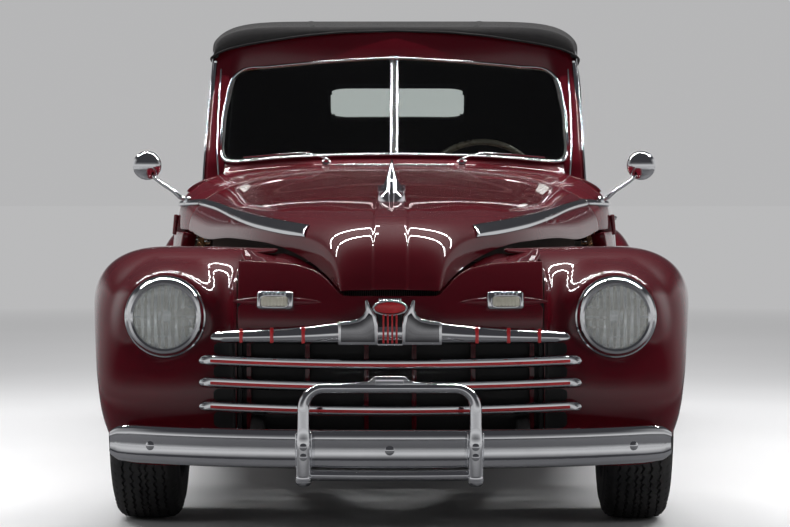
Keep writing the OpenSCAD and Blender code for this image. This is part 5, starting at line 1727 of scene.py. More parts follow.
@dataclass
class CanvasTop:
    """Raised canvas top: cloth over its bows, blind quarters, rear window and lining."""

    thickness: float = 10.0
    window: tuple[float, float, float, float] = (268.0, 1246.0, 1372.0, 42.0)
    rolled: tuple[float, ...] = (1, 0.86, 0.7, 0.54, 0.38, 0.24, 0.11)
    bow_keys: tuple[float, ...] = (-130, 240, 600, 930)

    @staticmethod
    def keys() -> tuple[np.ndarray, np.ndarray]:
        """Stations of the cloth over the doors, and behind them."""
        return lines(-462, 611, 76), lines(619, 1300, 84)

    def station(self, key: float, low: float, count: int) -> np.ndarray:
        """Points over one station, from a low edge on the left to the same on the right."""
        r = row_at(TOP_ROWS, key)
        a = angle_at_z(r, low) if low > r[5] else 89.5
        return arch(r, lines(a, -a, count))

    @staticmethod
    def tuck(points: np.ndarray) -> np.ndarray:
        """Draws the cloth in over the door glass."""
        out = points.copy()
        x, y, z = points[..., 0], points[..., 1], points[..., 2]
        draw = np.sign(x) * 18 * smooth(1505, 1436, z) * smooth(CANVAS_Z, 1300, z)
        out[..., 0] -= draw * smooth(400, 600, np.abs(x)) * smooth(1100, 800, y)
        return out

    @staticmethod
    def outside_window(grid: Grid, window: tuple[float, float, float, float], grow: float) -> np.ndarray:
        """Cells outside the rear window's outline, grown by a distance."""
        half, low, high, corner = window
        middle = middles(grid)
        dx = np.maximum(np.abs(middle[..., 0]) - (half - corner), 0)
        dz = np.maximum(np.abs(middle[..., 2] - (low + high) / 2) - ((high - low) / 2 - corner), 0)
        return (np.hypot(dx, dz) > corner + grow) | (middle[..., 1] < 1000)

    def grid(self) -> Grid:
        """Outer surface of the cloth, drawn tight between its bows, with its front edge turned down."""
        front, rear = self.keys()
        rows = [self.station(k, RAIL_Z, 141) for k in front] + [self.station(k, 0, 141) for k in rear]
        grid = self.tuck(np.array(rows))
        n = normals_of(grid)
        keys = np.concatenate([front, rear])
        bows = np.array([-462, -130, 240, 611, 960])
        span = np.interp(keys, bows, np.arange(len(bows)), right=len(bows) - 1)
        hollow = np.sin(np.pi * (span % 1)) ** 2 * (keys < 960)
        up = smooth(0.55, 0.9, n[..., 2])
        side = smooth(0.6, 0.9, np.abs(n[..., 0])) * smooth(620, 700, grid[..., 1])
        ripple = np.sin(grid[..., 1] / 46 + grid[..., 2] / 120) * side * 0.9
        grid = grid - n * (4.0 * hollow[:, None] * up + 0.8 + ripple * 0.5)[..., None]
        edge, x = grid[0], np.abs(grid[0, :, 0])
        low = np.interp(x, (0, 183, 319, 456, 558, 600, 622), (1521, 1516, 1503, 1482, 1463, 1444, 1434))
        drop = np.maximum(edge[:, 2] - low, 0)
        roll = [edge - np.stack([0 * x, (5 + 8 * smooth(0, 30, drop)) * math.sin(f * 1.9), drop * f ** 1.4], 1)
                for f in self.rolled]
        return np.concatenate([np.array(roll), grid])

    def build(self) -> None:
        """Makes the cloth, its bindings, its window frame, its bows and its lining."""
        grid = self.grid()
        keep = self.outside_window(grid, self.window, -3)
        cloth = panel("canvas_top", grid, self.thickness, 2.0, keep)
        dress(cloth, CANVAS)
        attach(cloth, ROOT)
        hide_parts("soft_top")
        self.bindings(grid)
        self.window_frame(grid)
        self.bows(grid)
        lining = (grid - normals_of(grid) * (self.thickness + 3))[9:-2:2, 1:-1:2]
        inner = panel("top_lining", lining[:, ::-1], 1.5, 0, self.outside_window(lining, self.window, 6)[:, ::-1])
        settle(dress(inner, LINING), ROOT, "canvas")
        pane = grid[:, 1:-1] - normals_of(grid)[:, 1:-1] * 6
        glass = panel("rear_window_glass", pane, 4, 0.6, ~self.outside_window(pane, self.window, 6))
        settle(dress(glass, GLASS), ROOT, "glass", "fixed_glass")

    @staticmethod
    def area(grid: Grid, keep: np.ndarray) -> float:
        """Area of the cells that stay, in square metres."""
        a, b = grid[1:, 1:] - grid[:-1, :-1], grid[:-1, 1:] - grid[1:, :-1]
        return float((np.linalg.norm(np.cross(a, b), axis=-1) / 2 * keep).sum()) * MM * MM

    @staticmethod
    def flat_size(grid: Grid) -> tuple[float, float]:
        """Length and width of the cloth laid flat, in metres."""
        length = np.linalg.norm(np.diff(grid[:, grid.shape[1] // 2], axis=0), axis=1).sum()
        width = np.linalg.norm(np.diff(grid, axis=1), axis=2).sum(1).max()
        return float(length) * MM, float(width) * MM

    def bindings(self, grid: Grid) -> None:
        """Bound edges and sewn seams of the cloth."""
        n = normals_of(grid)
        rail = [grid[i, 0] + n[i, 0] * 0.5 for i in range(7, 83)]
        foot = [grid[i, 0] + n[i, 0] * 1.0 + (0, 0, 5) for i in range(84, 167)]
        out = [pair(f"binding_{k}", lambda name, p=line: tube(name, spline(p[::4], 90), oval(4, 7, 10), up=(1, 0, 0)))
               for k, line in enumerate((rail, foot))]
        out.append(tube("binding_front", spline(grid[0, ::5] + (0, -1, 2), 120), oval(3.5, 4, 10)))
        for j in (38, 102):
            line = grid[9:165, j] + n[9:165, j] * 0.2
            out.append(tube(f"seam_{j}", line, oval(8, 1.4, 8, 3)))
        across = grid[84, 6:-6] + n[84, 6:-6] * 0.2
        out.append(tube("seam_across", across, oval(9, 1.5, 8, 3), up=(0, 1, 0)))
        settle(dress(join("canvas_seams", out), CANVAS), ROOT, "canvas")

    def window_line(self, grid: Grid, grow: float) -> np.ndarray:
        """Outline of the rear window on the cloth, grown by a distance."""
        half, low, high, _ = self.window
        rows = np.arange(83, grid.shape[0])
        mid = grid.shape[1] // 2
        z_of, y_of = grid[rows, mid, 2], grid[rows, mid, 1]
        out = []
        for t in np.arange(0, 2 * np.pi, np.pi / 48):
            c, s = math.cos(t), math.sin(t)
            k = 1 / (abs(c) ** 7 + abs(s) ** 7) ** (1 / 7)
            x = (half + grow) * c * k
            z = (low + high) / 2 + ((high - low) / 2 + grow) * s * k
            y = float(np.interp(-z, -z_of[z_of < 1530], y_of[z_of < 1530]))
            i = int(np.argmin(np.abs(y_of - y)))
            sag = float(np.interp(abs(x), np.abs(grid[rows[i], mid::-1, 0]), grid[rows[i], mid::-1, 2])) - z_of[i]
            out.append((x, y + sag * 0.55, z))
        return np.array(out)

    def window_frame(self, grid: Grid) -> None:
        """Bright frame and dark seal round the rear window."""
        frame = tube("rear_window_frame", self.window_line(grid, 3) + (0, 4, 1), oval(3.5, 7, 12, 2.4),
                     up=(0, 0.86, 0.5), closed=True)
        seal = tube("rear_window_seal", self.window_line(grid, 0) + (0, -6, -2), oval(8, 4, 10), up=(0, 0.86, 0.5),
                    closed=True)
        settle(dress(frame, CHROME), ROOT, "chrome")
        settle(dress(seal, RUBBER), ROOT, "chassis_black")

    def bows(self, grid: Grid) -> None:
        """Steel bows and side rails that hold the cloth up."""
        n = normals_of(grid)
        out = []
        keys = np.concatenate(self.keys())
        for key in self.bow_keys:
            i = len(self.rolled) + int(np.argmin(np.abs(keys - key)))
            line = grid[i, 4:-4] - n[i, 4:-4] * (self.thickness + 16)
            out.append(tube(f"bow_{key}", spline(line[::4], 60), oval(7, 14, 10, 2.6), up=(0, 1, 0)))
        settle(dress(join("top_bows", out), STEEL), ROOT, "steel")


@dataclass
class Windshield:
    """Chrome windshield frame with its divider, its header, its wipers and its glass."""

    def build(self) -> None:
        """Makes the frame, the header, the pillars, the wipers and the panes."""
        line = spline(np.concatenate([FOOT_LINE, HEAD_LINE]), 170)
        lean = (0, -0.83, 0.55)
        frame = pair("frame_side", lambda name: tube(name, line, oval(4.8, 6.5, 14, 2.4), up=lean))
        top, foot = HEAD_LINE[-1], FOOT_LINE[0]
        bars = [tube("divider_bar", straight([foot + (s * 9.5, 2, -4), top + (s * 9.5, 1, 2)], 20),
                     oval(4.6, 8, 12, 2.4), up=lean) for s in (-1, 1)]
        groove = dress(tube("divider_groove", straight([foot + (0, 6, -4), top + (0, 5, 2)], 20), oval(9, 7, 12, 3),
                            up=lean), RUBBER)
        clip = block("divider_clip", ((-17, -12, -14), (17, 10, 8)), 5, 3, place_moved(top + (0, -3, 0), (30, 0, 0)))
        settle(join("windshield_chrome", [*(dress(p, CHROME) for p in (frame, *bars, clip)), groove]), ROOT, "chrome",
               "windshield_frame")
        seal = pair("frame_seal", lambda name: tube(name, line * (0.988, 1, 1) + (0, 6, 2), oval(6, 5, 10), up=lean))
        settle(dress(seal, RUBBER), ROOT, "chassis_black")
        settle(dress(pair("windshield_glass", self.pane), GLASS), ROOT, "glass")
        self.header()
        self.pillars()
        self.wipers()
        self.rail()

    @staticmethod
    def pane(name: str) -> bpy.types.Object:
        """Left half of the windshield's glass, flat and cut to its frame."""
        around = np.concatenate([FOOT_LINE, HEAD_LINE])
        plane = np.linalg.lstsq(np.column_stack([np.ones(len(around)), around[:, 0], around[:, 2]]), around[:, 1],
                                rcond=None)[0]
        corner = len(FOOT_LINE)
        x = lines(1, 581, 60)
        low = np.interp(x, around[:corner, 0], around[:corner, 2])
        high = np.interp(x, around[corner:, 0][::-1], around[corner:, 2][::-1])
        z = low + (high - low) * lines(0, 1, 16)[:, None]
        wide = np.repeat(x[None], 16, 0)
        return panel(name, np.stack([wide, plane[0] + plane[1] * wide + plane[2] * z + 3, z], -1)[:, ::-1], 5, 0)

    def header(self) -> None:
        """Painted header between the bright line and the canvas."""
        x = lines(606, -606, 111)
        a = np.abs(x)
        at = (0, 183, 320, 420, 522, 548, 562, 606)
        low = np.interp(a, at, (1431, 1421, 1411, 1401.5, 1388, 1366, 1330, 1330))
        y = np.interp(a, at, (-480, -468, -457, -448, -442, -455, -470, -478))
        head_y = np.interp(a, (0, 300, 540, 606), (-466, -448, -434, -432))
        station = row_at(TOP_ROWS, -462)
        roof = np.array([arch(station, angle_at_x(station, min(v, 630)))[2] - 14 for v in a])
        f = lines(0, 1, 12)[:, None]
        grid = np.stack([np.repeat(x[None], 12, 0), y + (head_y - y) * f - 3 * np.sin(np.pi * f),
                         low + (roof - low) * f], -1)
        settle(dress(panel("header", grid, 22, 3), PAINT), ROOT, "maroon_paint")

    def pillars(self) -> None:
        """Painted windshield pillars between their bright edges."""
        table = np.array([(1452, 612, 575, -432), (1424, 615, 566, -440), (1339, 621, 562, -479),
                          (1253, 627, 576, -524), (1185, 630, 580, -563), (1118, 632.5, 581, -604),
                          (1078, 635, 570, -624), (1024, 638, 574, -634), (985, 640, 590, -640)], float)
        z = lines(1452, 985, 48)
        out, inner, y = (np.interp(-z, -table[:, 0], table[:, k]) for k in (1, 2, 3))
        ring = [np.stack([a, b, z], 1) for a, b in (
            (inner, y + 1), ((inner + out) / 2, y - 3), (out - 12, y - 1), (out - 3, y + 6), (out, y + 16),
            (out - 1, y + 36), (inner + 4, y + 30))]
        posts = pair("pillar", lambda name: loft(name, np.array(ring).transpose(1, 0, 2), 50))
        settle(dress(posts, PAINT), ROOT, "maroon_paint")
        outer = pair("pillar_outer",
                     lambda name: tube(name, np.stack([out + 3, y + 10, z], 1), oval(4.6, 8, 12, 2.6), up=(0, 1, 0)))
        inside = np.stack([np.interp(-z, (-1452, -1339, -1253, -1118, -1024, -985), (588, 593, 596, 596, 588, 586)),
                           y - 3.5, z], 1)
        bead = pair("pillar_bead", lambda name: tube(name, inside, oval(2.8, 3.2, 10), up=(0, 1, 0)))
        settle(dress(join("pillar_bright", [outer, bead]), CHROME), ROOT, "chrome")

    def rail(self) -> None:
        """Dark weather strips over the door glass."""
        line = spline(CanvasTop.tuck(np.array([arch(row_at(TOP_ROWS, k), angle_at_z(row_at(TOP_ROWS, k), RAIL_Z + 5))
                                               for k in lines(-455, 600, 9)]))
                      - (10, 0, 0), 60)
        strips = pair("glass_weather_strip", lambda name: tube(name, line, oval(9, 6, 10, 3)))
        settle(dress(strips, RUBBER), ROOT, "chassis_black")

    def wipers(self) -> None:
        """Wipers parked along the foot of the glass, on their pivots."""
        out = []
        for side in (1, -1):
            pivot = np.array([226 * side, -712, 1079.0])
            boss = lathe("wiper_boss", [(0, 17), (4, 16), (7, 12), (9, 6), (14, 3), (14, -8)],
                         place_at(pivot, (0, -0.75, 0.66)), 28)
            tip = np.array([392.0 * side, -676, 1102])
            arm = tube("wiper_arm", spline([pivot + (0, -12, 10), pivot + (40 * side, -6, 24), tip + (0, -6, 3)], 24),
                       oval(3.4, 2.2, 10),
                       scale=lines(1, 0.7, 24))
            reach = np.array([112.0 * side, 22, -9])
            blade = tube("wiper_blade", straight([tip - reach, tip + reach], 12), oval(2.4, 4, 8),
                         up=(0, -0.83, 0.55))
            squeegee = tube("wiper_rubber", straight([tip - reach + (0, 5, -3), tip + reach + (0, 5, -3)], 12),
                            oval(1.6, 4, 6), up=(0, -0.83, 0.55))
            out += [dress(boss, CHROME), dress(arm, CHROME), dress(blade, CHROME), dress(squeegee, RUBBER)]
        settle(join("wipers", out), ROOT, "chrome")


# ---------------------------------------------------------------- bright work


def bar_line(half: float, z: float, out: float, count: int = 90) -> np.ndarray:
    """Path of a grille bar across the front, its ends a little higher, set out from the nose."""
    x = lines(-half, half, count)
    return np.stack([x, NOSE_FRONT + 0.00026 * x * x - out, z + 9 * (x / half) ** 2], 1)


@dataclass
class Grille:
    """Three bright bars under a banded upper bar, with shoulders, a lined middle and a bare crest."""

    bars: tuple[float, ...] = (507.0, 444.0, 376.0)
    half: float = 542.0
    slant: float = 0.38
    slots: tuple[tuple[float, float], ...] = ((523, 558), (458, 492), (391, 427), (314, 362))

    def build(self) -> None:
        """Makes the bars, the bands, the middle, the crest and the black slots of painted shade."""
        settle(join("grille_bars", [self.upper(), *(self.bar(z) for z in self.bars)]), ROOT, "chrome", "grille")
        self.bands()
        self.centre()
        self.supports()
        self.crest()
        self.gaps()

    def bar(self, z: float) -> bpy.types.Object:
        """A lower bar: a rounded blade with slanted ends and a red line in its groove."""
        section = np.array([(-17.5, 0), (-16.5, -9), (-10, -15), (0, -16.5), (9, -14), (16, -8), (18, -4.2),
                            (16.4, -3.4), (16.4, 3.4), (18, 4.2), (16, 8), (9, 14), (0, 16.5), (-10, 15),
                            (-16.5, 9)])
        line = bar_line(self.half, z, 22, 110)
        end = np.clip((self.half - np.abs(line[:, 0])) / 16, 0, 1) ** 0.5 * 0.45 + 0.55
        body = dress(tube("bar_body", line, section * (-1, 1), scale=end), CHROME)
        for v in body.data.vertices:
            at_end = float(smooth(self.half - 40, self.half, abs(v.co.x) / MM))
            v.co.x -= math.copysign(self.slant, v.co.x) * (v.co.z - z * MM - 0.009) * at_end
        stripe = dress(tube("bar_stripe", line[3:-3] + (0, -16.6, -1.5), oval(2.2, 4.4, 10, 3)), RED)
        return join("grille_bar", [body, stripe])

    def upper(self) -> bpy.types.Object:
        """The upper bar, deep in the middle and drawn out to its blunt tips."""
        x = lines(-512, 512, 171)
        a = np.abs(x)
        top = np.interp(a, [0, 150, 200, 252, 330, 450, 496, 508, 512], [632, 626, 619, 614, 608, 601, 598, 594, 586])
        top[4:-4] = np.convolve(top, np.ones(9) / 9, "valid")
        low = np.interp(a, [0, 480, 504, 512], [564, 563, 565, 574])
        y = NOSE_FRONT + 0.00026 * x * x
        ring = [np.stack([x, y + u, low + (top - low) * v], 1) for u, v in (
            (6, 0.0), (-14, 0.0), (-26, 0.08), (-33, 0.26), (-34, 0.5), (-31, 0.72), (-22, 0.93), (-8, 1.0),
            (6, 1.0))]
        return dress(loft("upper_bar", np.array(ring).transpose(1, 0, 2)), CHROME)

    def bands(self) -> None:
        """Red bands across the upper bar."""
        out = []
        for x, high in ((246, 26), (336, 22), (424, 18)):
            for side in (1, -1):
                y = NOSE_FRONT + 0.00026 * x * x - 32.6
                out.append(dress(block("band", ((-5, -2.6, -22), (5, 6, high)), 1.8, 2,
                                       place_moved((x * side, y, 588), (-4, 0, 0.9 * side))), RED))
        settle(join("upper_bar_bands", out), ROOT, "chrome")

    def centre(self) -> None:
        """Stepped shoulders on both sides of a dark middle with four red lines."""
        outline = [(147, 562), (147, 628), (112, 631), (91, 636), (77, 646), (69, 660), (71, 690), (63, 690),
                   (55, 668), (46, 654), (38, 644), (34, 620), (34, 562)]
        inset = [(139, 571), (139, 619), (112, 622), (87, 628), (70, 639), (60, 654), (50, 646), (44, 616),
                 (43, 571)]
        def shoulder(name: str) -> bpy.types.Object:
            """Left shoulder, framed round its face of chrome darkened as painted shade."""
            rim = dress(prism(f"{name}_frame", outline, NOSE_FRONT - 38, NOSE_FRONT + 2, 4), CHROME)
            face = dress(prism(f"{name}_face", inset, NOSE_FRONT - 39, NOSE_FRONT - 30, 1), SHADED_CHROME)
            return join(name, [rim, face])

        column = dress(block("centre_dark", ((-34, NOSE_FRONT - 30, 562), (34, NOSE_FRONT - 4, 660)), 3), BLACK_AND_SHADE)
        sill = dress(block("centre_sill", ((-36, NOSE_FRONT - 36, 560), (36, NOSE_FRONT - 4, 568)), 3), CHROME)
        strokes = REPEAT.make("centre_lines", block("line", ((-2.8, -4, 0), (2.8, 3, 82)), 1.2), 4, RED,
                              step=(12.4, 0, 0),
                              place=Matrix.Translation((-18.6, NOSE_FRONT - 31, 567)))
        settle(join("grille_centre", [pair("shoulder", shoulder), column, sill, strokes]), ROOT, "chrome")

    def supports(self) -> None:
        """Painted uprights behind the bars."""
        out = [block("support",
                     ((x - 7, NOSE_FRONT + 0.0003 * x * x + 22, 318), (x + 7, NOSE_FRONT + 0.0003 * x * x + 46, 600)),
                     2)
               for x in (-405, -236, -68, 68, 236, 405)]
        settle(dress(join("grille_supports", out), PAINT), ROOT, "maroon_paint")

    def crest(self) -> None:
        """Bare oval crest with a notched crown over the middle."""
        y, z, half, high = NOSE_FRONT - 30, 667.0, 47.0, 20.0
        t = 2 * np.pi * np.arange(72) / 72
        ring = np.stack([half * np.cos(t), y - 4 * np.sin(t), z + high * np.sin(t)], 1)
        rim = tube("crest_rim", ring, oval(4.2, 5.5, 12), up=(0, -1, 0), closed=True)
        rows = [np.stack([half * f * np.cos(t), y - 4 * f * np.sin(t) - 7 * (1 - f * f), z + high * f * np.sin(t)],
                         1) for f in (1.0, 0.8, 0.6, 0.4, 0.2, 0.02)]
        rows.append(rows[0] + (0, 12, 0))
        face = loft("crest_face", np.array([rows[-1], *rows[:-1]]), 50)
        back = prism("crest_back",
                     [(46 * math.cos(a), z + 20 * math.sin(a)) for a in lines(0.0, 2 * np.pi * 35 / 36, 36)], y + 4,
                     NOSE_FRONT + 20, 2)
        crown = REPEAT.make("crest_crown", block("tooth", ((-1.9, -6, -4), (1.9, 6, 9)), 1.2), 11, CHROME,
                            step=(6, 0, 0),
                            place=Matrix.Translation((-30, y + 2, z + 20)))
        settle(join("bonnet_crest", [dress(rim, CHROME), dress(face, RED), dress(back, CHROME), crown]), ROOT,
               "chrome")

    def gaps(self) -> None:
        """Black slots painted on the fenders as the shade of the openings between the bars."""
        trees = [BVHTree.FromObject(bpy.data.objects[n], bpy.context.evaluated_depsgraph_get())
                 for n in ("nose_panels", "front_fender_panel_left", "front_fender_panel_right")]
        made = []
        backwards = Vector((0, 1, 0))
        for low, high in self.slots:
            for side in (1, -1):
                x = lines(412, 506, 26)
                grid = []
                for f in lines(0, 1, 9):
                    row = []
                    for a in x:
                        pinch = math.sqrt(max(1 - max((a - 486) / 20.5, 0) ** 2, 0))
                        z = (low + high) / 2 + 5 * (a / 545) ** 2 + (f - 0.5) * (high - low) * (0.35 + 0.65 * pinch)
                        start = Vector((a * side, -3000, z)) * MM
                        found = (tree.ray_cast(start, backwards, 1.2)[0] for tree in trees)
                        hits = [h.y for h in found if h]
                        row.append((a * side, min([v / MM for v in hits] + [NOSE_FRONT + 92]) - 1.2, z))
                    grid.append(row if side < 0 else row[::-1])
                made.append(panel("slot", np.array(grid), 1.0, 0))
        settle(dress(join("grille_slots", made), BLACK_AND_SHADE), ROOT, "chassis_black")


@dataclass
class Lamps:
    """Headlamps, parking lamps and tail lamps."""

    def build(self) -> None:
        """Makes every lamp with its bezel, lens and reflector."""
        for side, name in ((1, "left"), (-1, "right")):
            self.headlamp(side, name)
        parking = pair("parking_lamp", self.parking)
        settle(parking, ROOT, "chrome", "front_lamps")
        tails = pair("tail_lamp", self.tail)
        settle(tails, ROOT, "chrome", "tail_lamps")

    def headlamp(self, side: int, name: str) -> None:
        """A round lamp: stepped bezel, bowl, bulb and fluted lens."""
        place = lamp_matrix(side)
        r = LAMP_R
        bezel = lathe(f"headlamp_bezel_{name}", [(r - 26, 12), (r - 24, 19), (r - 18, 23), (r - 11, 22),
                                                 (r - 5, 16), (r - 3, 10), (r + 1, 8), (r + 3, 2), (r + 1, -8),
                                                 (r - 12, -12), (r - 26, -4)], place, 96)
        bowl = lathe(f"headlamp_bowl_{name}", [(r - 22, 12), (r - 34, -14), (r - 56, -38), (r - 84, -54), (14, -60),
                                               (0, -61), (0, -63), (14, -62), (r - 84, -57), (r - 56, -41),
                                               (r - 34, -17), (r - 20, 8)], place, 64)
        bulb = lathe(f"headlamp_bulb_{name}", [(0, -14), (7, -16), (11, -22), (11, -30), (7, -40), (9, -44),
                                               (9, -58), (0, -58)], place, 32)
        shield = lathe(f"headlamp_cap_{name}", [(0, -6), (12, -8), (17, -14), (18, -22), (16, -22), (10, -11),
                                                (0, -9)], place, 32)
        settle(dress(bezel, CHROME), ROOT, "chrome")
        settle(join(f"headlamp_inside_{name}",
                    [dress(bowl, REFLECTOR), dress(bulb, IVORY), dress(shield, REFLECTOR)]), ROOT, "chrome")
        settle(dress(self.lens(f"headlamp_lens_{name}", place, r - 25), LENS), ROOT, "lamp_glass")

    @staticmethod
    def lens(name: str, place: Matrix, radius: float) -> bpy.types.Object:
        """Domed lens with fluting on its inner face."""
        count = 61
        u = lines(-1, 1, count)
        gx, gy = np.meshgrid(u, u, indexing="ij")
        sx, sy = gx * np.sqrt(1 - gy**2 / 2), gy * np.sqrt(1 - gx**2 / 2)
        d = np.hypot(sx, sy)
        dome = 17 * (1 - d**2)
        outer = np.stack([sx * radius, sy * radius, 16 + dome], -1)
        flute = 1.5 * np.cos(sx * radius / 3.1) * smooth(1.0, 0.92, d)
        step = 0.8 * np.sign(np.sin(sy * radius / 9))
        inner = np.stack([sx * radius, sy * radius, 10.5 + dome * 0.9 + flute + step * smooth(1.0, 0.95, d)], -1)
        pts = carried(np.concatenate([outer.reshape(-1, 3), inner.reshape(-1, 3)]), place)
        n = count * count
        faces = grid_faces(count, count)
        faces += [tuple(v + n for v in f[::-1]) for f in faces]
        rim = [*range(count)] + [i * count + count - 1 for i in range(1, count)]
        rim += [(count - 1) * count + i for i in range(count - 2, -1, -1)]
        rim += [i * count for i in range(count - 2, 0, -1)]
        faces += [(a, b, b + n, a + n) for a, b in zip(rim, rim[1:] + rim[:1])]
        return outward(new_mesh(name, pts, faces))

    @staticmethod
    def parking(name: str) -> bpy.types.Object:
        """Rounded parking lamp with ribs over its lens and a speed line beside it."""
        x = 325.0
        y = float(nose_y(x, 684))
        place = place_moved((x, y, 684), (-7, 0, 10.5))
        house = dress(block("parking_house", ((-54, -24, -26), (54, 10, 27)), 11, 4, place), CHROME)
        lens = dress(block("parking_lens", ((-38, -31, -17), (38, -20, 10)), 5, 3, place), CREAM_LENS)
        m = np.array(place)

        def boxed(value: float) -> float:
            """A sine or a cosine, pressed towards a box's outline."""
            return abs(value) ** 0.45 * math.copysign(1, value)

        around = [(m @ (41 * boxed(math.cos(t)), -24.5, -3.5 + 17 * boxed(math.sin(t)), 1))[:3]
                  for t in np.arange(0.05, 2 * np.pi, np.pi / 30)]
        rim = dress(tube("parking_rim", np.array(around), oval(2.4, 2.4, 8), up=(0, -1, 0), closed=True), CHROME)
        ribs = REPEAT.make("parking_ribs", block("rib", ((-3.4, -9, -5), (3.4, 6, 5)), 2.4), 6, CHROME,
                           step=(12.4, 0, 0),
                           place=place @ Matrix.Translation((-31, -20, 20)))
        tail = dress(tube("parking_line", spline([(m @ (sx, 4, -2, 1))[:3] for sx in (-128, 0, 128)], 40),
                          oval(15, 17, 20, 2.2), up=(0, 0, 1), scale=np.sin(np.pi * lines(0.02, 0.98, 40)) ** 0.8),
                          PAINT)
        return join(name, [house, lens, rim, ribs, tail])

    @staticmethod
    def tail(name: str) -> bpy.types.Object:
        """Level tail lamp beside the lid: chrome shell, red lens."""
        place = place_moved((500, 1900, 744), (0, 0, -16))
        shell = dress(block("tail_shell", ((0, 6, -4), (131, 84, 48)), 14, 4, place), CHROME)
        lens = dress(block("tail_lens", ((9, 74, 4), (122, 95, 40)), 9, 4, place), RED_LENS)
        glints = REPEAT.make("tail_ribs", block("rib", ((-1, -1.5, 6), (1, 1.5, 38)), 0.7), 13, RED_LENS,
                             step=(8, 0, 0),
                             place=place @ Matrix.Translation((17.5, 95, 0)))
        return join(name, [shell, lens, glints])


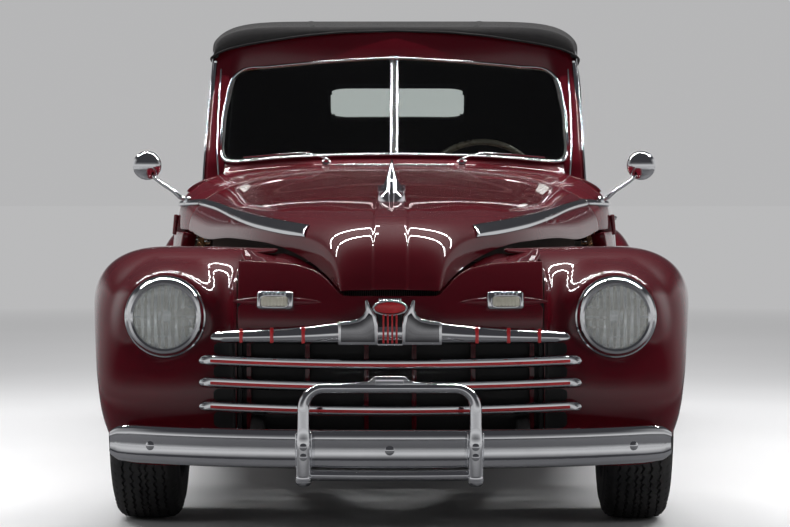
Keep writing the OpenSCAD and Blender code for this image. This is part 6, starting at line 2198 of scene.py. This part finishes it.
@dataclass
class Bumpers:
    """Bumpers with profiled blades, the front hoop, the rear guards and their bolts."""

    blade_z: float = 278.0
    half_length: float = 2491.5
    front_half: float = 797.0
    front_wrap: float = 224.5
    rear_half: float = 790.0
    rear_wrap: float = 269.5
    curve: float = 2.6

    def build(self) -> None:
        """Makes the front and the rear bumper."""
        front_mid, rear_mid = -self.half_length + 62, self.half_length - 62
        front = [self.blade("front_blade", front_mid, front_mid + self.front_wrap, self.front_half, self.blade_z),
                 self.hoop(), self.low_bar(front_mid), self.irons()]
        front += self.bolts(front_mid, -1)
        settle(join("front_bumper_chrome", front), ROOT, "chrome", "front_bumper")
        rear = [self.blade("rear_blade", rear_mid, rear_mid - self.rear_wrap, self.rear_half, self.blade_z + 40),
                *self.guards(rear_mid)]
        settle(join("rear_bumper_chrome", rear), ROOT, "chrome", "rear_bumper")
        settle(dress(self.plate(rear_mid), BLACK_AND_SHADE), ROOT, "chassis_black")

    def blade(self, name: str, mid: float, end: float, half: float, z: float) -> bpy.types.Object:
        """Blade with rolled edges and a raised middle band, wrapped back at its ends."""
        x = lines(-half, half, 140)
        y = mid + (end - mid) * (np.abs(x) / half) ** self.curve
        sense = 1 if end > mid else -1
        profile = ((-53, 9), (-54, 2), (-52, -5), (-47, -9), (-40, -11), (-30, -11.5), (-27, -9), (-24, -8.2),
                   (24, -8.2), (27, -9), (30, -11.5), (40, -11), (47, -9), (52, -5), (54, 2), (53, 9), (46, 11),
                   (-46, 11))
        path = np.stack([x, y, np.full_like(x, z)], 1)
        along = np.gradient(path, axis=0)
        along /= np.linalg.norm(along, axis=1, keepdims=True)
        out = np.stack([along[:, 1], -along[:, 0], np.zeros(len(x))], 1) * sense
        t = np.abs(x) / half
        tall = 1 - 0.10 * smooth(0.90, 1.0, t) - 0.25 * smooth(0.975, 1.0, t)
        rows = []
        for p, o, k in zip(path, out, tall):
            rows.append([p + o * (-dy) + np.array([0, 0, dz * k]) for dz, dy in profile])
        return dress(loft(name, np.array(rows), 30), CHROME)

    def hoop(self) -> bpy.types.Object:
        """Tubular hoop over the front blade with its raised plate."""
        y = -self.half_length + 25
        bend = [(-183 - 56 * math.cos(t), y, 396 + 56 * math.sin(t)) for t in np.linspace(0, np.pi / 2, 14)]
        post = straight([(-239, y, 190), (-239, y, 396)], 10)[:-1].tolist()
        top = straight([(-174, y, 452), (0, y, 452)], 12).tolist()
        half_line = [*post, *bend, *top]
        line = np.array(half_line + [(-p[0], p[1], p[2]) for p in half_line[-2::-1]])
        size = np.interp(line[:, 2], (190, 300, 330, 396, 452), (22, 22, 18.5, 17.5, 13.5))
        bar = dress(tube("hoop", line, oval(1, 1, 28), up=(0, -1, 0), scale=size), CHROME)
        caps = [dress(lathe("hoop_foot", [(0, -6), (14, -4), (20, 2), (22.6, 10), (22.6, 22), (22, 24)],
                            place_at((s * 239, y, 184), (0, 0, 1)), 36), CHROME)
                for s in (-1, 1)]
        crown = dress(prism("hoop_crown", [(-205, 452), (-190, 459), (-120, 466), (-58, 471), (-46, 483),
                                           (-36, 486), (36, 486), (46, 483), (58, 471), (120, 466), (190, 459),
                                           (205, 452)], y - 8, y + 8, 3), CHROME)
        plate = dress(block("hoop_plate", ((-40, y - 12, 466), (40, y + 6, 482)), 3), CHROME)
        brackets = [dress(block("hoop_bracket", ((s * 239 - 24, y, 228), (s * 239 + 24, y + 60, 328)), 5, 3), CHROME)
                    for s in (-1, 1)]
        return join("hoop_set", [bar, *caps, crown, plate, *brackets])

    def low_bar(self, mid: float) -> bpy.types.Object:
        """Thin bar between the guards under the blade."""
        x = lines(-239, 239, 40)
        line = np.stack([x, np.full_like(x, mid - 14), 206 + 2 * (x / 239) ** 2], 1)
        return dress(tube("low_bar", line, oval(15, 15, 18), up=(0, 1, 0)), CHROME)

    def irons(self) -> bpy.types.Object:
        """Bumper irons back to the frame, low behind the blade."""
        back = float(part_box("front_bumper")[1][1]) * 1000
        iron = [(378, -2376, 286), (378, -2320, 288), (378, -2260, 318), (378, back, 330)]
        return pair("bumper_irons",
                    lambda name: dress(tube(name, spline(iron, 24), oval(20, 26, 14, 5), up=(0, 0, 1)), CHASSIS))

    def bolts(self, mid: float, sense: int) -> list[bpy.types.Object]:
        """Domed bolt heads along the blade and on the guards."""
        out = []
        for x in (-680, 0, 690):
            y = mid + self.front_wrap * (abs(x) / self.front_half) ** self.curve
            out.append(dress(lathe("blade_bolt", [(0, 8), (8, 7), (13, 3), (14, -2), (0, -2)],
                                   place_at((x, y - 8, 276), (x / 1600, sense, 0)), 28), CHROME))
        for x in (-239, 239):
            for z in (262, 290):
                out.append(dress(lathe("guard_bolt", [(0, 6), (6, 5), (10, 2), (11, -4), (0, -4)],
                                       place_at((x, -self.half_length + 2, z), (0, sense, 0)), 24), CHROME))
        return out

    def guards(self, mid: float) -> list[bpy.types.Object]:
        """Rear guard posts with their domed heads and irons."""
        out = []
        y = self.half_length - 25
        for s in (-1, 1):
            x = s * 299
            out.append(dress(lathe("rear_guard", [(0, 238), (20, 238), (25, 244), (25, 377), (24, 378), (24, 438),
                                                  (22.5, 447), (17, 455), (9, 461), (0, 462)],
                                   place_at((x, y, 0), (0, 0, 1)), 36), CHROME))
            out.append(dress(block("guard_bracket", ((x - 24, mid, 288), (x + 24, mid + 50, 348)), 5, 3), CHROME))
            out.append(dress(lathe("guard_bolt", [(0, 6), (6, 5), (10, 2), (11, -4), (0, -4)],
                                   place_at((x, y + 24, 318), (0, 1, 0)), 24), CHROME))
        for s in (-1, 1):
            lo = 398 if s > 0 else -438
            out.append(dress(block("rear_iron", ((lo, 2146, 258), (lo + 40, mid - 10, 298)), 4), CHASSIS))
            out.append(dress(block("rear_iron_foot", ((lo, 2106, 258), (lo + 40, 2164, 424)), 4), CHASSIS))
        return out

    @staticmethod
    def plate(mid: float) -> bpy.types.Object:
        """Blank number plate holder at the back."""
        return block("rear_plate", ((-165, mid + 12, 236), (165, mid + 20, 336)), 4)


# ---------------------------------------------------------------- mirrors, wheels, running gear


@dataclass
class Mirrors:
    """Round mirrors on curved arms from the cowl."""

    head: tuple[float, float, float] = (822.0, -723.0, 1066.0)

    def build(self) -> None:
        """Makes both mirrors."""
        settle(pair("mirror", self.one), ROOT, "chrome", "mirrors")

    def one(self, name: str) -> bpy.types.Object:
        """The left mirror: domed shell, silvered glass, swivel, arm and foot."""
        shell = dress(lathe("mirror_shell", [(0, 14), (14, 13), (30, 9), (42, 3), (47, -5), (48, -9), (46, -11),
                                             (44, -10), (0, -10)],
                            place_at(self.head, (0, -1, 0)), 56), CHROME)
        glass = dress(lathe("mirror_glass", [(0, 12), (44, 11.2), (44, 8), (0, 8)], place_at(self.head, (0, 1, 0)),
                            56), MIRROR)
        path = spline([(684, -730, 949), (706, -733, 958), (735, -735, 982), (772, -730, 1006), (800, -723, 1030),
                       (812, -719, 1056)], 50)
        arm = dress(tube("mirror_arm", path, oval(6.5, 6.5, 14), up=(0, 1, 0), scale=lines(1.15, 0.8, 50)), CHROME)
        knuckle = dress(lathe("mirror_swivel", [(0, 12), (7, 10), (10, 4), (10, -4), (7, -10), (0, -12)],
                              place_at((812, -714, 1054), (0, 0, 1)), 28), CHROME)
        foot = dress(lathe("mirror_foot", [(0, 12), (9, 10), (15, 4), (19, 0), (20, -6)],
                           place_at((688, -730, 948), (0.96, 0, 0.28)), 32), CHROME)
        nut = dress(lathe("mirror_nut", [(0, 5), (8, 5), (9, 4), (9, -4), (8, -5), (0, -5)],
                          place_at(path[9], path[10] - path[9]), 6), CHROME)
        return join(name, [shell, glass, arm, knuckle, foot, nut])


WHEEL_BODIES = (("front_left", FRONT_Y, 1), ("front_right", FRONT_Y, -1), ("rear_left", REAR_Y, 1),
                ("rear_right", REAR_Y, -1))


@dataclass
class Wheels:
    """Painted disc wheels with bright caps, and their tyres."""

    rim: float = 208.0
    drum: float = 150.0
    tyre: float = 356.0
    half: float = 102.0
    teeth: int = 72

    def build(self) -> None:
        """Makes the four wheels and tyres."""
        for corner, y, side in WHEEL_BODIES:
            place = Matrix.Translation((WHEEL_X * side, y, AXLE_Z)) @ Matrix.Rotation(math.radians(90 * side), 4, "Y")
            body = f"wheel_{corner}"
            settle(self.wheel(f"wheel_disc_{corner}", place), body, "wheel_paint", body)
            settle(self.trim(f"wheel_trim_{corner}", place), body, "chrome")
            settle(self.rubber(f"tyre_rubber_{corner}", place), body, "tyre", f"tyre_{corner}")

    def wheel(self, name: str, place: Matrix) -> bpy.types.Object:
        """Rim and disc, with the drum behind them."""
        r, d = self.rim, self.drum
        rim = dress(lathe("rim", [
            (d + 2, 38), (d - 6, 42), (d - 26, 40), (d - 40, 26), (88, 24), (82, 25), (70, 44), (34, 50), (20, 50),
            (20, 30), (60, 18),
            (d - 30, 14), (d - 4, 30), (r - 34, 22), (r - 29, 6), (r - 28, -58), (r - 12, -64), (r, -76), (r, -84),
            (r + 8, -84), (r + 7, -72),
            (r - 6, -58), (r - 19, -2), (r - 19, 8), (r - 7, 58), (r + 6, 67), (r + 8, 77), (r + 8, 84), (r + 5, 86),
            (r, 84), (r - 2, 76),
            (r - 14, 62), (r - 19, 48), (r - 28, 34), (r - 38, 31), (d + 8, 33), (d + 2, 38)], place, 120), PAINT)
        drum = dress(lathe("drum", [(16, -12), (d - 12, -10), (d - 12, -30), (d - 4, -31), (d, -27), (d, -20),
                                    (d - 3, -18), (d - 3, -12), (d, -10), (d, 4), (d - 4, 7), (16, 10)], place, 96),
                                    CHASSIS)
        # Black blocks for the vent holes: painted shade seen through the disc.
        vent_shade = REPEAT.make("wheel_vents", block("vent", ((-3, -16, -5), (2, 16, 5)), 4, 3), 12, BLACK_AND_SHADE, radius=128,
                            turn=30,
                            place=self.across(place, 40.5))
        return join(name, [rim, drum, vent_shade])

    @staticmethod
    def across(place: Matrix, out: float) -> Matrix:
        """Place that turns a ring round the X axis into a ring round the wheel's axle, moved out along it."""
        return place @ Matrix.Translation((0, 0, out)) @ Matrix.Rotation(math.radians(-90), 4, "Y")

    def trim(self, name: str, place: Matrix) -> bpy.types.Object:
        """Bright hub cap, with a bare middle, and trim ring."""
        cap = dress(lathe("hub_cap", [(0, 82), (14, 81.5), (27, 79), (33, 76), (36, 77), (60, 72), (82, 62),
                                      (98, 48), (106, 37), (110, 31), (112, 27), (108, 26), (0, 30)], place, 96),
                                      CHROME)
        ring = dress(lathe("trim_ring", [(156, 40), (160, 45), (168, 50), (180, 55), (192, 64), (203, 76),
                                         (213, 86), (217, 86), (218, 83), (213, 81), (203, 71), (190, 59),
                                         (178, 50), (166, 45), (159, 39)], place, 120), STAINLESS)
        red = dress(lathe("cap_ring", [(37, 77.4), (41, 77.6), (46, 76.4), (46, 75), (37, 75.5)], place, 72), RED)
        valve = dress(tube("valve", np.array([(np.array(place) @ (0, 168, z, 1))[:3] for z in (44, 56, 68, 78)]),
                           oval(3.4, 3.4, 10), up=(0, 0, 1)), RUBBER)
        return join(name, [cap, ring, red, valve])

    def rubber(self, name: str, place: Matrix) -> bpy.types.Object:
        """Tyre with its zigzag ribs, shoulder lugs and sidewall rings."""
        steps = 2 * self.teeth
        r, w, rim = self.tyre, self.half, self.rim
        side_line = [(rim + 9, 64), (rim + 10, 72), (rim + 14, 84), (rim + 20, 90), (rim + 24, 92),
                     (rim + 26, 94.5), (rim + 30, 95), (rim + 33, 96.4), (rim + 50, w - 1.4), (rim + 62, w - 0.2),
                     (rim + 78, w), (rim + 92, w - 2.4), (rim + 96, w - 1.4), (rim + 99, w - 3.4), (r - 34, w - 7),
                     (r - 27, w - 9), (r - 20, w - 13), (r - 14, w - 19), (r - 8.5, w - 26)]
        grooves = (60.0, 34.0, 9.0)
        tread = []
        for g in grooves:
            tread += [(g + 4.2, 0), (g + 3.4, 0), (g + 2.6, -7), (g - 2.6, -7), (g - 3.4, 0), (g - 4.2, 0)]
        crown = [(r - 6.5 * (x / 74) ** 2 + dip, x, 1.0) for x, dip in [(72, 0), *tread]]
        profile = [(a, b, 0.0) for a, b in side_line] + crown
        profile += [(a, -b, z) for a, b, z in profile[::-1]]
        inside = [(r - 22, -(w - 34)), (r - 40, -(w - 20)), (rim + 60, -(w - 14)), (rim + 24, -68), (rim + 24, 68),
                  (rim + 60, w - 14), (r - 40, w - 20), (r - 22, w - 34)]
        profile += [(a, b, 0.0) for a, b in inside]
        p = np.array(profile)
        t = 2 * np.pi * np.arange(steps) / steps
        tooth_wave = 3.2 * (2 * np.abs(2 * ((t * self.teeth / (2 * np.pi)) % 1) - 1) - 1)
        x = p[None, :, 1] + tooth_wave[:, None] * p[None, :, 2]
        pts = np.stack([p[None, :, 0] * np.cos(t)[:, None], p[None, :, 0] * np.sin(t)[:, None], x], -1)
        pts = carried(pts, place)
        n = len(p)
        faces = []
        for i in range(steps):
            j = (i + 1) % steps
            faces += [(i * n + k, j * n + k, j * n + (k + 1) % n, i * n + (k + 1) % n) for k in range(n)]
        carcass = dress(crisp(outward(new_mesh("carcass", pts, faces)), 38), TYRE)
        lugs = [dress(REPEAT.make("lugs",
                                  block("lug", ((-10, -3.6, -2), (10, 3.6, 2)), 1.2, 2,
                                        place_moved((0, 0, 0), (0, s * 52, 0))), self.teeth, TYRE,
                                  radius=r - 20.5, turn=360 / self.teeth, place=self.across(place, s * (w - 14.5))),
                                  TYRE) for s in (-1, 1)]
        return join(name, [carcass, *lugs])


@dataclass
class SteeringWheel:
    """Steering wheel with its horn ring, and the shift lever on the column."""

    hub: tuple[float, float, float] = (300.0, -250.0, 968.0)
    lean: float = 60.277
    ring: float = 204.0

    def place(self) -> Matrix:
        """The wheel's place, its Z axis along the column towards the driver."""
        m = Matrix.Rotation(math.radians(-self.lean), 4, "X")
        m.translation = Vector(self.hub)
        return m

    def build(self) -> None:
        """Makes the wheel and the lever."""
        place = self.place()
        m = np.array(place)
        t = 2 * np.pi * np.arange(180) / 180
        path = np.stack([self.ring * np.cos(t), self.ring * np.sin(t), np.zeros(180), np.ones(180)], 1) @ m.T
        grips = 1 - 0.05 * (np.cos(t * 60) > 0.2)
        rim = dress(tube("wheel_rim", path[:, :3], oval(10.6, 10.6, 16), up=m[:3, 2], closed=True, scale=grips),
                    SHADED_IVORY)
        pieces = [rim]
        for a in (90, 210, 330):
            c, s = math.cos(math.radians(a)), math.sin(math.radians(a))
            stations = ((34, -5), (90, -7), (150, -5), (198, 0))
            line = spline([(np.array([c * q, s * q, z, 1]) @ m.T)[:3] for q, z in stations], 30)
            pieces.append(dress(tube("spoke", line, oval(9, 4.2, 12, 2.6), up=m[:3, 2], scale=lines(1.15, 0.8, 30)),
                                SHADED_IVORY))
        pieces.append(dress(lathe("wheel_hub", [(0, 9), (28, 8), (38, 4), (42, -2), (43, -14), (30, -16), (0, -16)],
                                  place, 48), SHADED_IVORY))
        pieces.append(dress(lathe("horn_button", [(0, 16), (16, 14.5), (25, 10), (28, 6), (0, 6)], place, 48),
                            CHROME))
        horn = np.stack([136 * np.cos(t), 136 * np.sin(t), np.full(180, 3.0), np.ones(180)], 1) @ m.T
        pieces.append(dress(tube("horn_ring", horn[:, :3], oval(3.2, 3.2, 10), up=m[:3, 2], closed=True), CHROME))
        for a in (30, 150, 270):
            c, s = math.cos(math.radians(a)), math.sin(math.radians(a))
            line = np.array([(np.array([c * q, s * q, z, 1]) @ m.T)[:3] for q, z in ((24, 10), (80, 6), (136, 3))])
            pieces.append(dress(tube("horn_arm", line, oval(3.4, 2.2, 10), up=m[:3, 2]), CHROME))
        settle(join("steering_wheel_ivory", pieces), "steering_wheel", "ivory_plastic", "steering_wheel")
        self.column(m)

    def column(self, m: np.ndarray) -> None:
        """Column jacket, its bracket under the dash, and the shift lever."""
        down = -m[:3, 2]
        hub = np.array(self.hub)
        jacket = lathe("column_jacket", [(0, 0), (20, 0), (23, -3), (23, -180), (22, -190), (22, -560), (0, -560)],
                       place_at(hub + down * 30, -down), 40)
        root = hub + down * 96
        knob = hub + np.array([-196, 10, 30.0])
        lever = tube("shift_lever", spline([root, root + (-60, -6, 10), knob + (50, 0, -8), knob], 40),
                     oval(4.2, 4.2, 12), scale=lines(1.2, 0.85, 40))
        ball = lathe("shift_knob", [(0, 16), (8, 14), (12, 6), (12, -4), (8, -12), (0, -15)],
                     place_at(knob, (-0.97, 0.1, 0.2)), 32)
        clamp = block("column_clamp", ((252, -560, 858), (348, -512, 884)), 6, 2)
        settle(join("steering_column_trim",
                    [dress(jacket, DASH), dress(lever, CHROME), dress(ball, IVORY), dress(clamp, CHROME)]),
               ROOT, "dash_paint", "steering_column")


def pad(name: str, corners: tuple[Point, Point], radius: float, crown: float, pleats: int, depth: float,
        place: Matrix | None = None, cells: tuple[int, int, int] = (64, 30, 12)) -> bpy.types.Object:
    """Stuffed pad: a rounded box, crowned, with sewn channels on its faces.

    Args:
        name: The piece's name.
        corners: Two corners of its box.
        radius: Radius of its edges.
        crown: How far its middle stands out on top.
        pleats: How many channels cross it.
        depth: Depth of a channel's seam.
        place: Where it stands, or None.
        cells: Cells along X, Y and Z.

    Returns:
        The pad.
    """
    lo, hi = np.array(corners[0], float), np.array(corners[1], float)
    mid, half = (lo + hi) / 2, (hi - lo) / 2
    verts: dict[tuple[int, int, int], int] = {}
    points, faces = [], []

    def index(key: tuple[int, int, int]) -> int:
        """Number of the point at a place on the box's lattice."""
        if key not in verts:
            verts[key] = len(points)
            points.append([2 * k / c - 1 for k, c in zip(key, cells)])
        return verts[key]

    for axis in range(3):
        u, v = (axis + 1) % 3, (axis + 2) % 3
        for end in (0, cells[axis]):
            for i in range(cells[u]):
                for j in range(cells[v]):
                    quad = []
                    for a, b in ((i, j), (i + 1, j), (i + 1, j + 1), (i, j + 1)):
                        key = [0, 0, 0]
                        key[axis], key[u], key[v] = end, a, b
                        quad.append(index(tuple(key)))
                    faces.append(quad if end else quad[::-1])
    unit = np.array(points)
    p = unit * half
    core = np.clip(p, -(half - radius), half - radius)
    off = p - core
    length = np.linalg.norm(off, axis=1, keepdims=True)
    n = off / np.maximum(length, 1e-9)
    p = core + n * np.minimum(length, radius)
    top = smooth(0.2, 0.95, n[:, 2]) + smooth(0.2, 0.95, -n[:, 1]) * 0.6
    swell = crown * (1 - unit[:, 0] ** 4) * (1 - unit[:, 1] ** 2) * smooth(0.3, 0.9, n[:, 2])
    t = (unit[:, 0] + 1) / 2 * pleats
    seam = 1 - np.minimum(np.abs(np.sin(np.pi * t)) * 2.2, 1)
    inner = smooth(1.0, 0.9, np.abs(unit[:, 0]))
    p[:, 2] += swell
    p -= n * (depth * seam * inner * np.clip(top, 0, 1))[:, None]
    p += mid
    if place is not None:
        p = carried(p, place)
    return outward(new_mesh(name, p, faces))


@dataclass
class Seats:
    """Front bench with its two folding backs, and the rear bench."""

    def build(self) -> None:
        """Makes the cushions, the bases, the backs and the piping of the front ones."""
        lo, hi = box_of("front_seat")
        cushion = pad("front_cushion", ((lo[0] + 6, lo[1] + 4, 470), (hi[0] - 6, 436, 606)), 46, 10, 22, 7)
        base = block("front_seat_base", ((lo[0] + 14, lo[1] + 20, lo[2]), (-140, 430, 474)), 12, 3)
        base2 = mirrored(base, "front_seat_base_right")
        self.leather(cushion, 0.75, "front_seat")
        settle(dress(join("front_seat_bases", [base, base2]), LEATHER), ROOT, "leather")
        tilt = Matrix.Translation((0, 330, 600)) @ Matrix.Rotation(math.radians(-12), 4, "X")
        for s, side in ((1, "left"), (-1, "right")):
            x0, x1 = sorted((s * 6, s * 604))
            back = pad(f"front_back_{side}", ((x0, 4, -14), (x1, 122, 410)), 44, 4, 11, 7, tilt, (44, 14, 36))
            self.leather(back, 0.8)
            pipe = np.array([(np.array(tilt) @ (x, 70, z, 1))[:3] for x, z in (
                (x0 + 12, 20), (x0 + 12, 380), (x0 + 40, 406), (x1 - 40, 406), (x1 - 12, 380), (x1 - 12, 20))])
            cord = tube(f"front_back_trim_{side}", spline(pipe, 90), oval(4, 4, 8), up=(0, 1, 0))
            settle(dress(cord, LEATHER), ROOT, "leather")
        rear_lo, rear_hi = box_of("rear_seat")
        bench = pad("rear_cushion",
                    ((rear_lo[0], rear_lo[1], rear_lo[2]), (rear_hi[0], rear_lo[1] + 330, rear_lo[2] + 150)), 44, 8,
                    20, 7)
        self.leather(bench, 0.75, "rear_seat")
        lean = Matrix.Translation((0, 1050, rear_lo[2] + 140)) @ Matrix.Rotation(math.radians(-8), 4, "X")
        back = pad("rear_back", ((-552, 2, 0), (552, 98, 326)), 40, 3, 20, 7, lean, (80, 12, 30))
        self.leather(back, 0.8)

    @staticmethod
    def leather(obj: bpy.types.Object, fill: float, *nodes: str) -> None:
        settle(dress(obj, LEATHER), ROOT, "leather", *nodes)


@dataclass
class Dashboard:
    """Rounded dashboard with its dials, radio grille and switches."""

    def build(self) -> None:
        """Makes the panel and what is set in it."""
        lo, hi = box_of("dashboard")
        back, front = lo[1], hi[1]
        profile = [(back, 1030), (back + 6, 1034), (back + 50, 1034), (front - 16, 1030), (front - 4, 1020),
                   (front, 1006), (front - 6, 992), (front - 14, 980), (front - 22, 960), (front - 26, 930),
                   (front - 28, 905), (front - 32, 888), (front - 44, 881), (back + 20, 881)]
        x = lines(hi[0], lo[0], 60)
        grid = np.array([[(a, y, z) for y, z in profile] for a in x], float)
        n, m = grid.shape[:2]
        faces = grid_faces(n, m, wrap=True) + end_faces(n, m)
        body = dress(crisp(outward(new_mesh("dash_body", grid.reshape(-1, 3), faces)), 50), DASH)
        face = front - 25
        pieces = [body, *self.dial(300, face, 936, 58), *self.dial(-300, face, 936, 46)]
        bars = REPEAT.make("radio_bars", block("bar", ((-92, -4, -2.2), (92, 4, 2.2)), 2), 11, CHROME,
                           step=(0, 0, 8.2),
                           place=Matrix.Translation((0, face, 897)))
        pieces.append(bars)
        for k, px in enumerate((-186, -150, 128, 164, 392, 430)):
            pieces.append(dress(lathe("dash_knob", [(0, 20), (8, 19), (10, 14), (6, 8), (5, 0), (0, 0)],
                                      place_at((px, face + 2, 912 + 8 * (k % 2)), (0, 1, 0)), 24), IVORY))
        pieces.append(dress(tube("dash_strip",
                                 np.array([(hi[0] - 20, front - 6, 1000), (0, front - 6, 1000),
                                           (lo[0] + 20, front - 6, 1000)]), oval(3, 3, 8)), CHROME))
        settle(join("dash_panel", pieces), ROOT, "dash_paint", "dashboard")

    @staticmethod
    def dial(x: float, y: float, z: float, r: float) -> list[bpy.types.Object]:
        """A round dial: bezel, face, strokes and needle."""
        place = place_at((x, y, z), (0, 1, 0))
        bezel = dress(lathe("dial_bezel", [(r - 6, 4), (r - 4, 9), (r, 10), (r + 4, 7), (r + 6, 0), (r + 5, -4),
                                           (r - 6, -4)], place, 64), CHROME)
        face = dress(lathe("dial_face", [(0, 3), (r - 6, 3), (r - 6, -2), (0, -2)], place, 64), DIAL)
        strokes = REPEAT.make("dial_strokes", block("stroke", ((-0.8, -0.9, -4), (0.8, 0.9, 4)), 0.3), 24, BLACK_AND_SHADE,
                              radius=r - 15, turn=15,
                              place=Matrix.Translation((x, y + 3.4, z)) @ Matrix.Rotation(math.radians(90), 4, "Z"))
        needle = dress(block("needle", ((-1.2, 0, -6), (1.2, 1.6, r - 14)), 0.4, 1,
                             place_moved((x, y + 4.4, z), (0, -38, 0))), RED)
        return [bezel, face, strokes, needle]


@dataclass
class DoorGlass:
    """Door glass with its bright frames and the vent wings."""

    def build(self) -> None:
        """Makes both doors' glass, frames and wings."""
        for side, frames, panes in zip(("left", "right"), both("door_glass_frame", self.frames),
                                       both("door_glass_pane", self.panes)):
            settle(frames, f"door_{side}", "chrome", f"door_glass_{side}")
            settle(dress(panes, GLASS), f"door_{side}", "glass")

    @staticmethod
    def x_at(z: float) -> float:
        """Distance of the glass from the middle at a height."""
        return 641 - 0.066 * (z - BELT_Z)

    def at(self, y: float, z: float) -> tuple[float, float, float]:
        """Point in the plane of the glass."""
        return (self.x_at(z), y, z)

    def frames(self, name: str) -> bpy.types.Object:
        """Frame of the vent wing, its division bar and the glass's bright edge."""
        low, front = BELT_Z + 5, DOOR_FRONT + 24
        slope = [self.at(front, low), self.at(front + 92, 1200), self.at(DOOR_FRONT + 190, GLASS_TOP - 6)]
        bar = [self.at(front + 300, low), self.at(front + 300, GLASS_TOP - 8)]
        top = [self.at(DOOR_FRONT + 190, GLASS_TOP - 2), self.at(front + 300, GLASS_TOP - 2),
               self.at(DOOR_REAR - 16, GLASS_TOP - 2)]
        rear = [self.at(DOOR_REAR - 18, low), self.at(DOOR_REAR - 18, GLASS_TOP - 4)]
        bars = ((slope, (6, 6)), (bar, (6, 8)), (top, (4, 5)), (rear, (4, 5)))
        made = [tube(f"{name}_{k}", straight(line, 30), oval(*size, 12, 2.8), up=(1, 0, 0))
                for k, (line, size) in enumerate(bars)]
        catch = lathe(f"{name}_catch", [(0, 8), (7, 6), (9, 0), (9, -4), (0, -4)],
                      place_at(self.at(front + 276, low + 60), (-1, 0, 0)), 20)
        return dress(join(name, [*made, catch]), CHROME)

    def panes(self, name: str) -> bpy.types.Object:
        """Vent wing and main pane."""
        low = BELT_Z + 2
        out = []
        both_panes = ((DOOR_FRONT + 32, DOOR_FRONT + 318, True), (DOOR_FRONT + 330, DOOR_REAR - 20, False))
        heights, edges = (low, 1200, GLASS_TOP), (DOOR_FRONT + 24, DOOR_FRONT + 116, DOOR_FRONT + 190)
        for k, (y0, y1, cut) in enumerate(both_panes):
            rows = []
            for z in lines(low, GLASS_TOP - 4, 24):
                start = max(y0, float(np.interp(z, heights, edges)) + 6) if cut else y0
                rows.append([self.at(y, z) for y in lines(start, y1, 12)])
            out.append(panel(f"{name}_{k}", np.array(rows)[:, ::-1], 5, 0.6))
        return join(name, out)


@dataclass
class Underbody:
    """Finishes of the solids that show below and inside, and the small pieces on them."""

    finishes: tuple[tuple[str, Finish], ...] = (
        ("chassis_frame", CHASSIS), ("engine_block", ENGINE), ("radiator", BLACK_AND_SHADE), ("front_axle", CHASSIS),
        ("rear_axle", CHASSIS),
        ("exhaust", STEEL), ("fuel_tank", CHASSIS), ("floor_pan", CARPET), ("knuckle_left", STEEL),
        ("knuckle_right", STEEL),
        ("tie_rod", STEEL))

    def build(self) -> None:
        """Finishes the solids, and adds the radiator's fins and cap and the engine's air cleaner."""
        for name, finish in self.finishes:
            refinish(frame["nodes"][name], finish)
        self.radiator()
        self.engine()

    @staticmethod
    def radiator() -> None:
        """Cooling fins on the radiator's front, and its cap."""
        lo, hi = box_of("radiator")
        width, count = hi[0] - lo[0] - 60, 70
        fins = REPEAT.make("radiator_fins", block("fin", ((0, -3, 0), (2.2, 3, hi[2] - lo[2] - 90)), 0.5, 1), count,
                           STEEL,
                           step=(width / count, 0, 0), place=Matrix.Translation((lo[0] + 30, lo[1] - 2, lo[2] + 40)))
        cap = dress(lathe("radiator_cap", [(0, 18), (20, 17), (24, 12), (24, 4), (16, 0), (16, -8), (0, -8)],
                          place_at((0, (lo[1] + hi[1]) / 2, hi[2] + 8), (0, 0, 1)), 40), STEEL)
        settle(join("radiator_detail", [fins, cap]), ROOT, "steel")

    @staticmethod
    def engine() -> None:
        """Air cleaner on top of the engine."""
        lo, hi = box_of("engine_block")
        top, mid = hi[2], lo[1] + 260
        cleaner = dress(lathe("air_cleaner", [(0, 60), (70, 60), (96, 54), (102, 46), (102, 20), (94, 14), (46, 10),
                                              (40, 0), (0, 0)],
                              place_at((0, mid, top - 4), (0, 0, 1)), 64), BLACK_AND_SHADE)
        settle(cleaner, ROOT, "engine_paint")


def main() -> None:
    """Builds the looks of the whole car."""
    logging.basicConfig(level=logging.INFO, format="%(message)s")
    Studio().build()
    for part in (Hood(), Cowl(), FrontFender(), RearFender(), Nose(), RearBody(), TrunkLid(), Doors(), CanvasTop(),
                 Windshield(), Grille(), Lamps(), Bumpers(), Mirrors(), Wheels(), SteeringWheel(), Seats(),
                 Dashboard(), DoorGlass(), Underbody()):
        part.build()


if __name__ == "__main__":
    main()
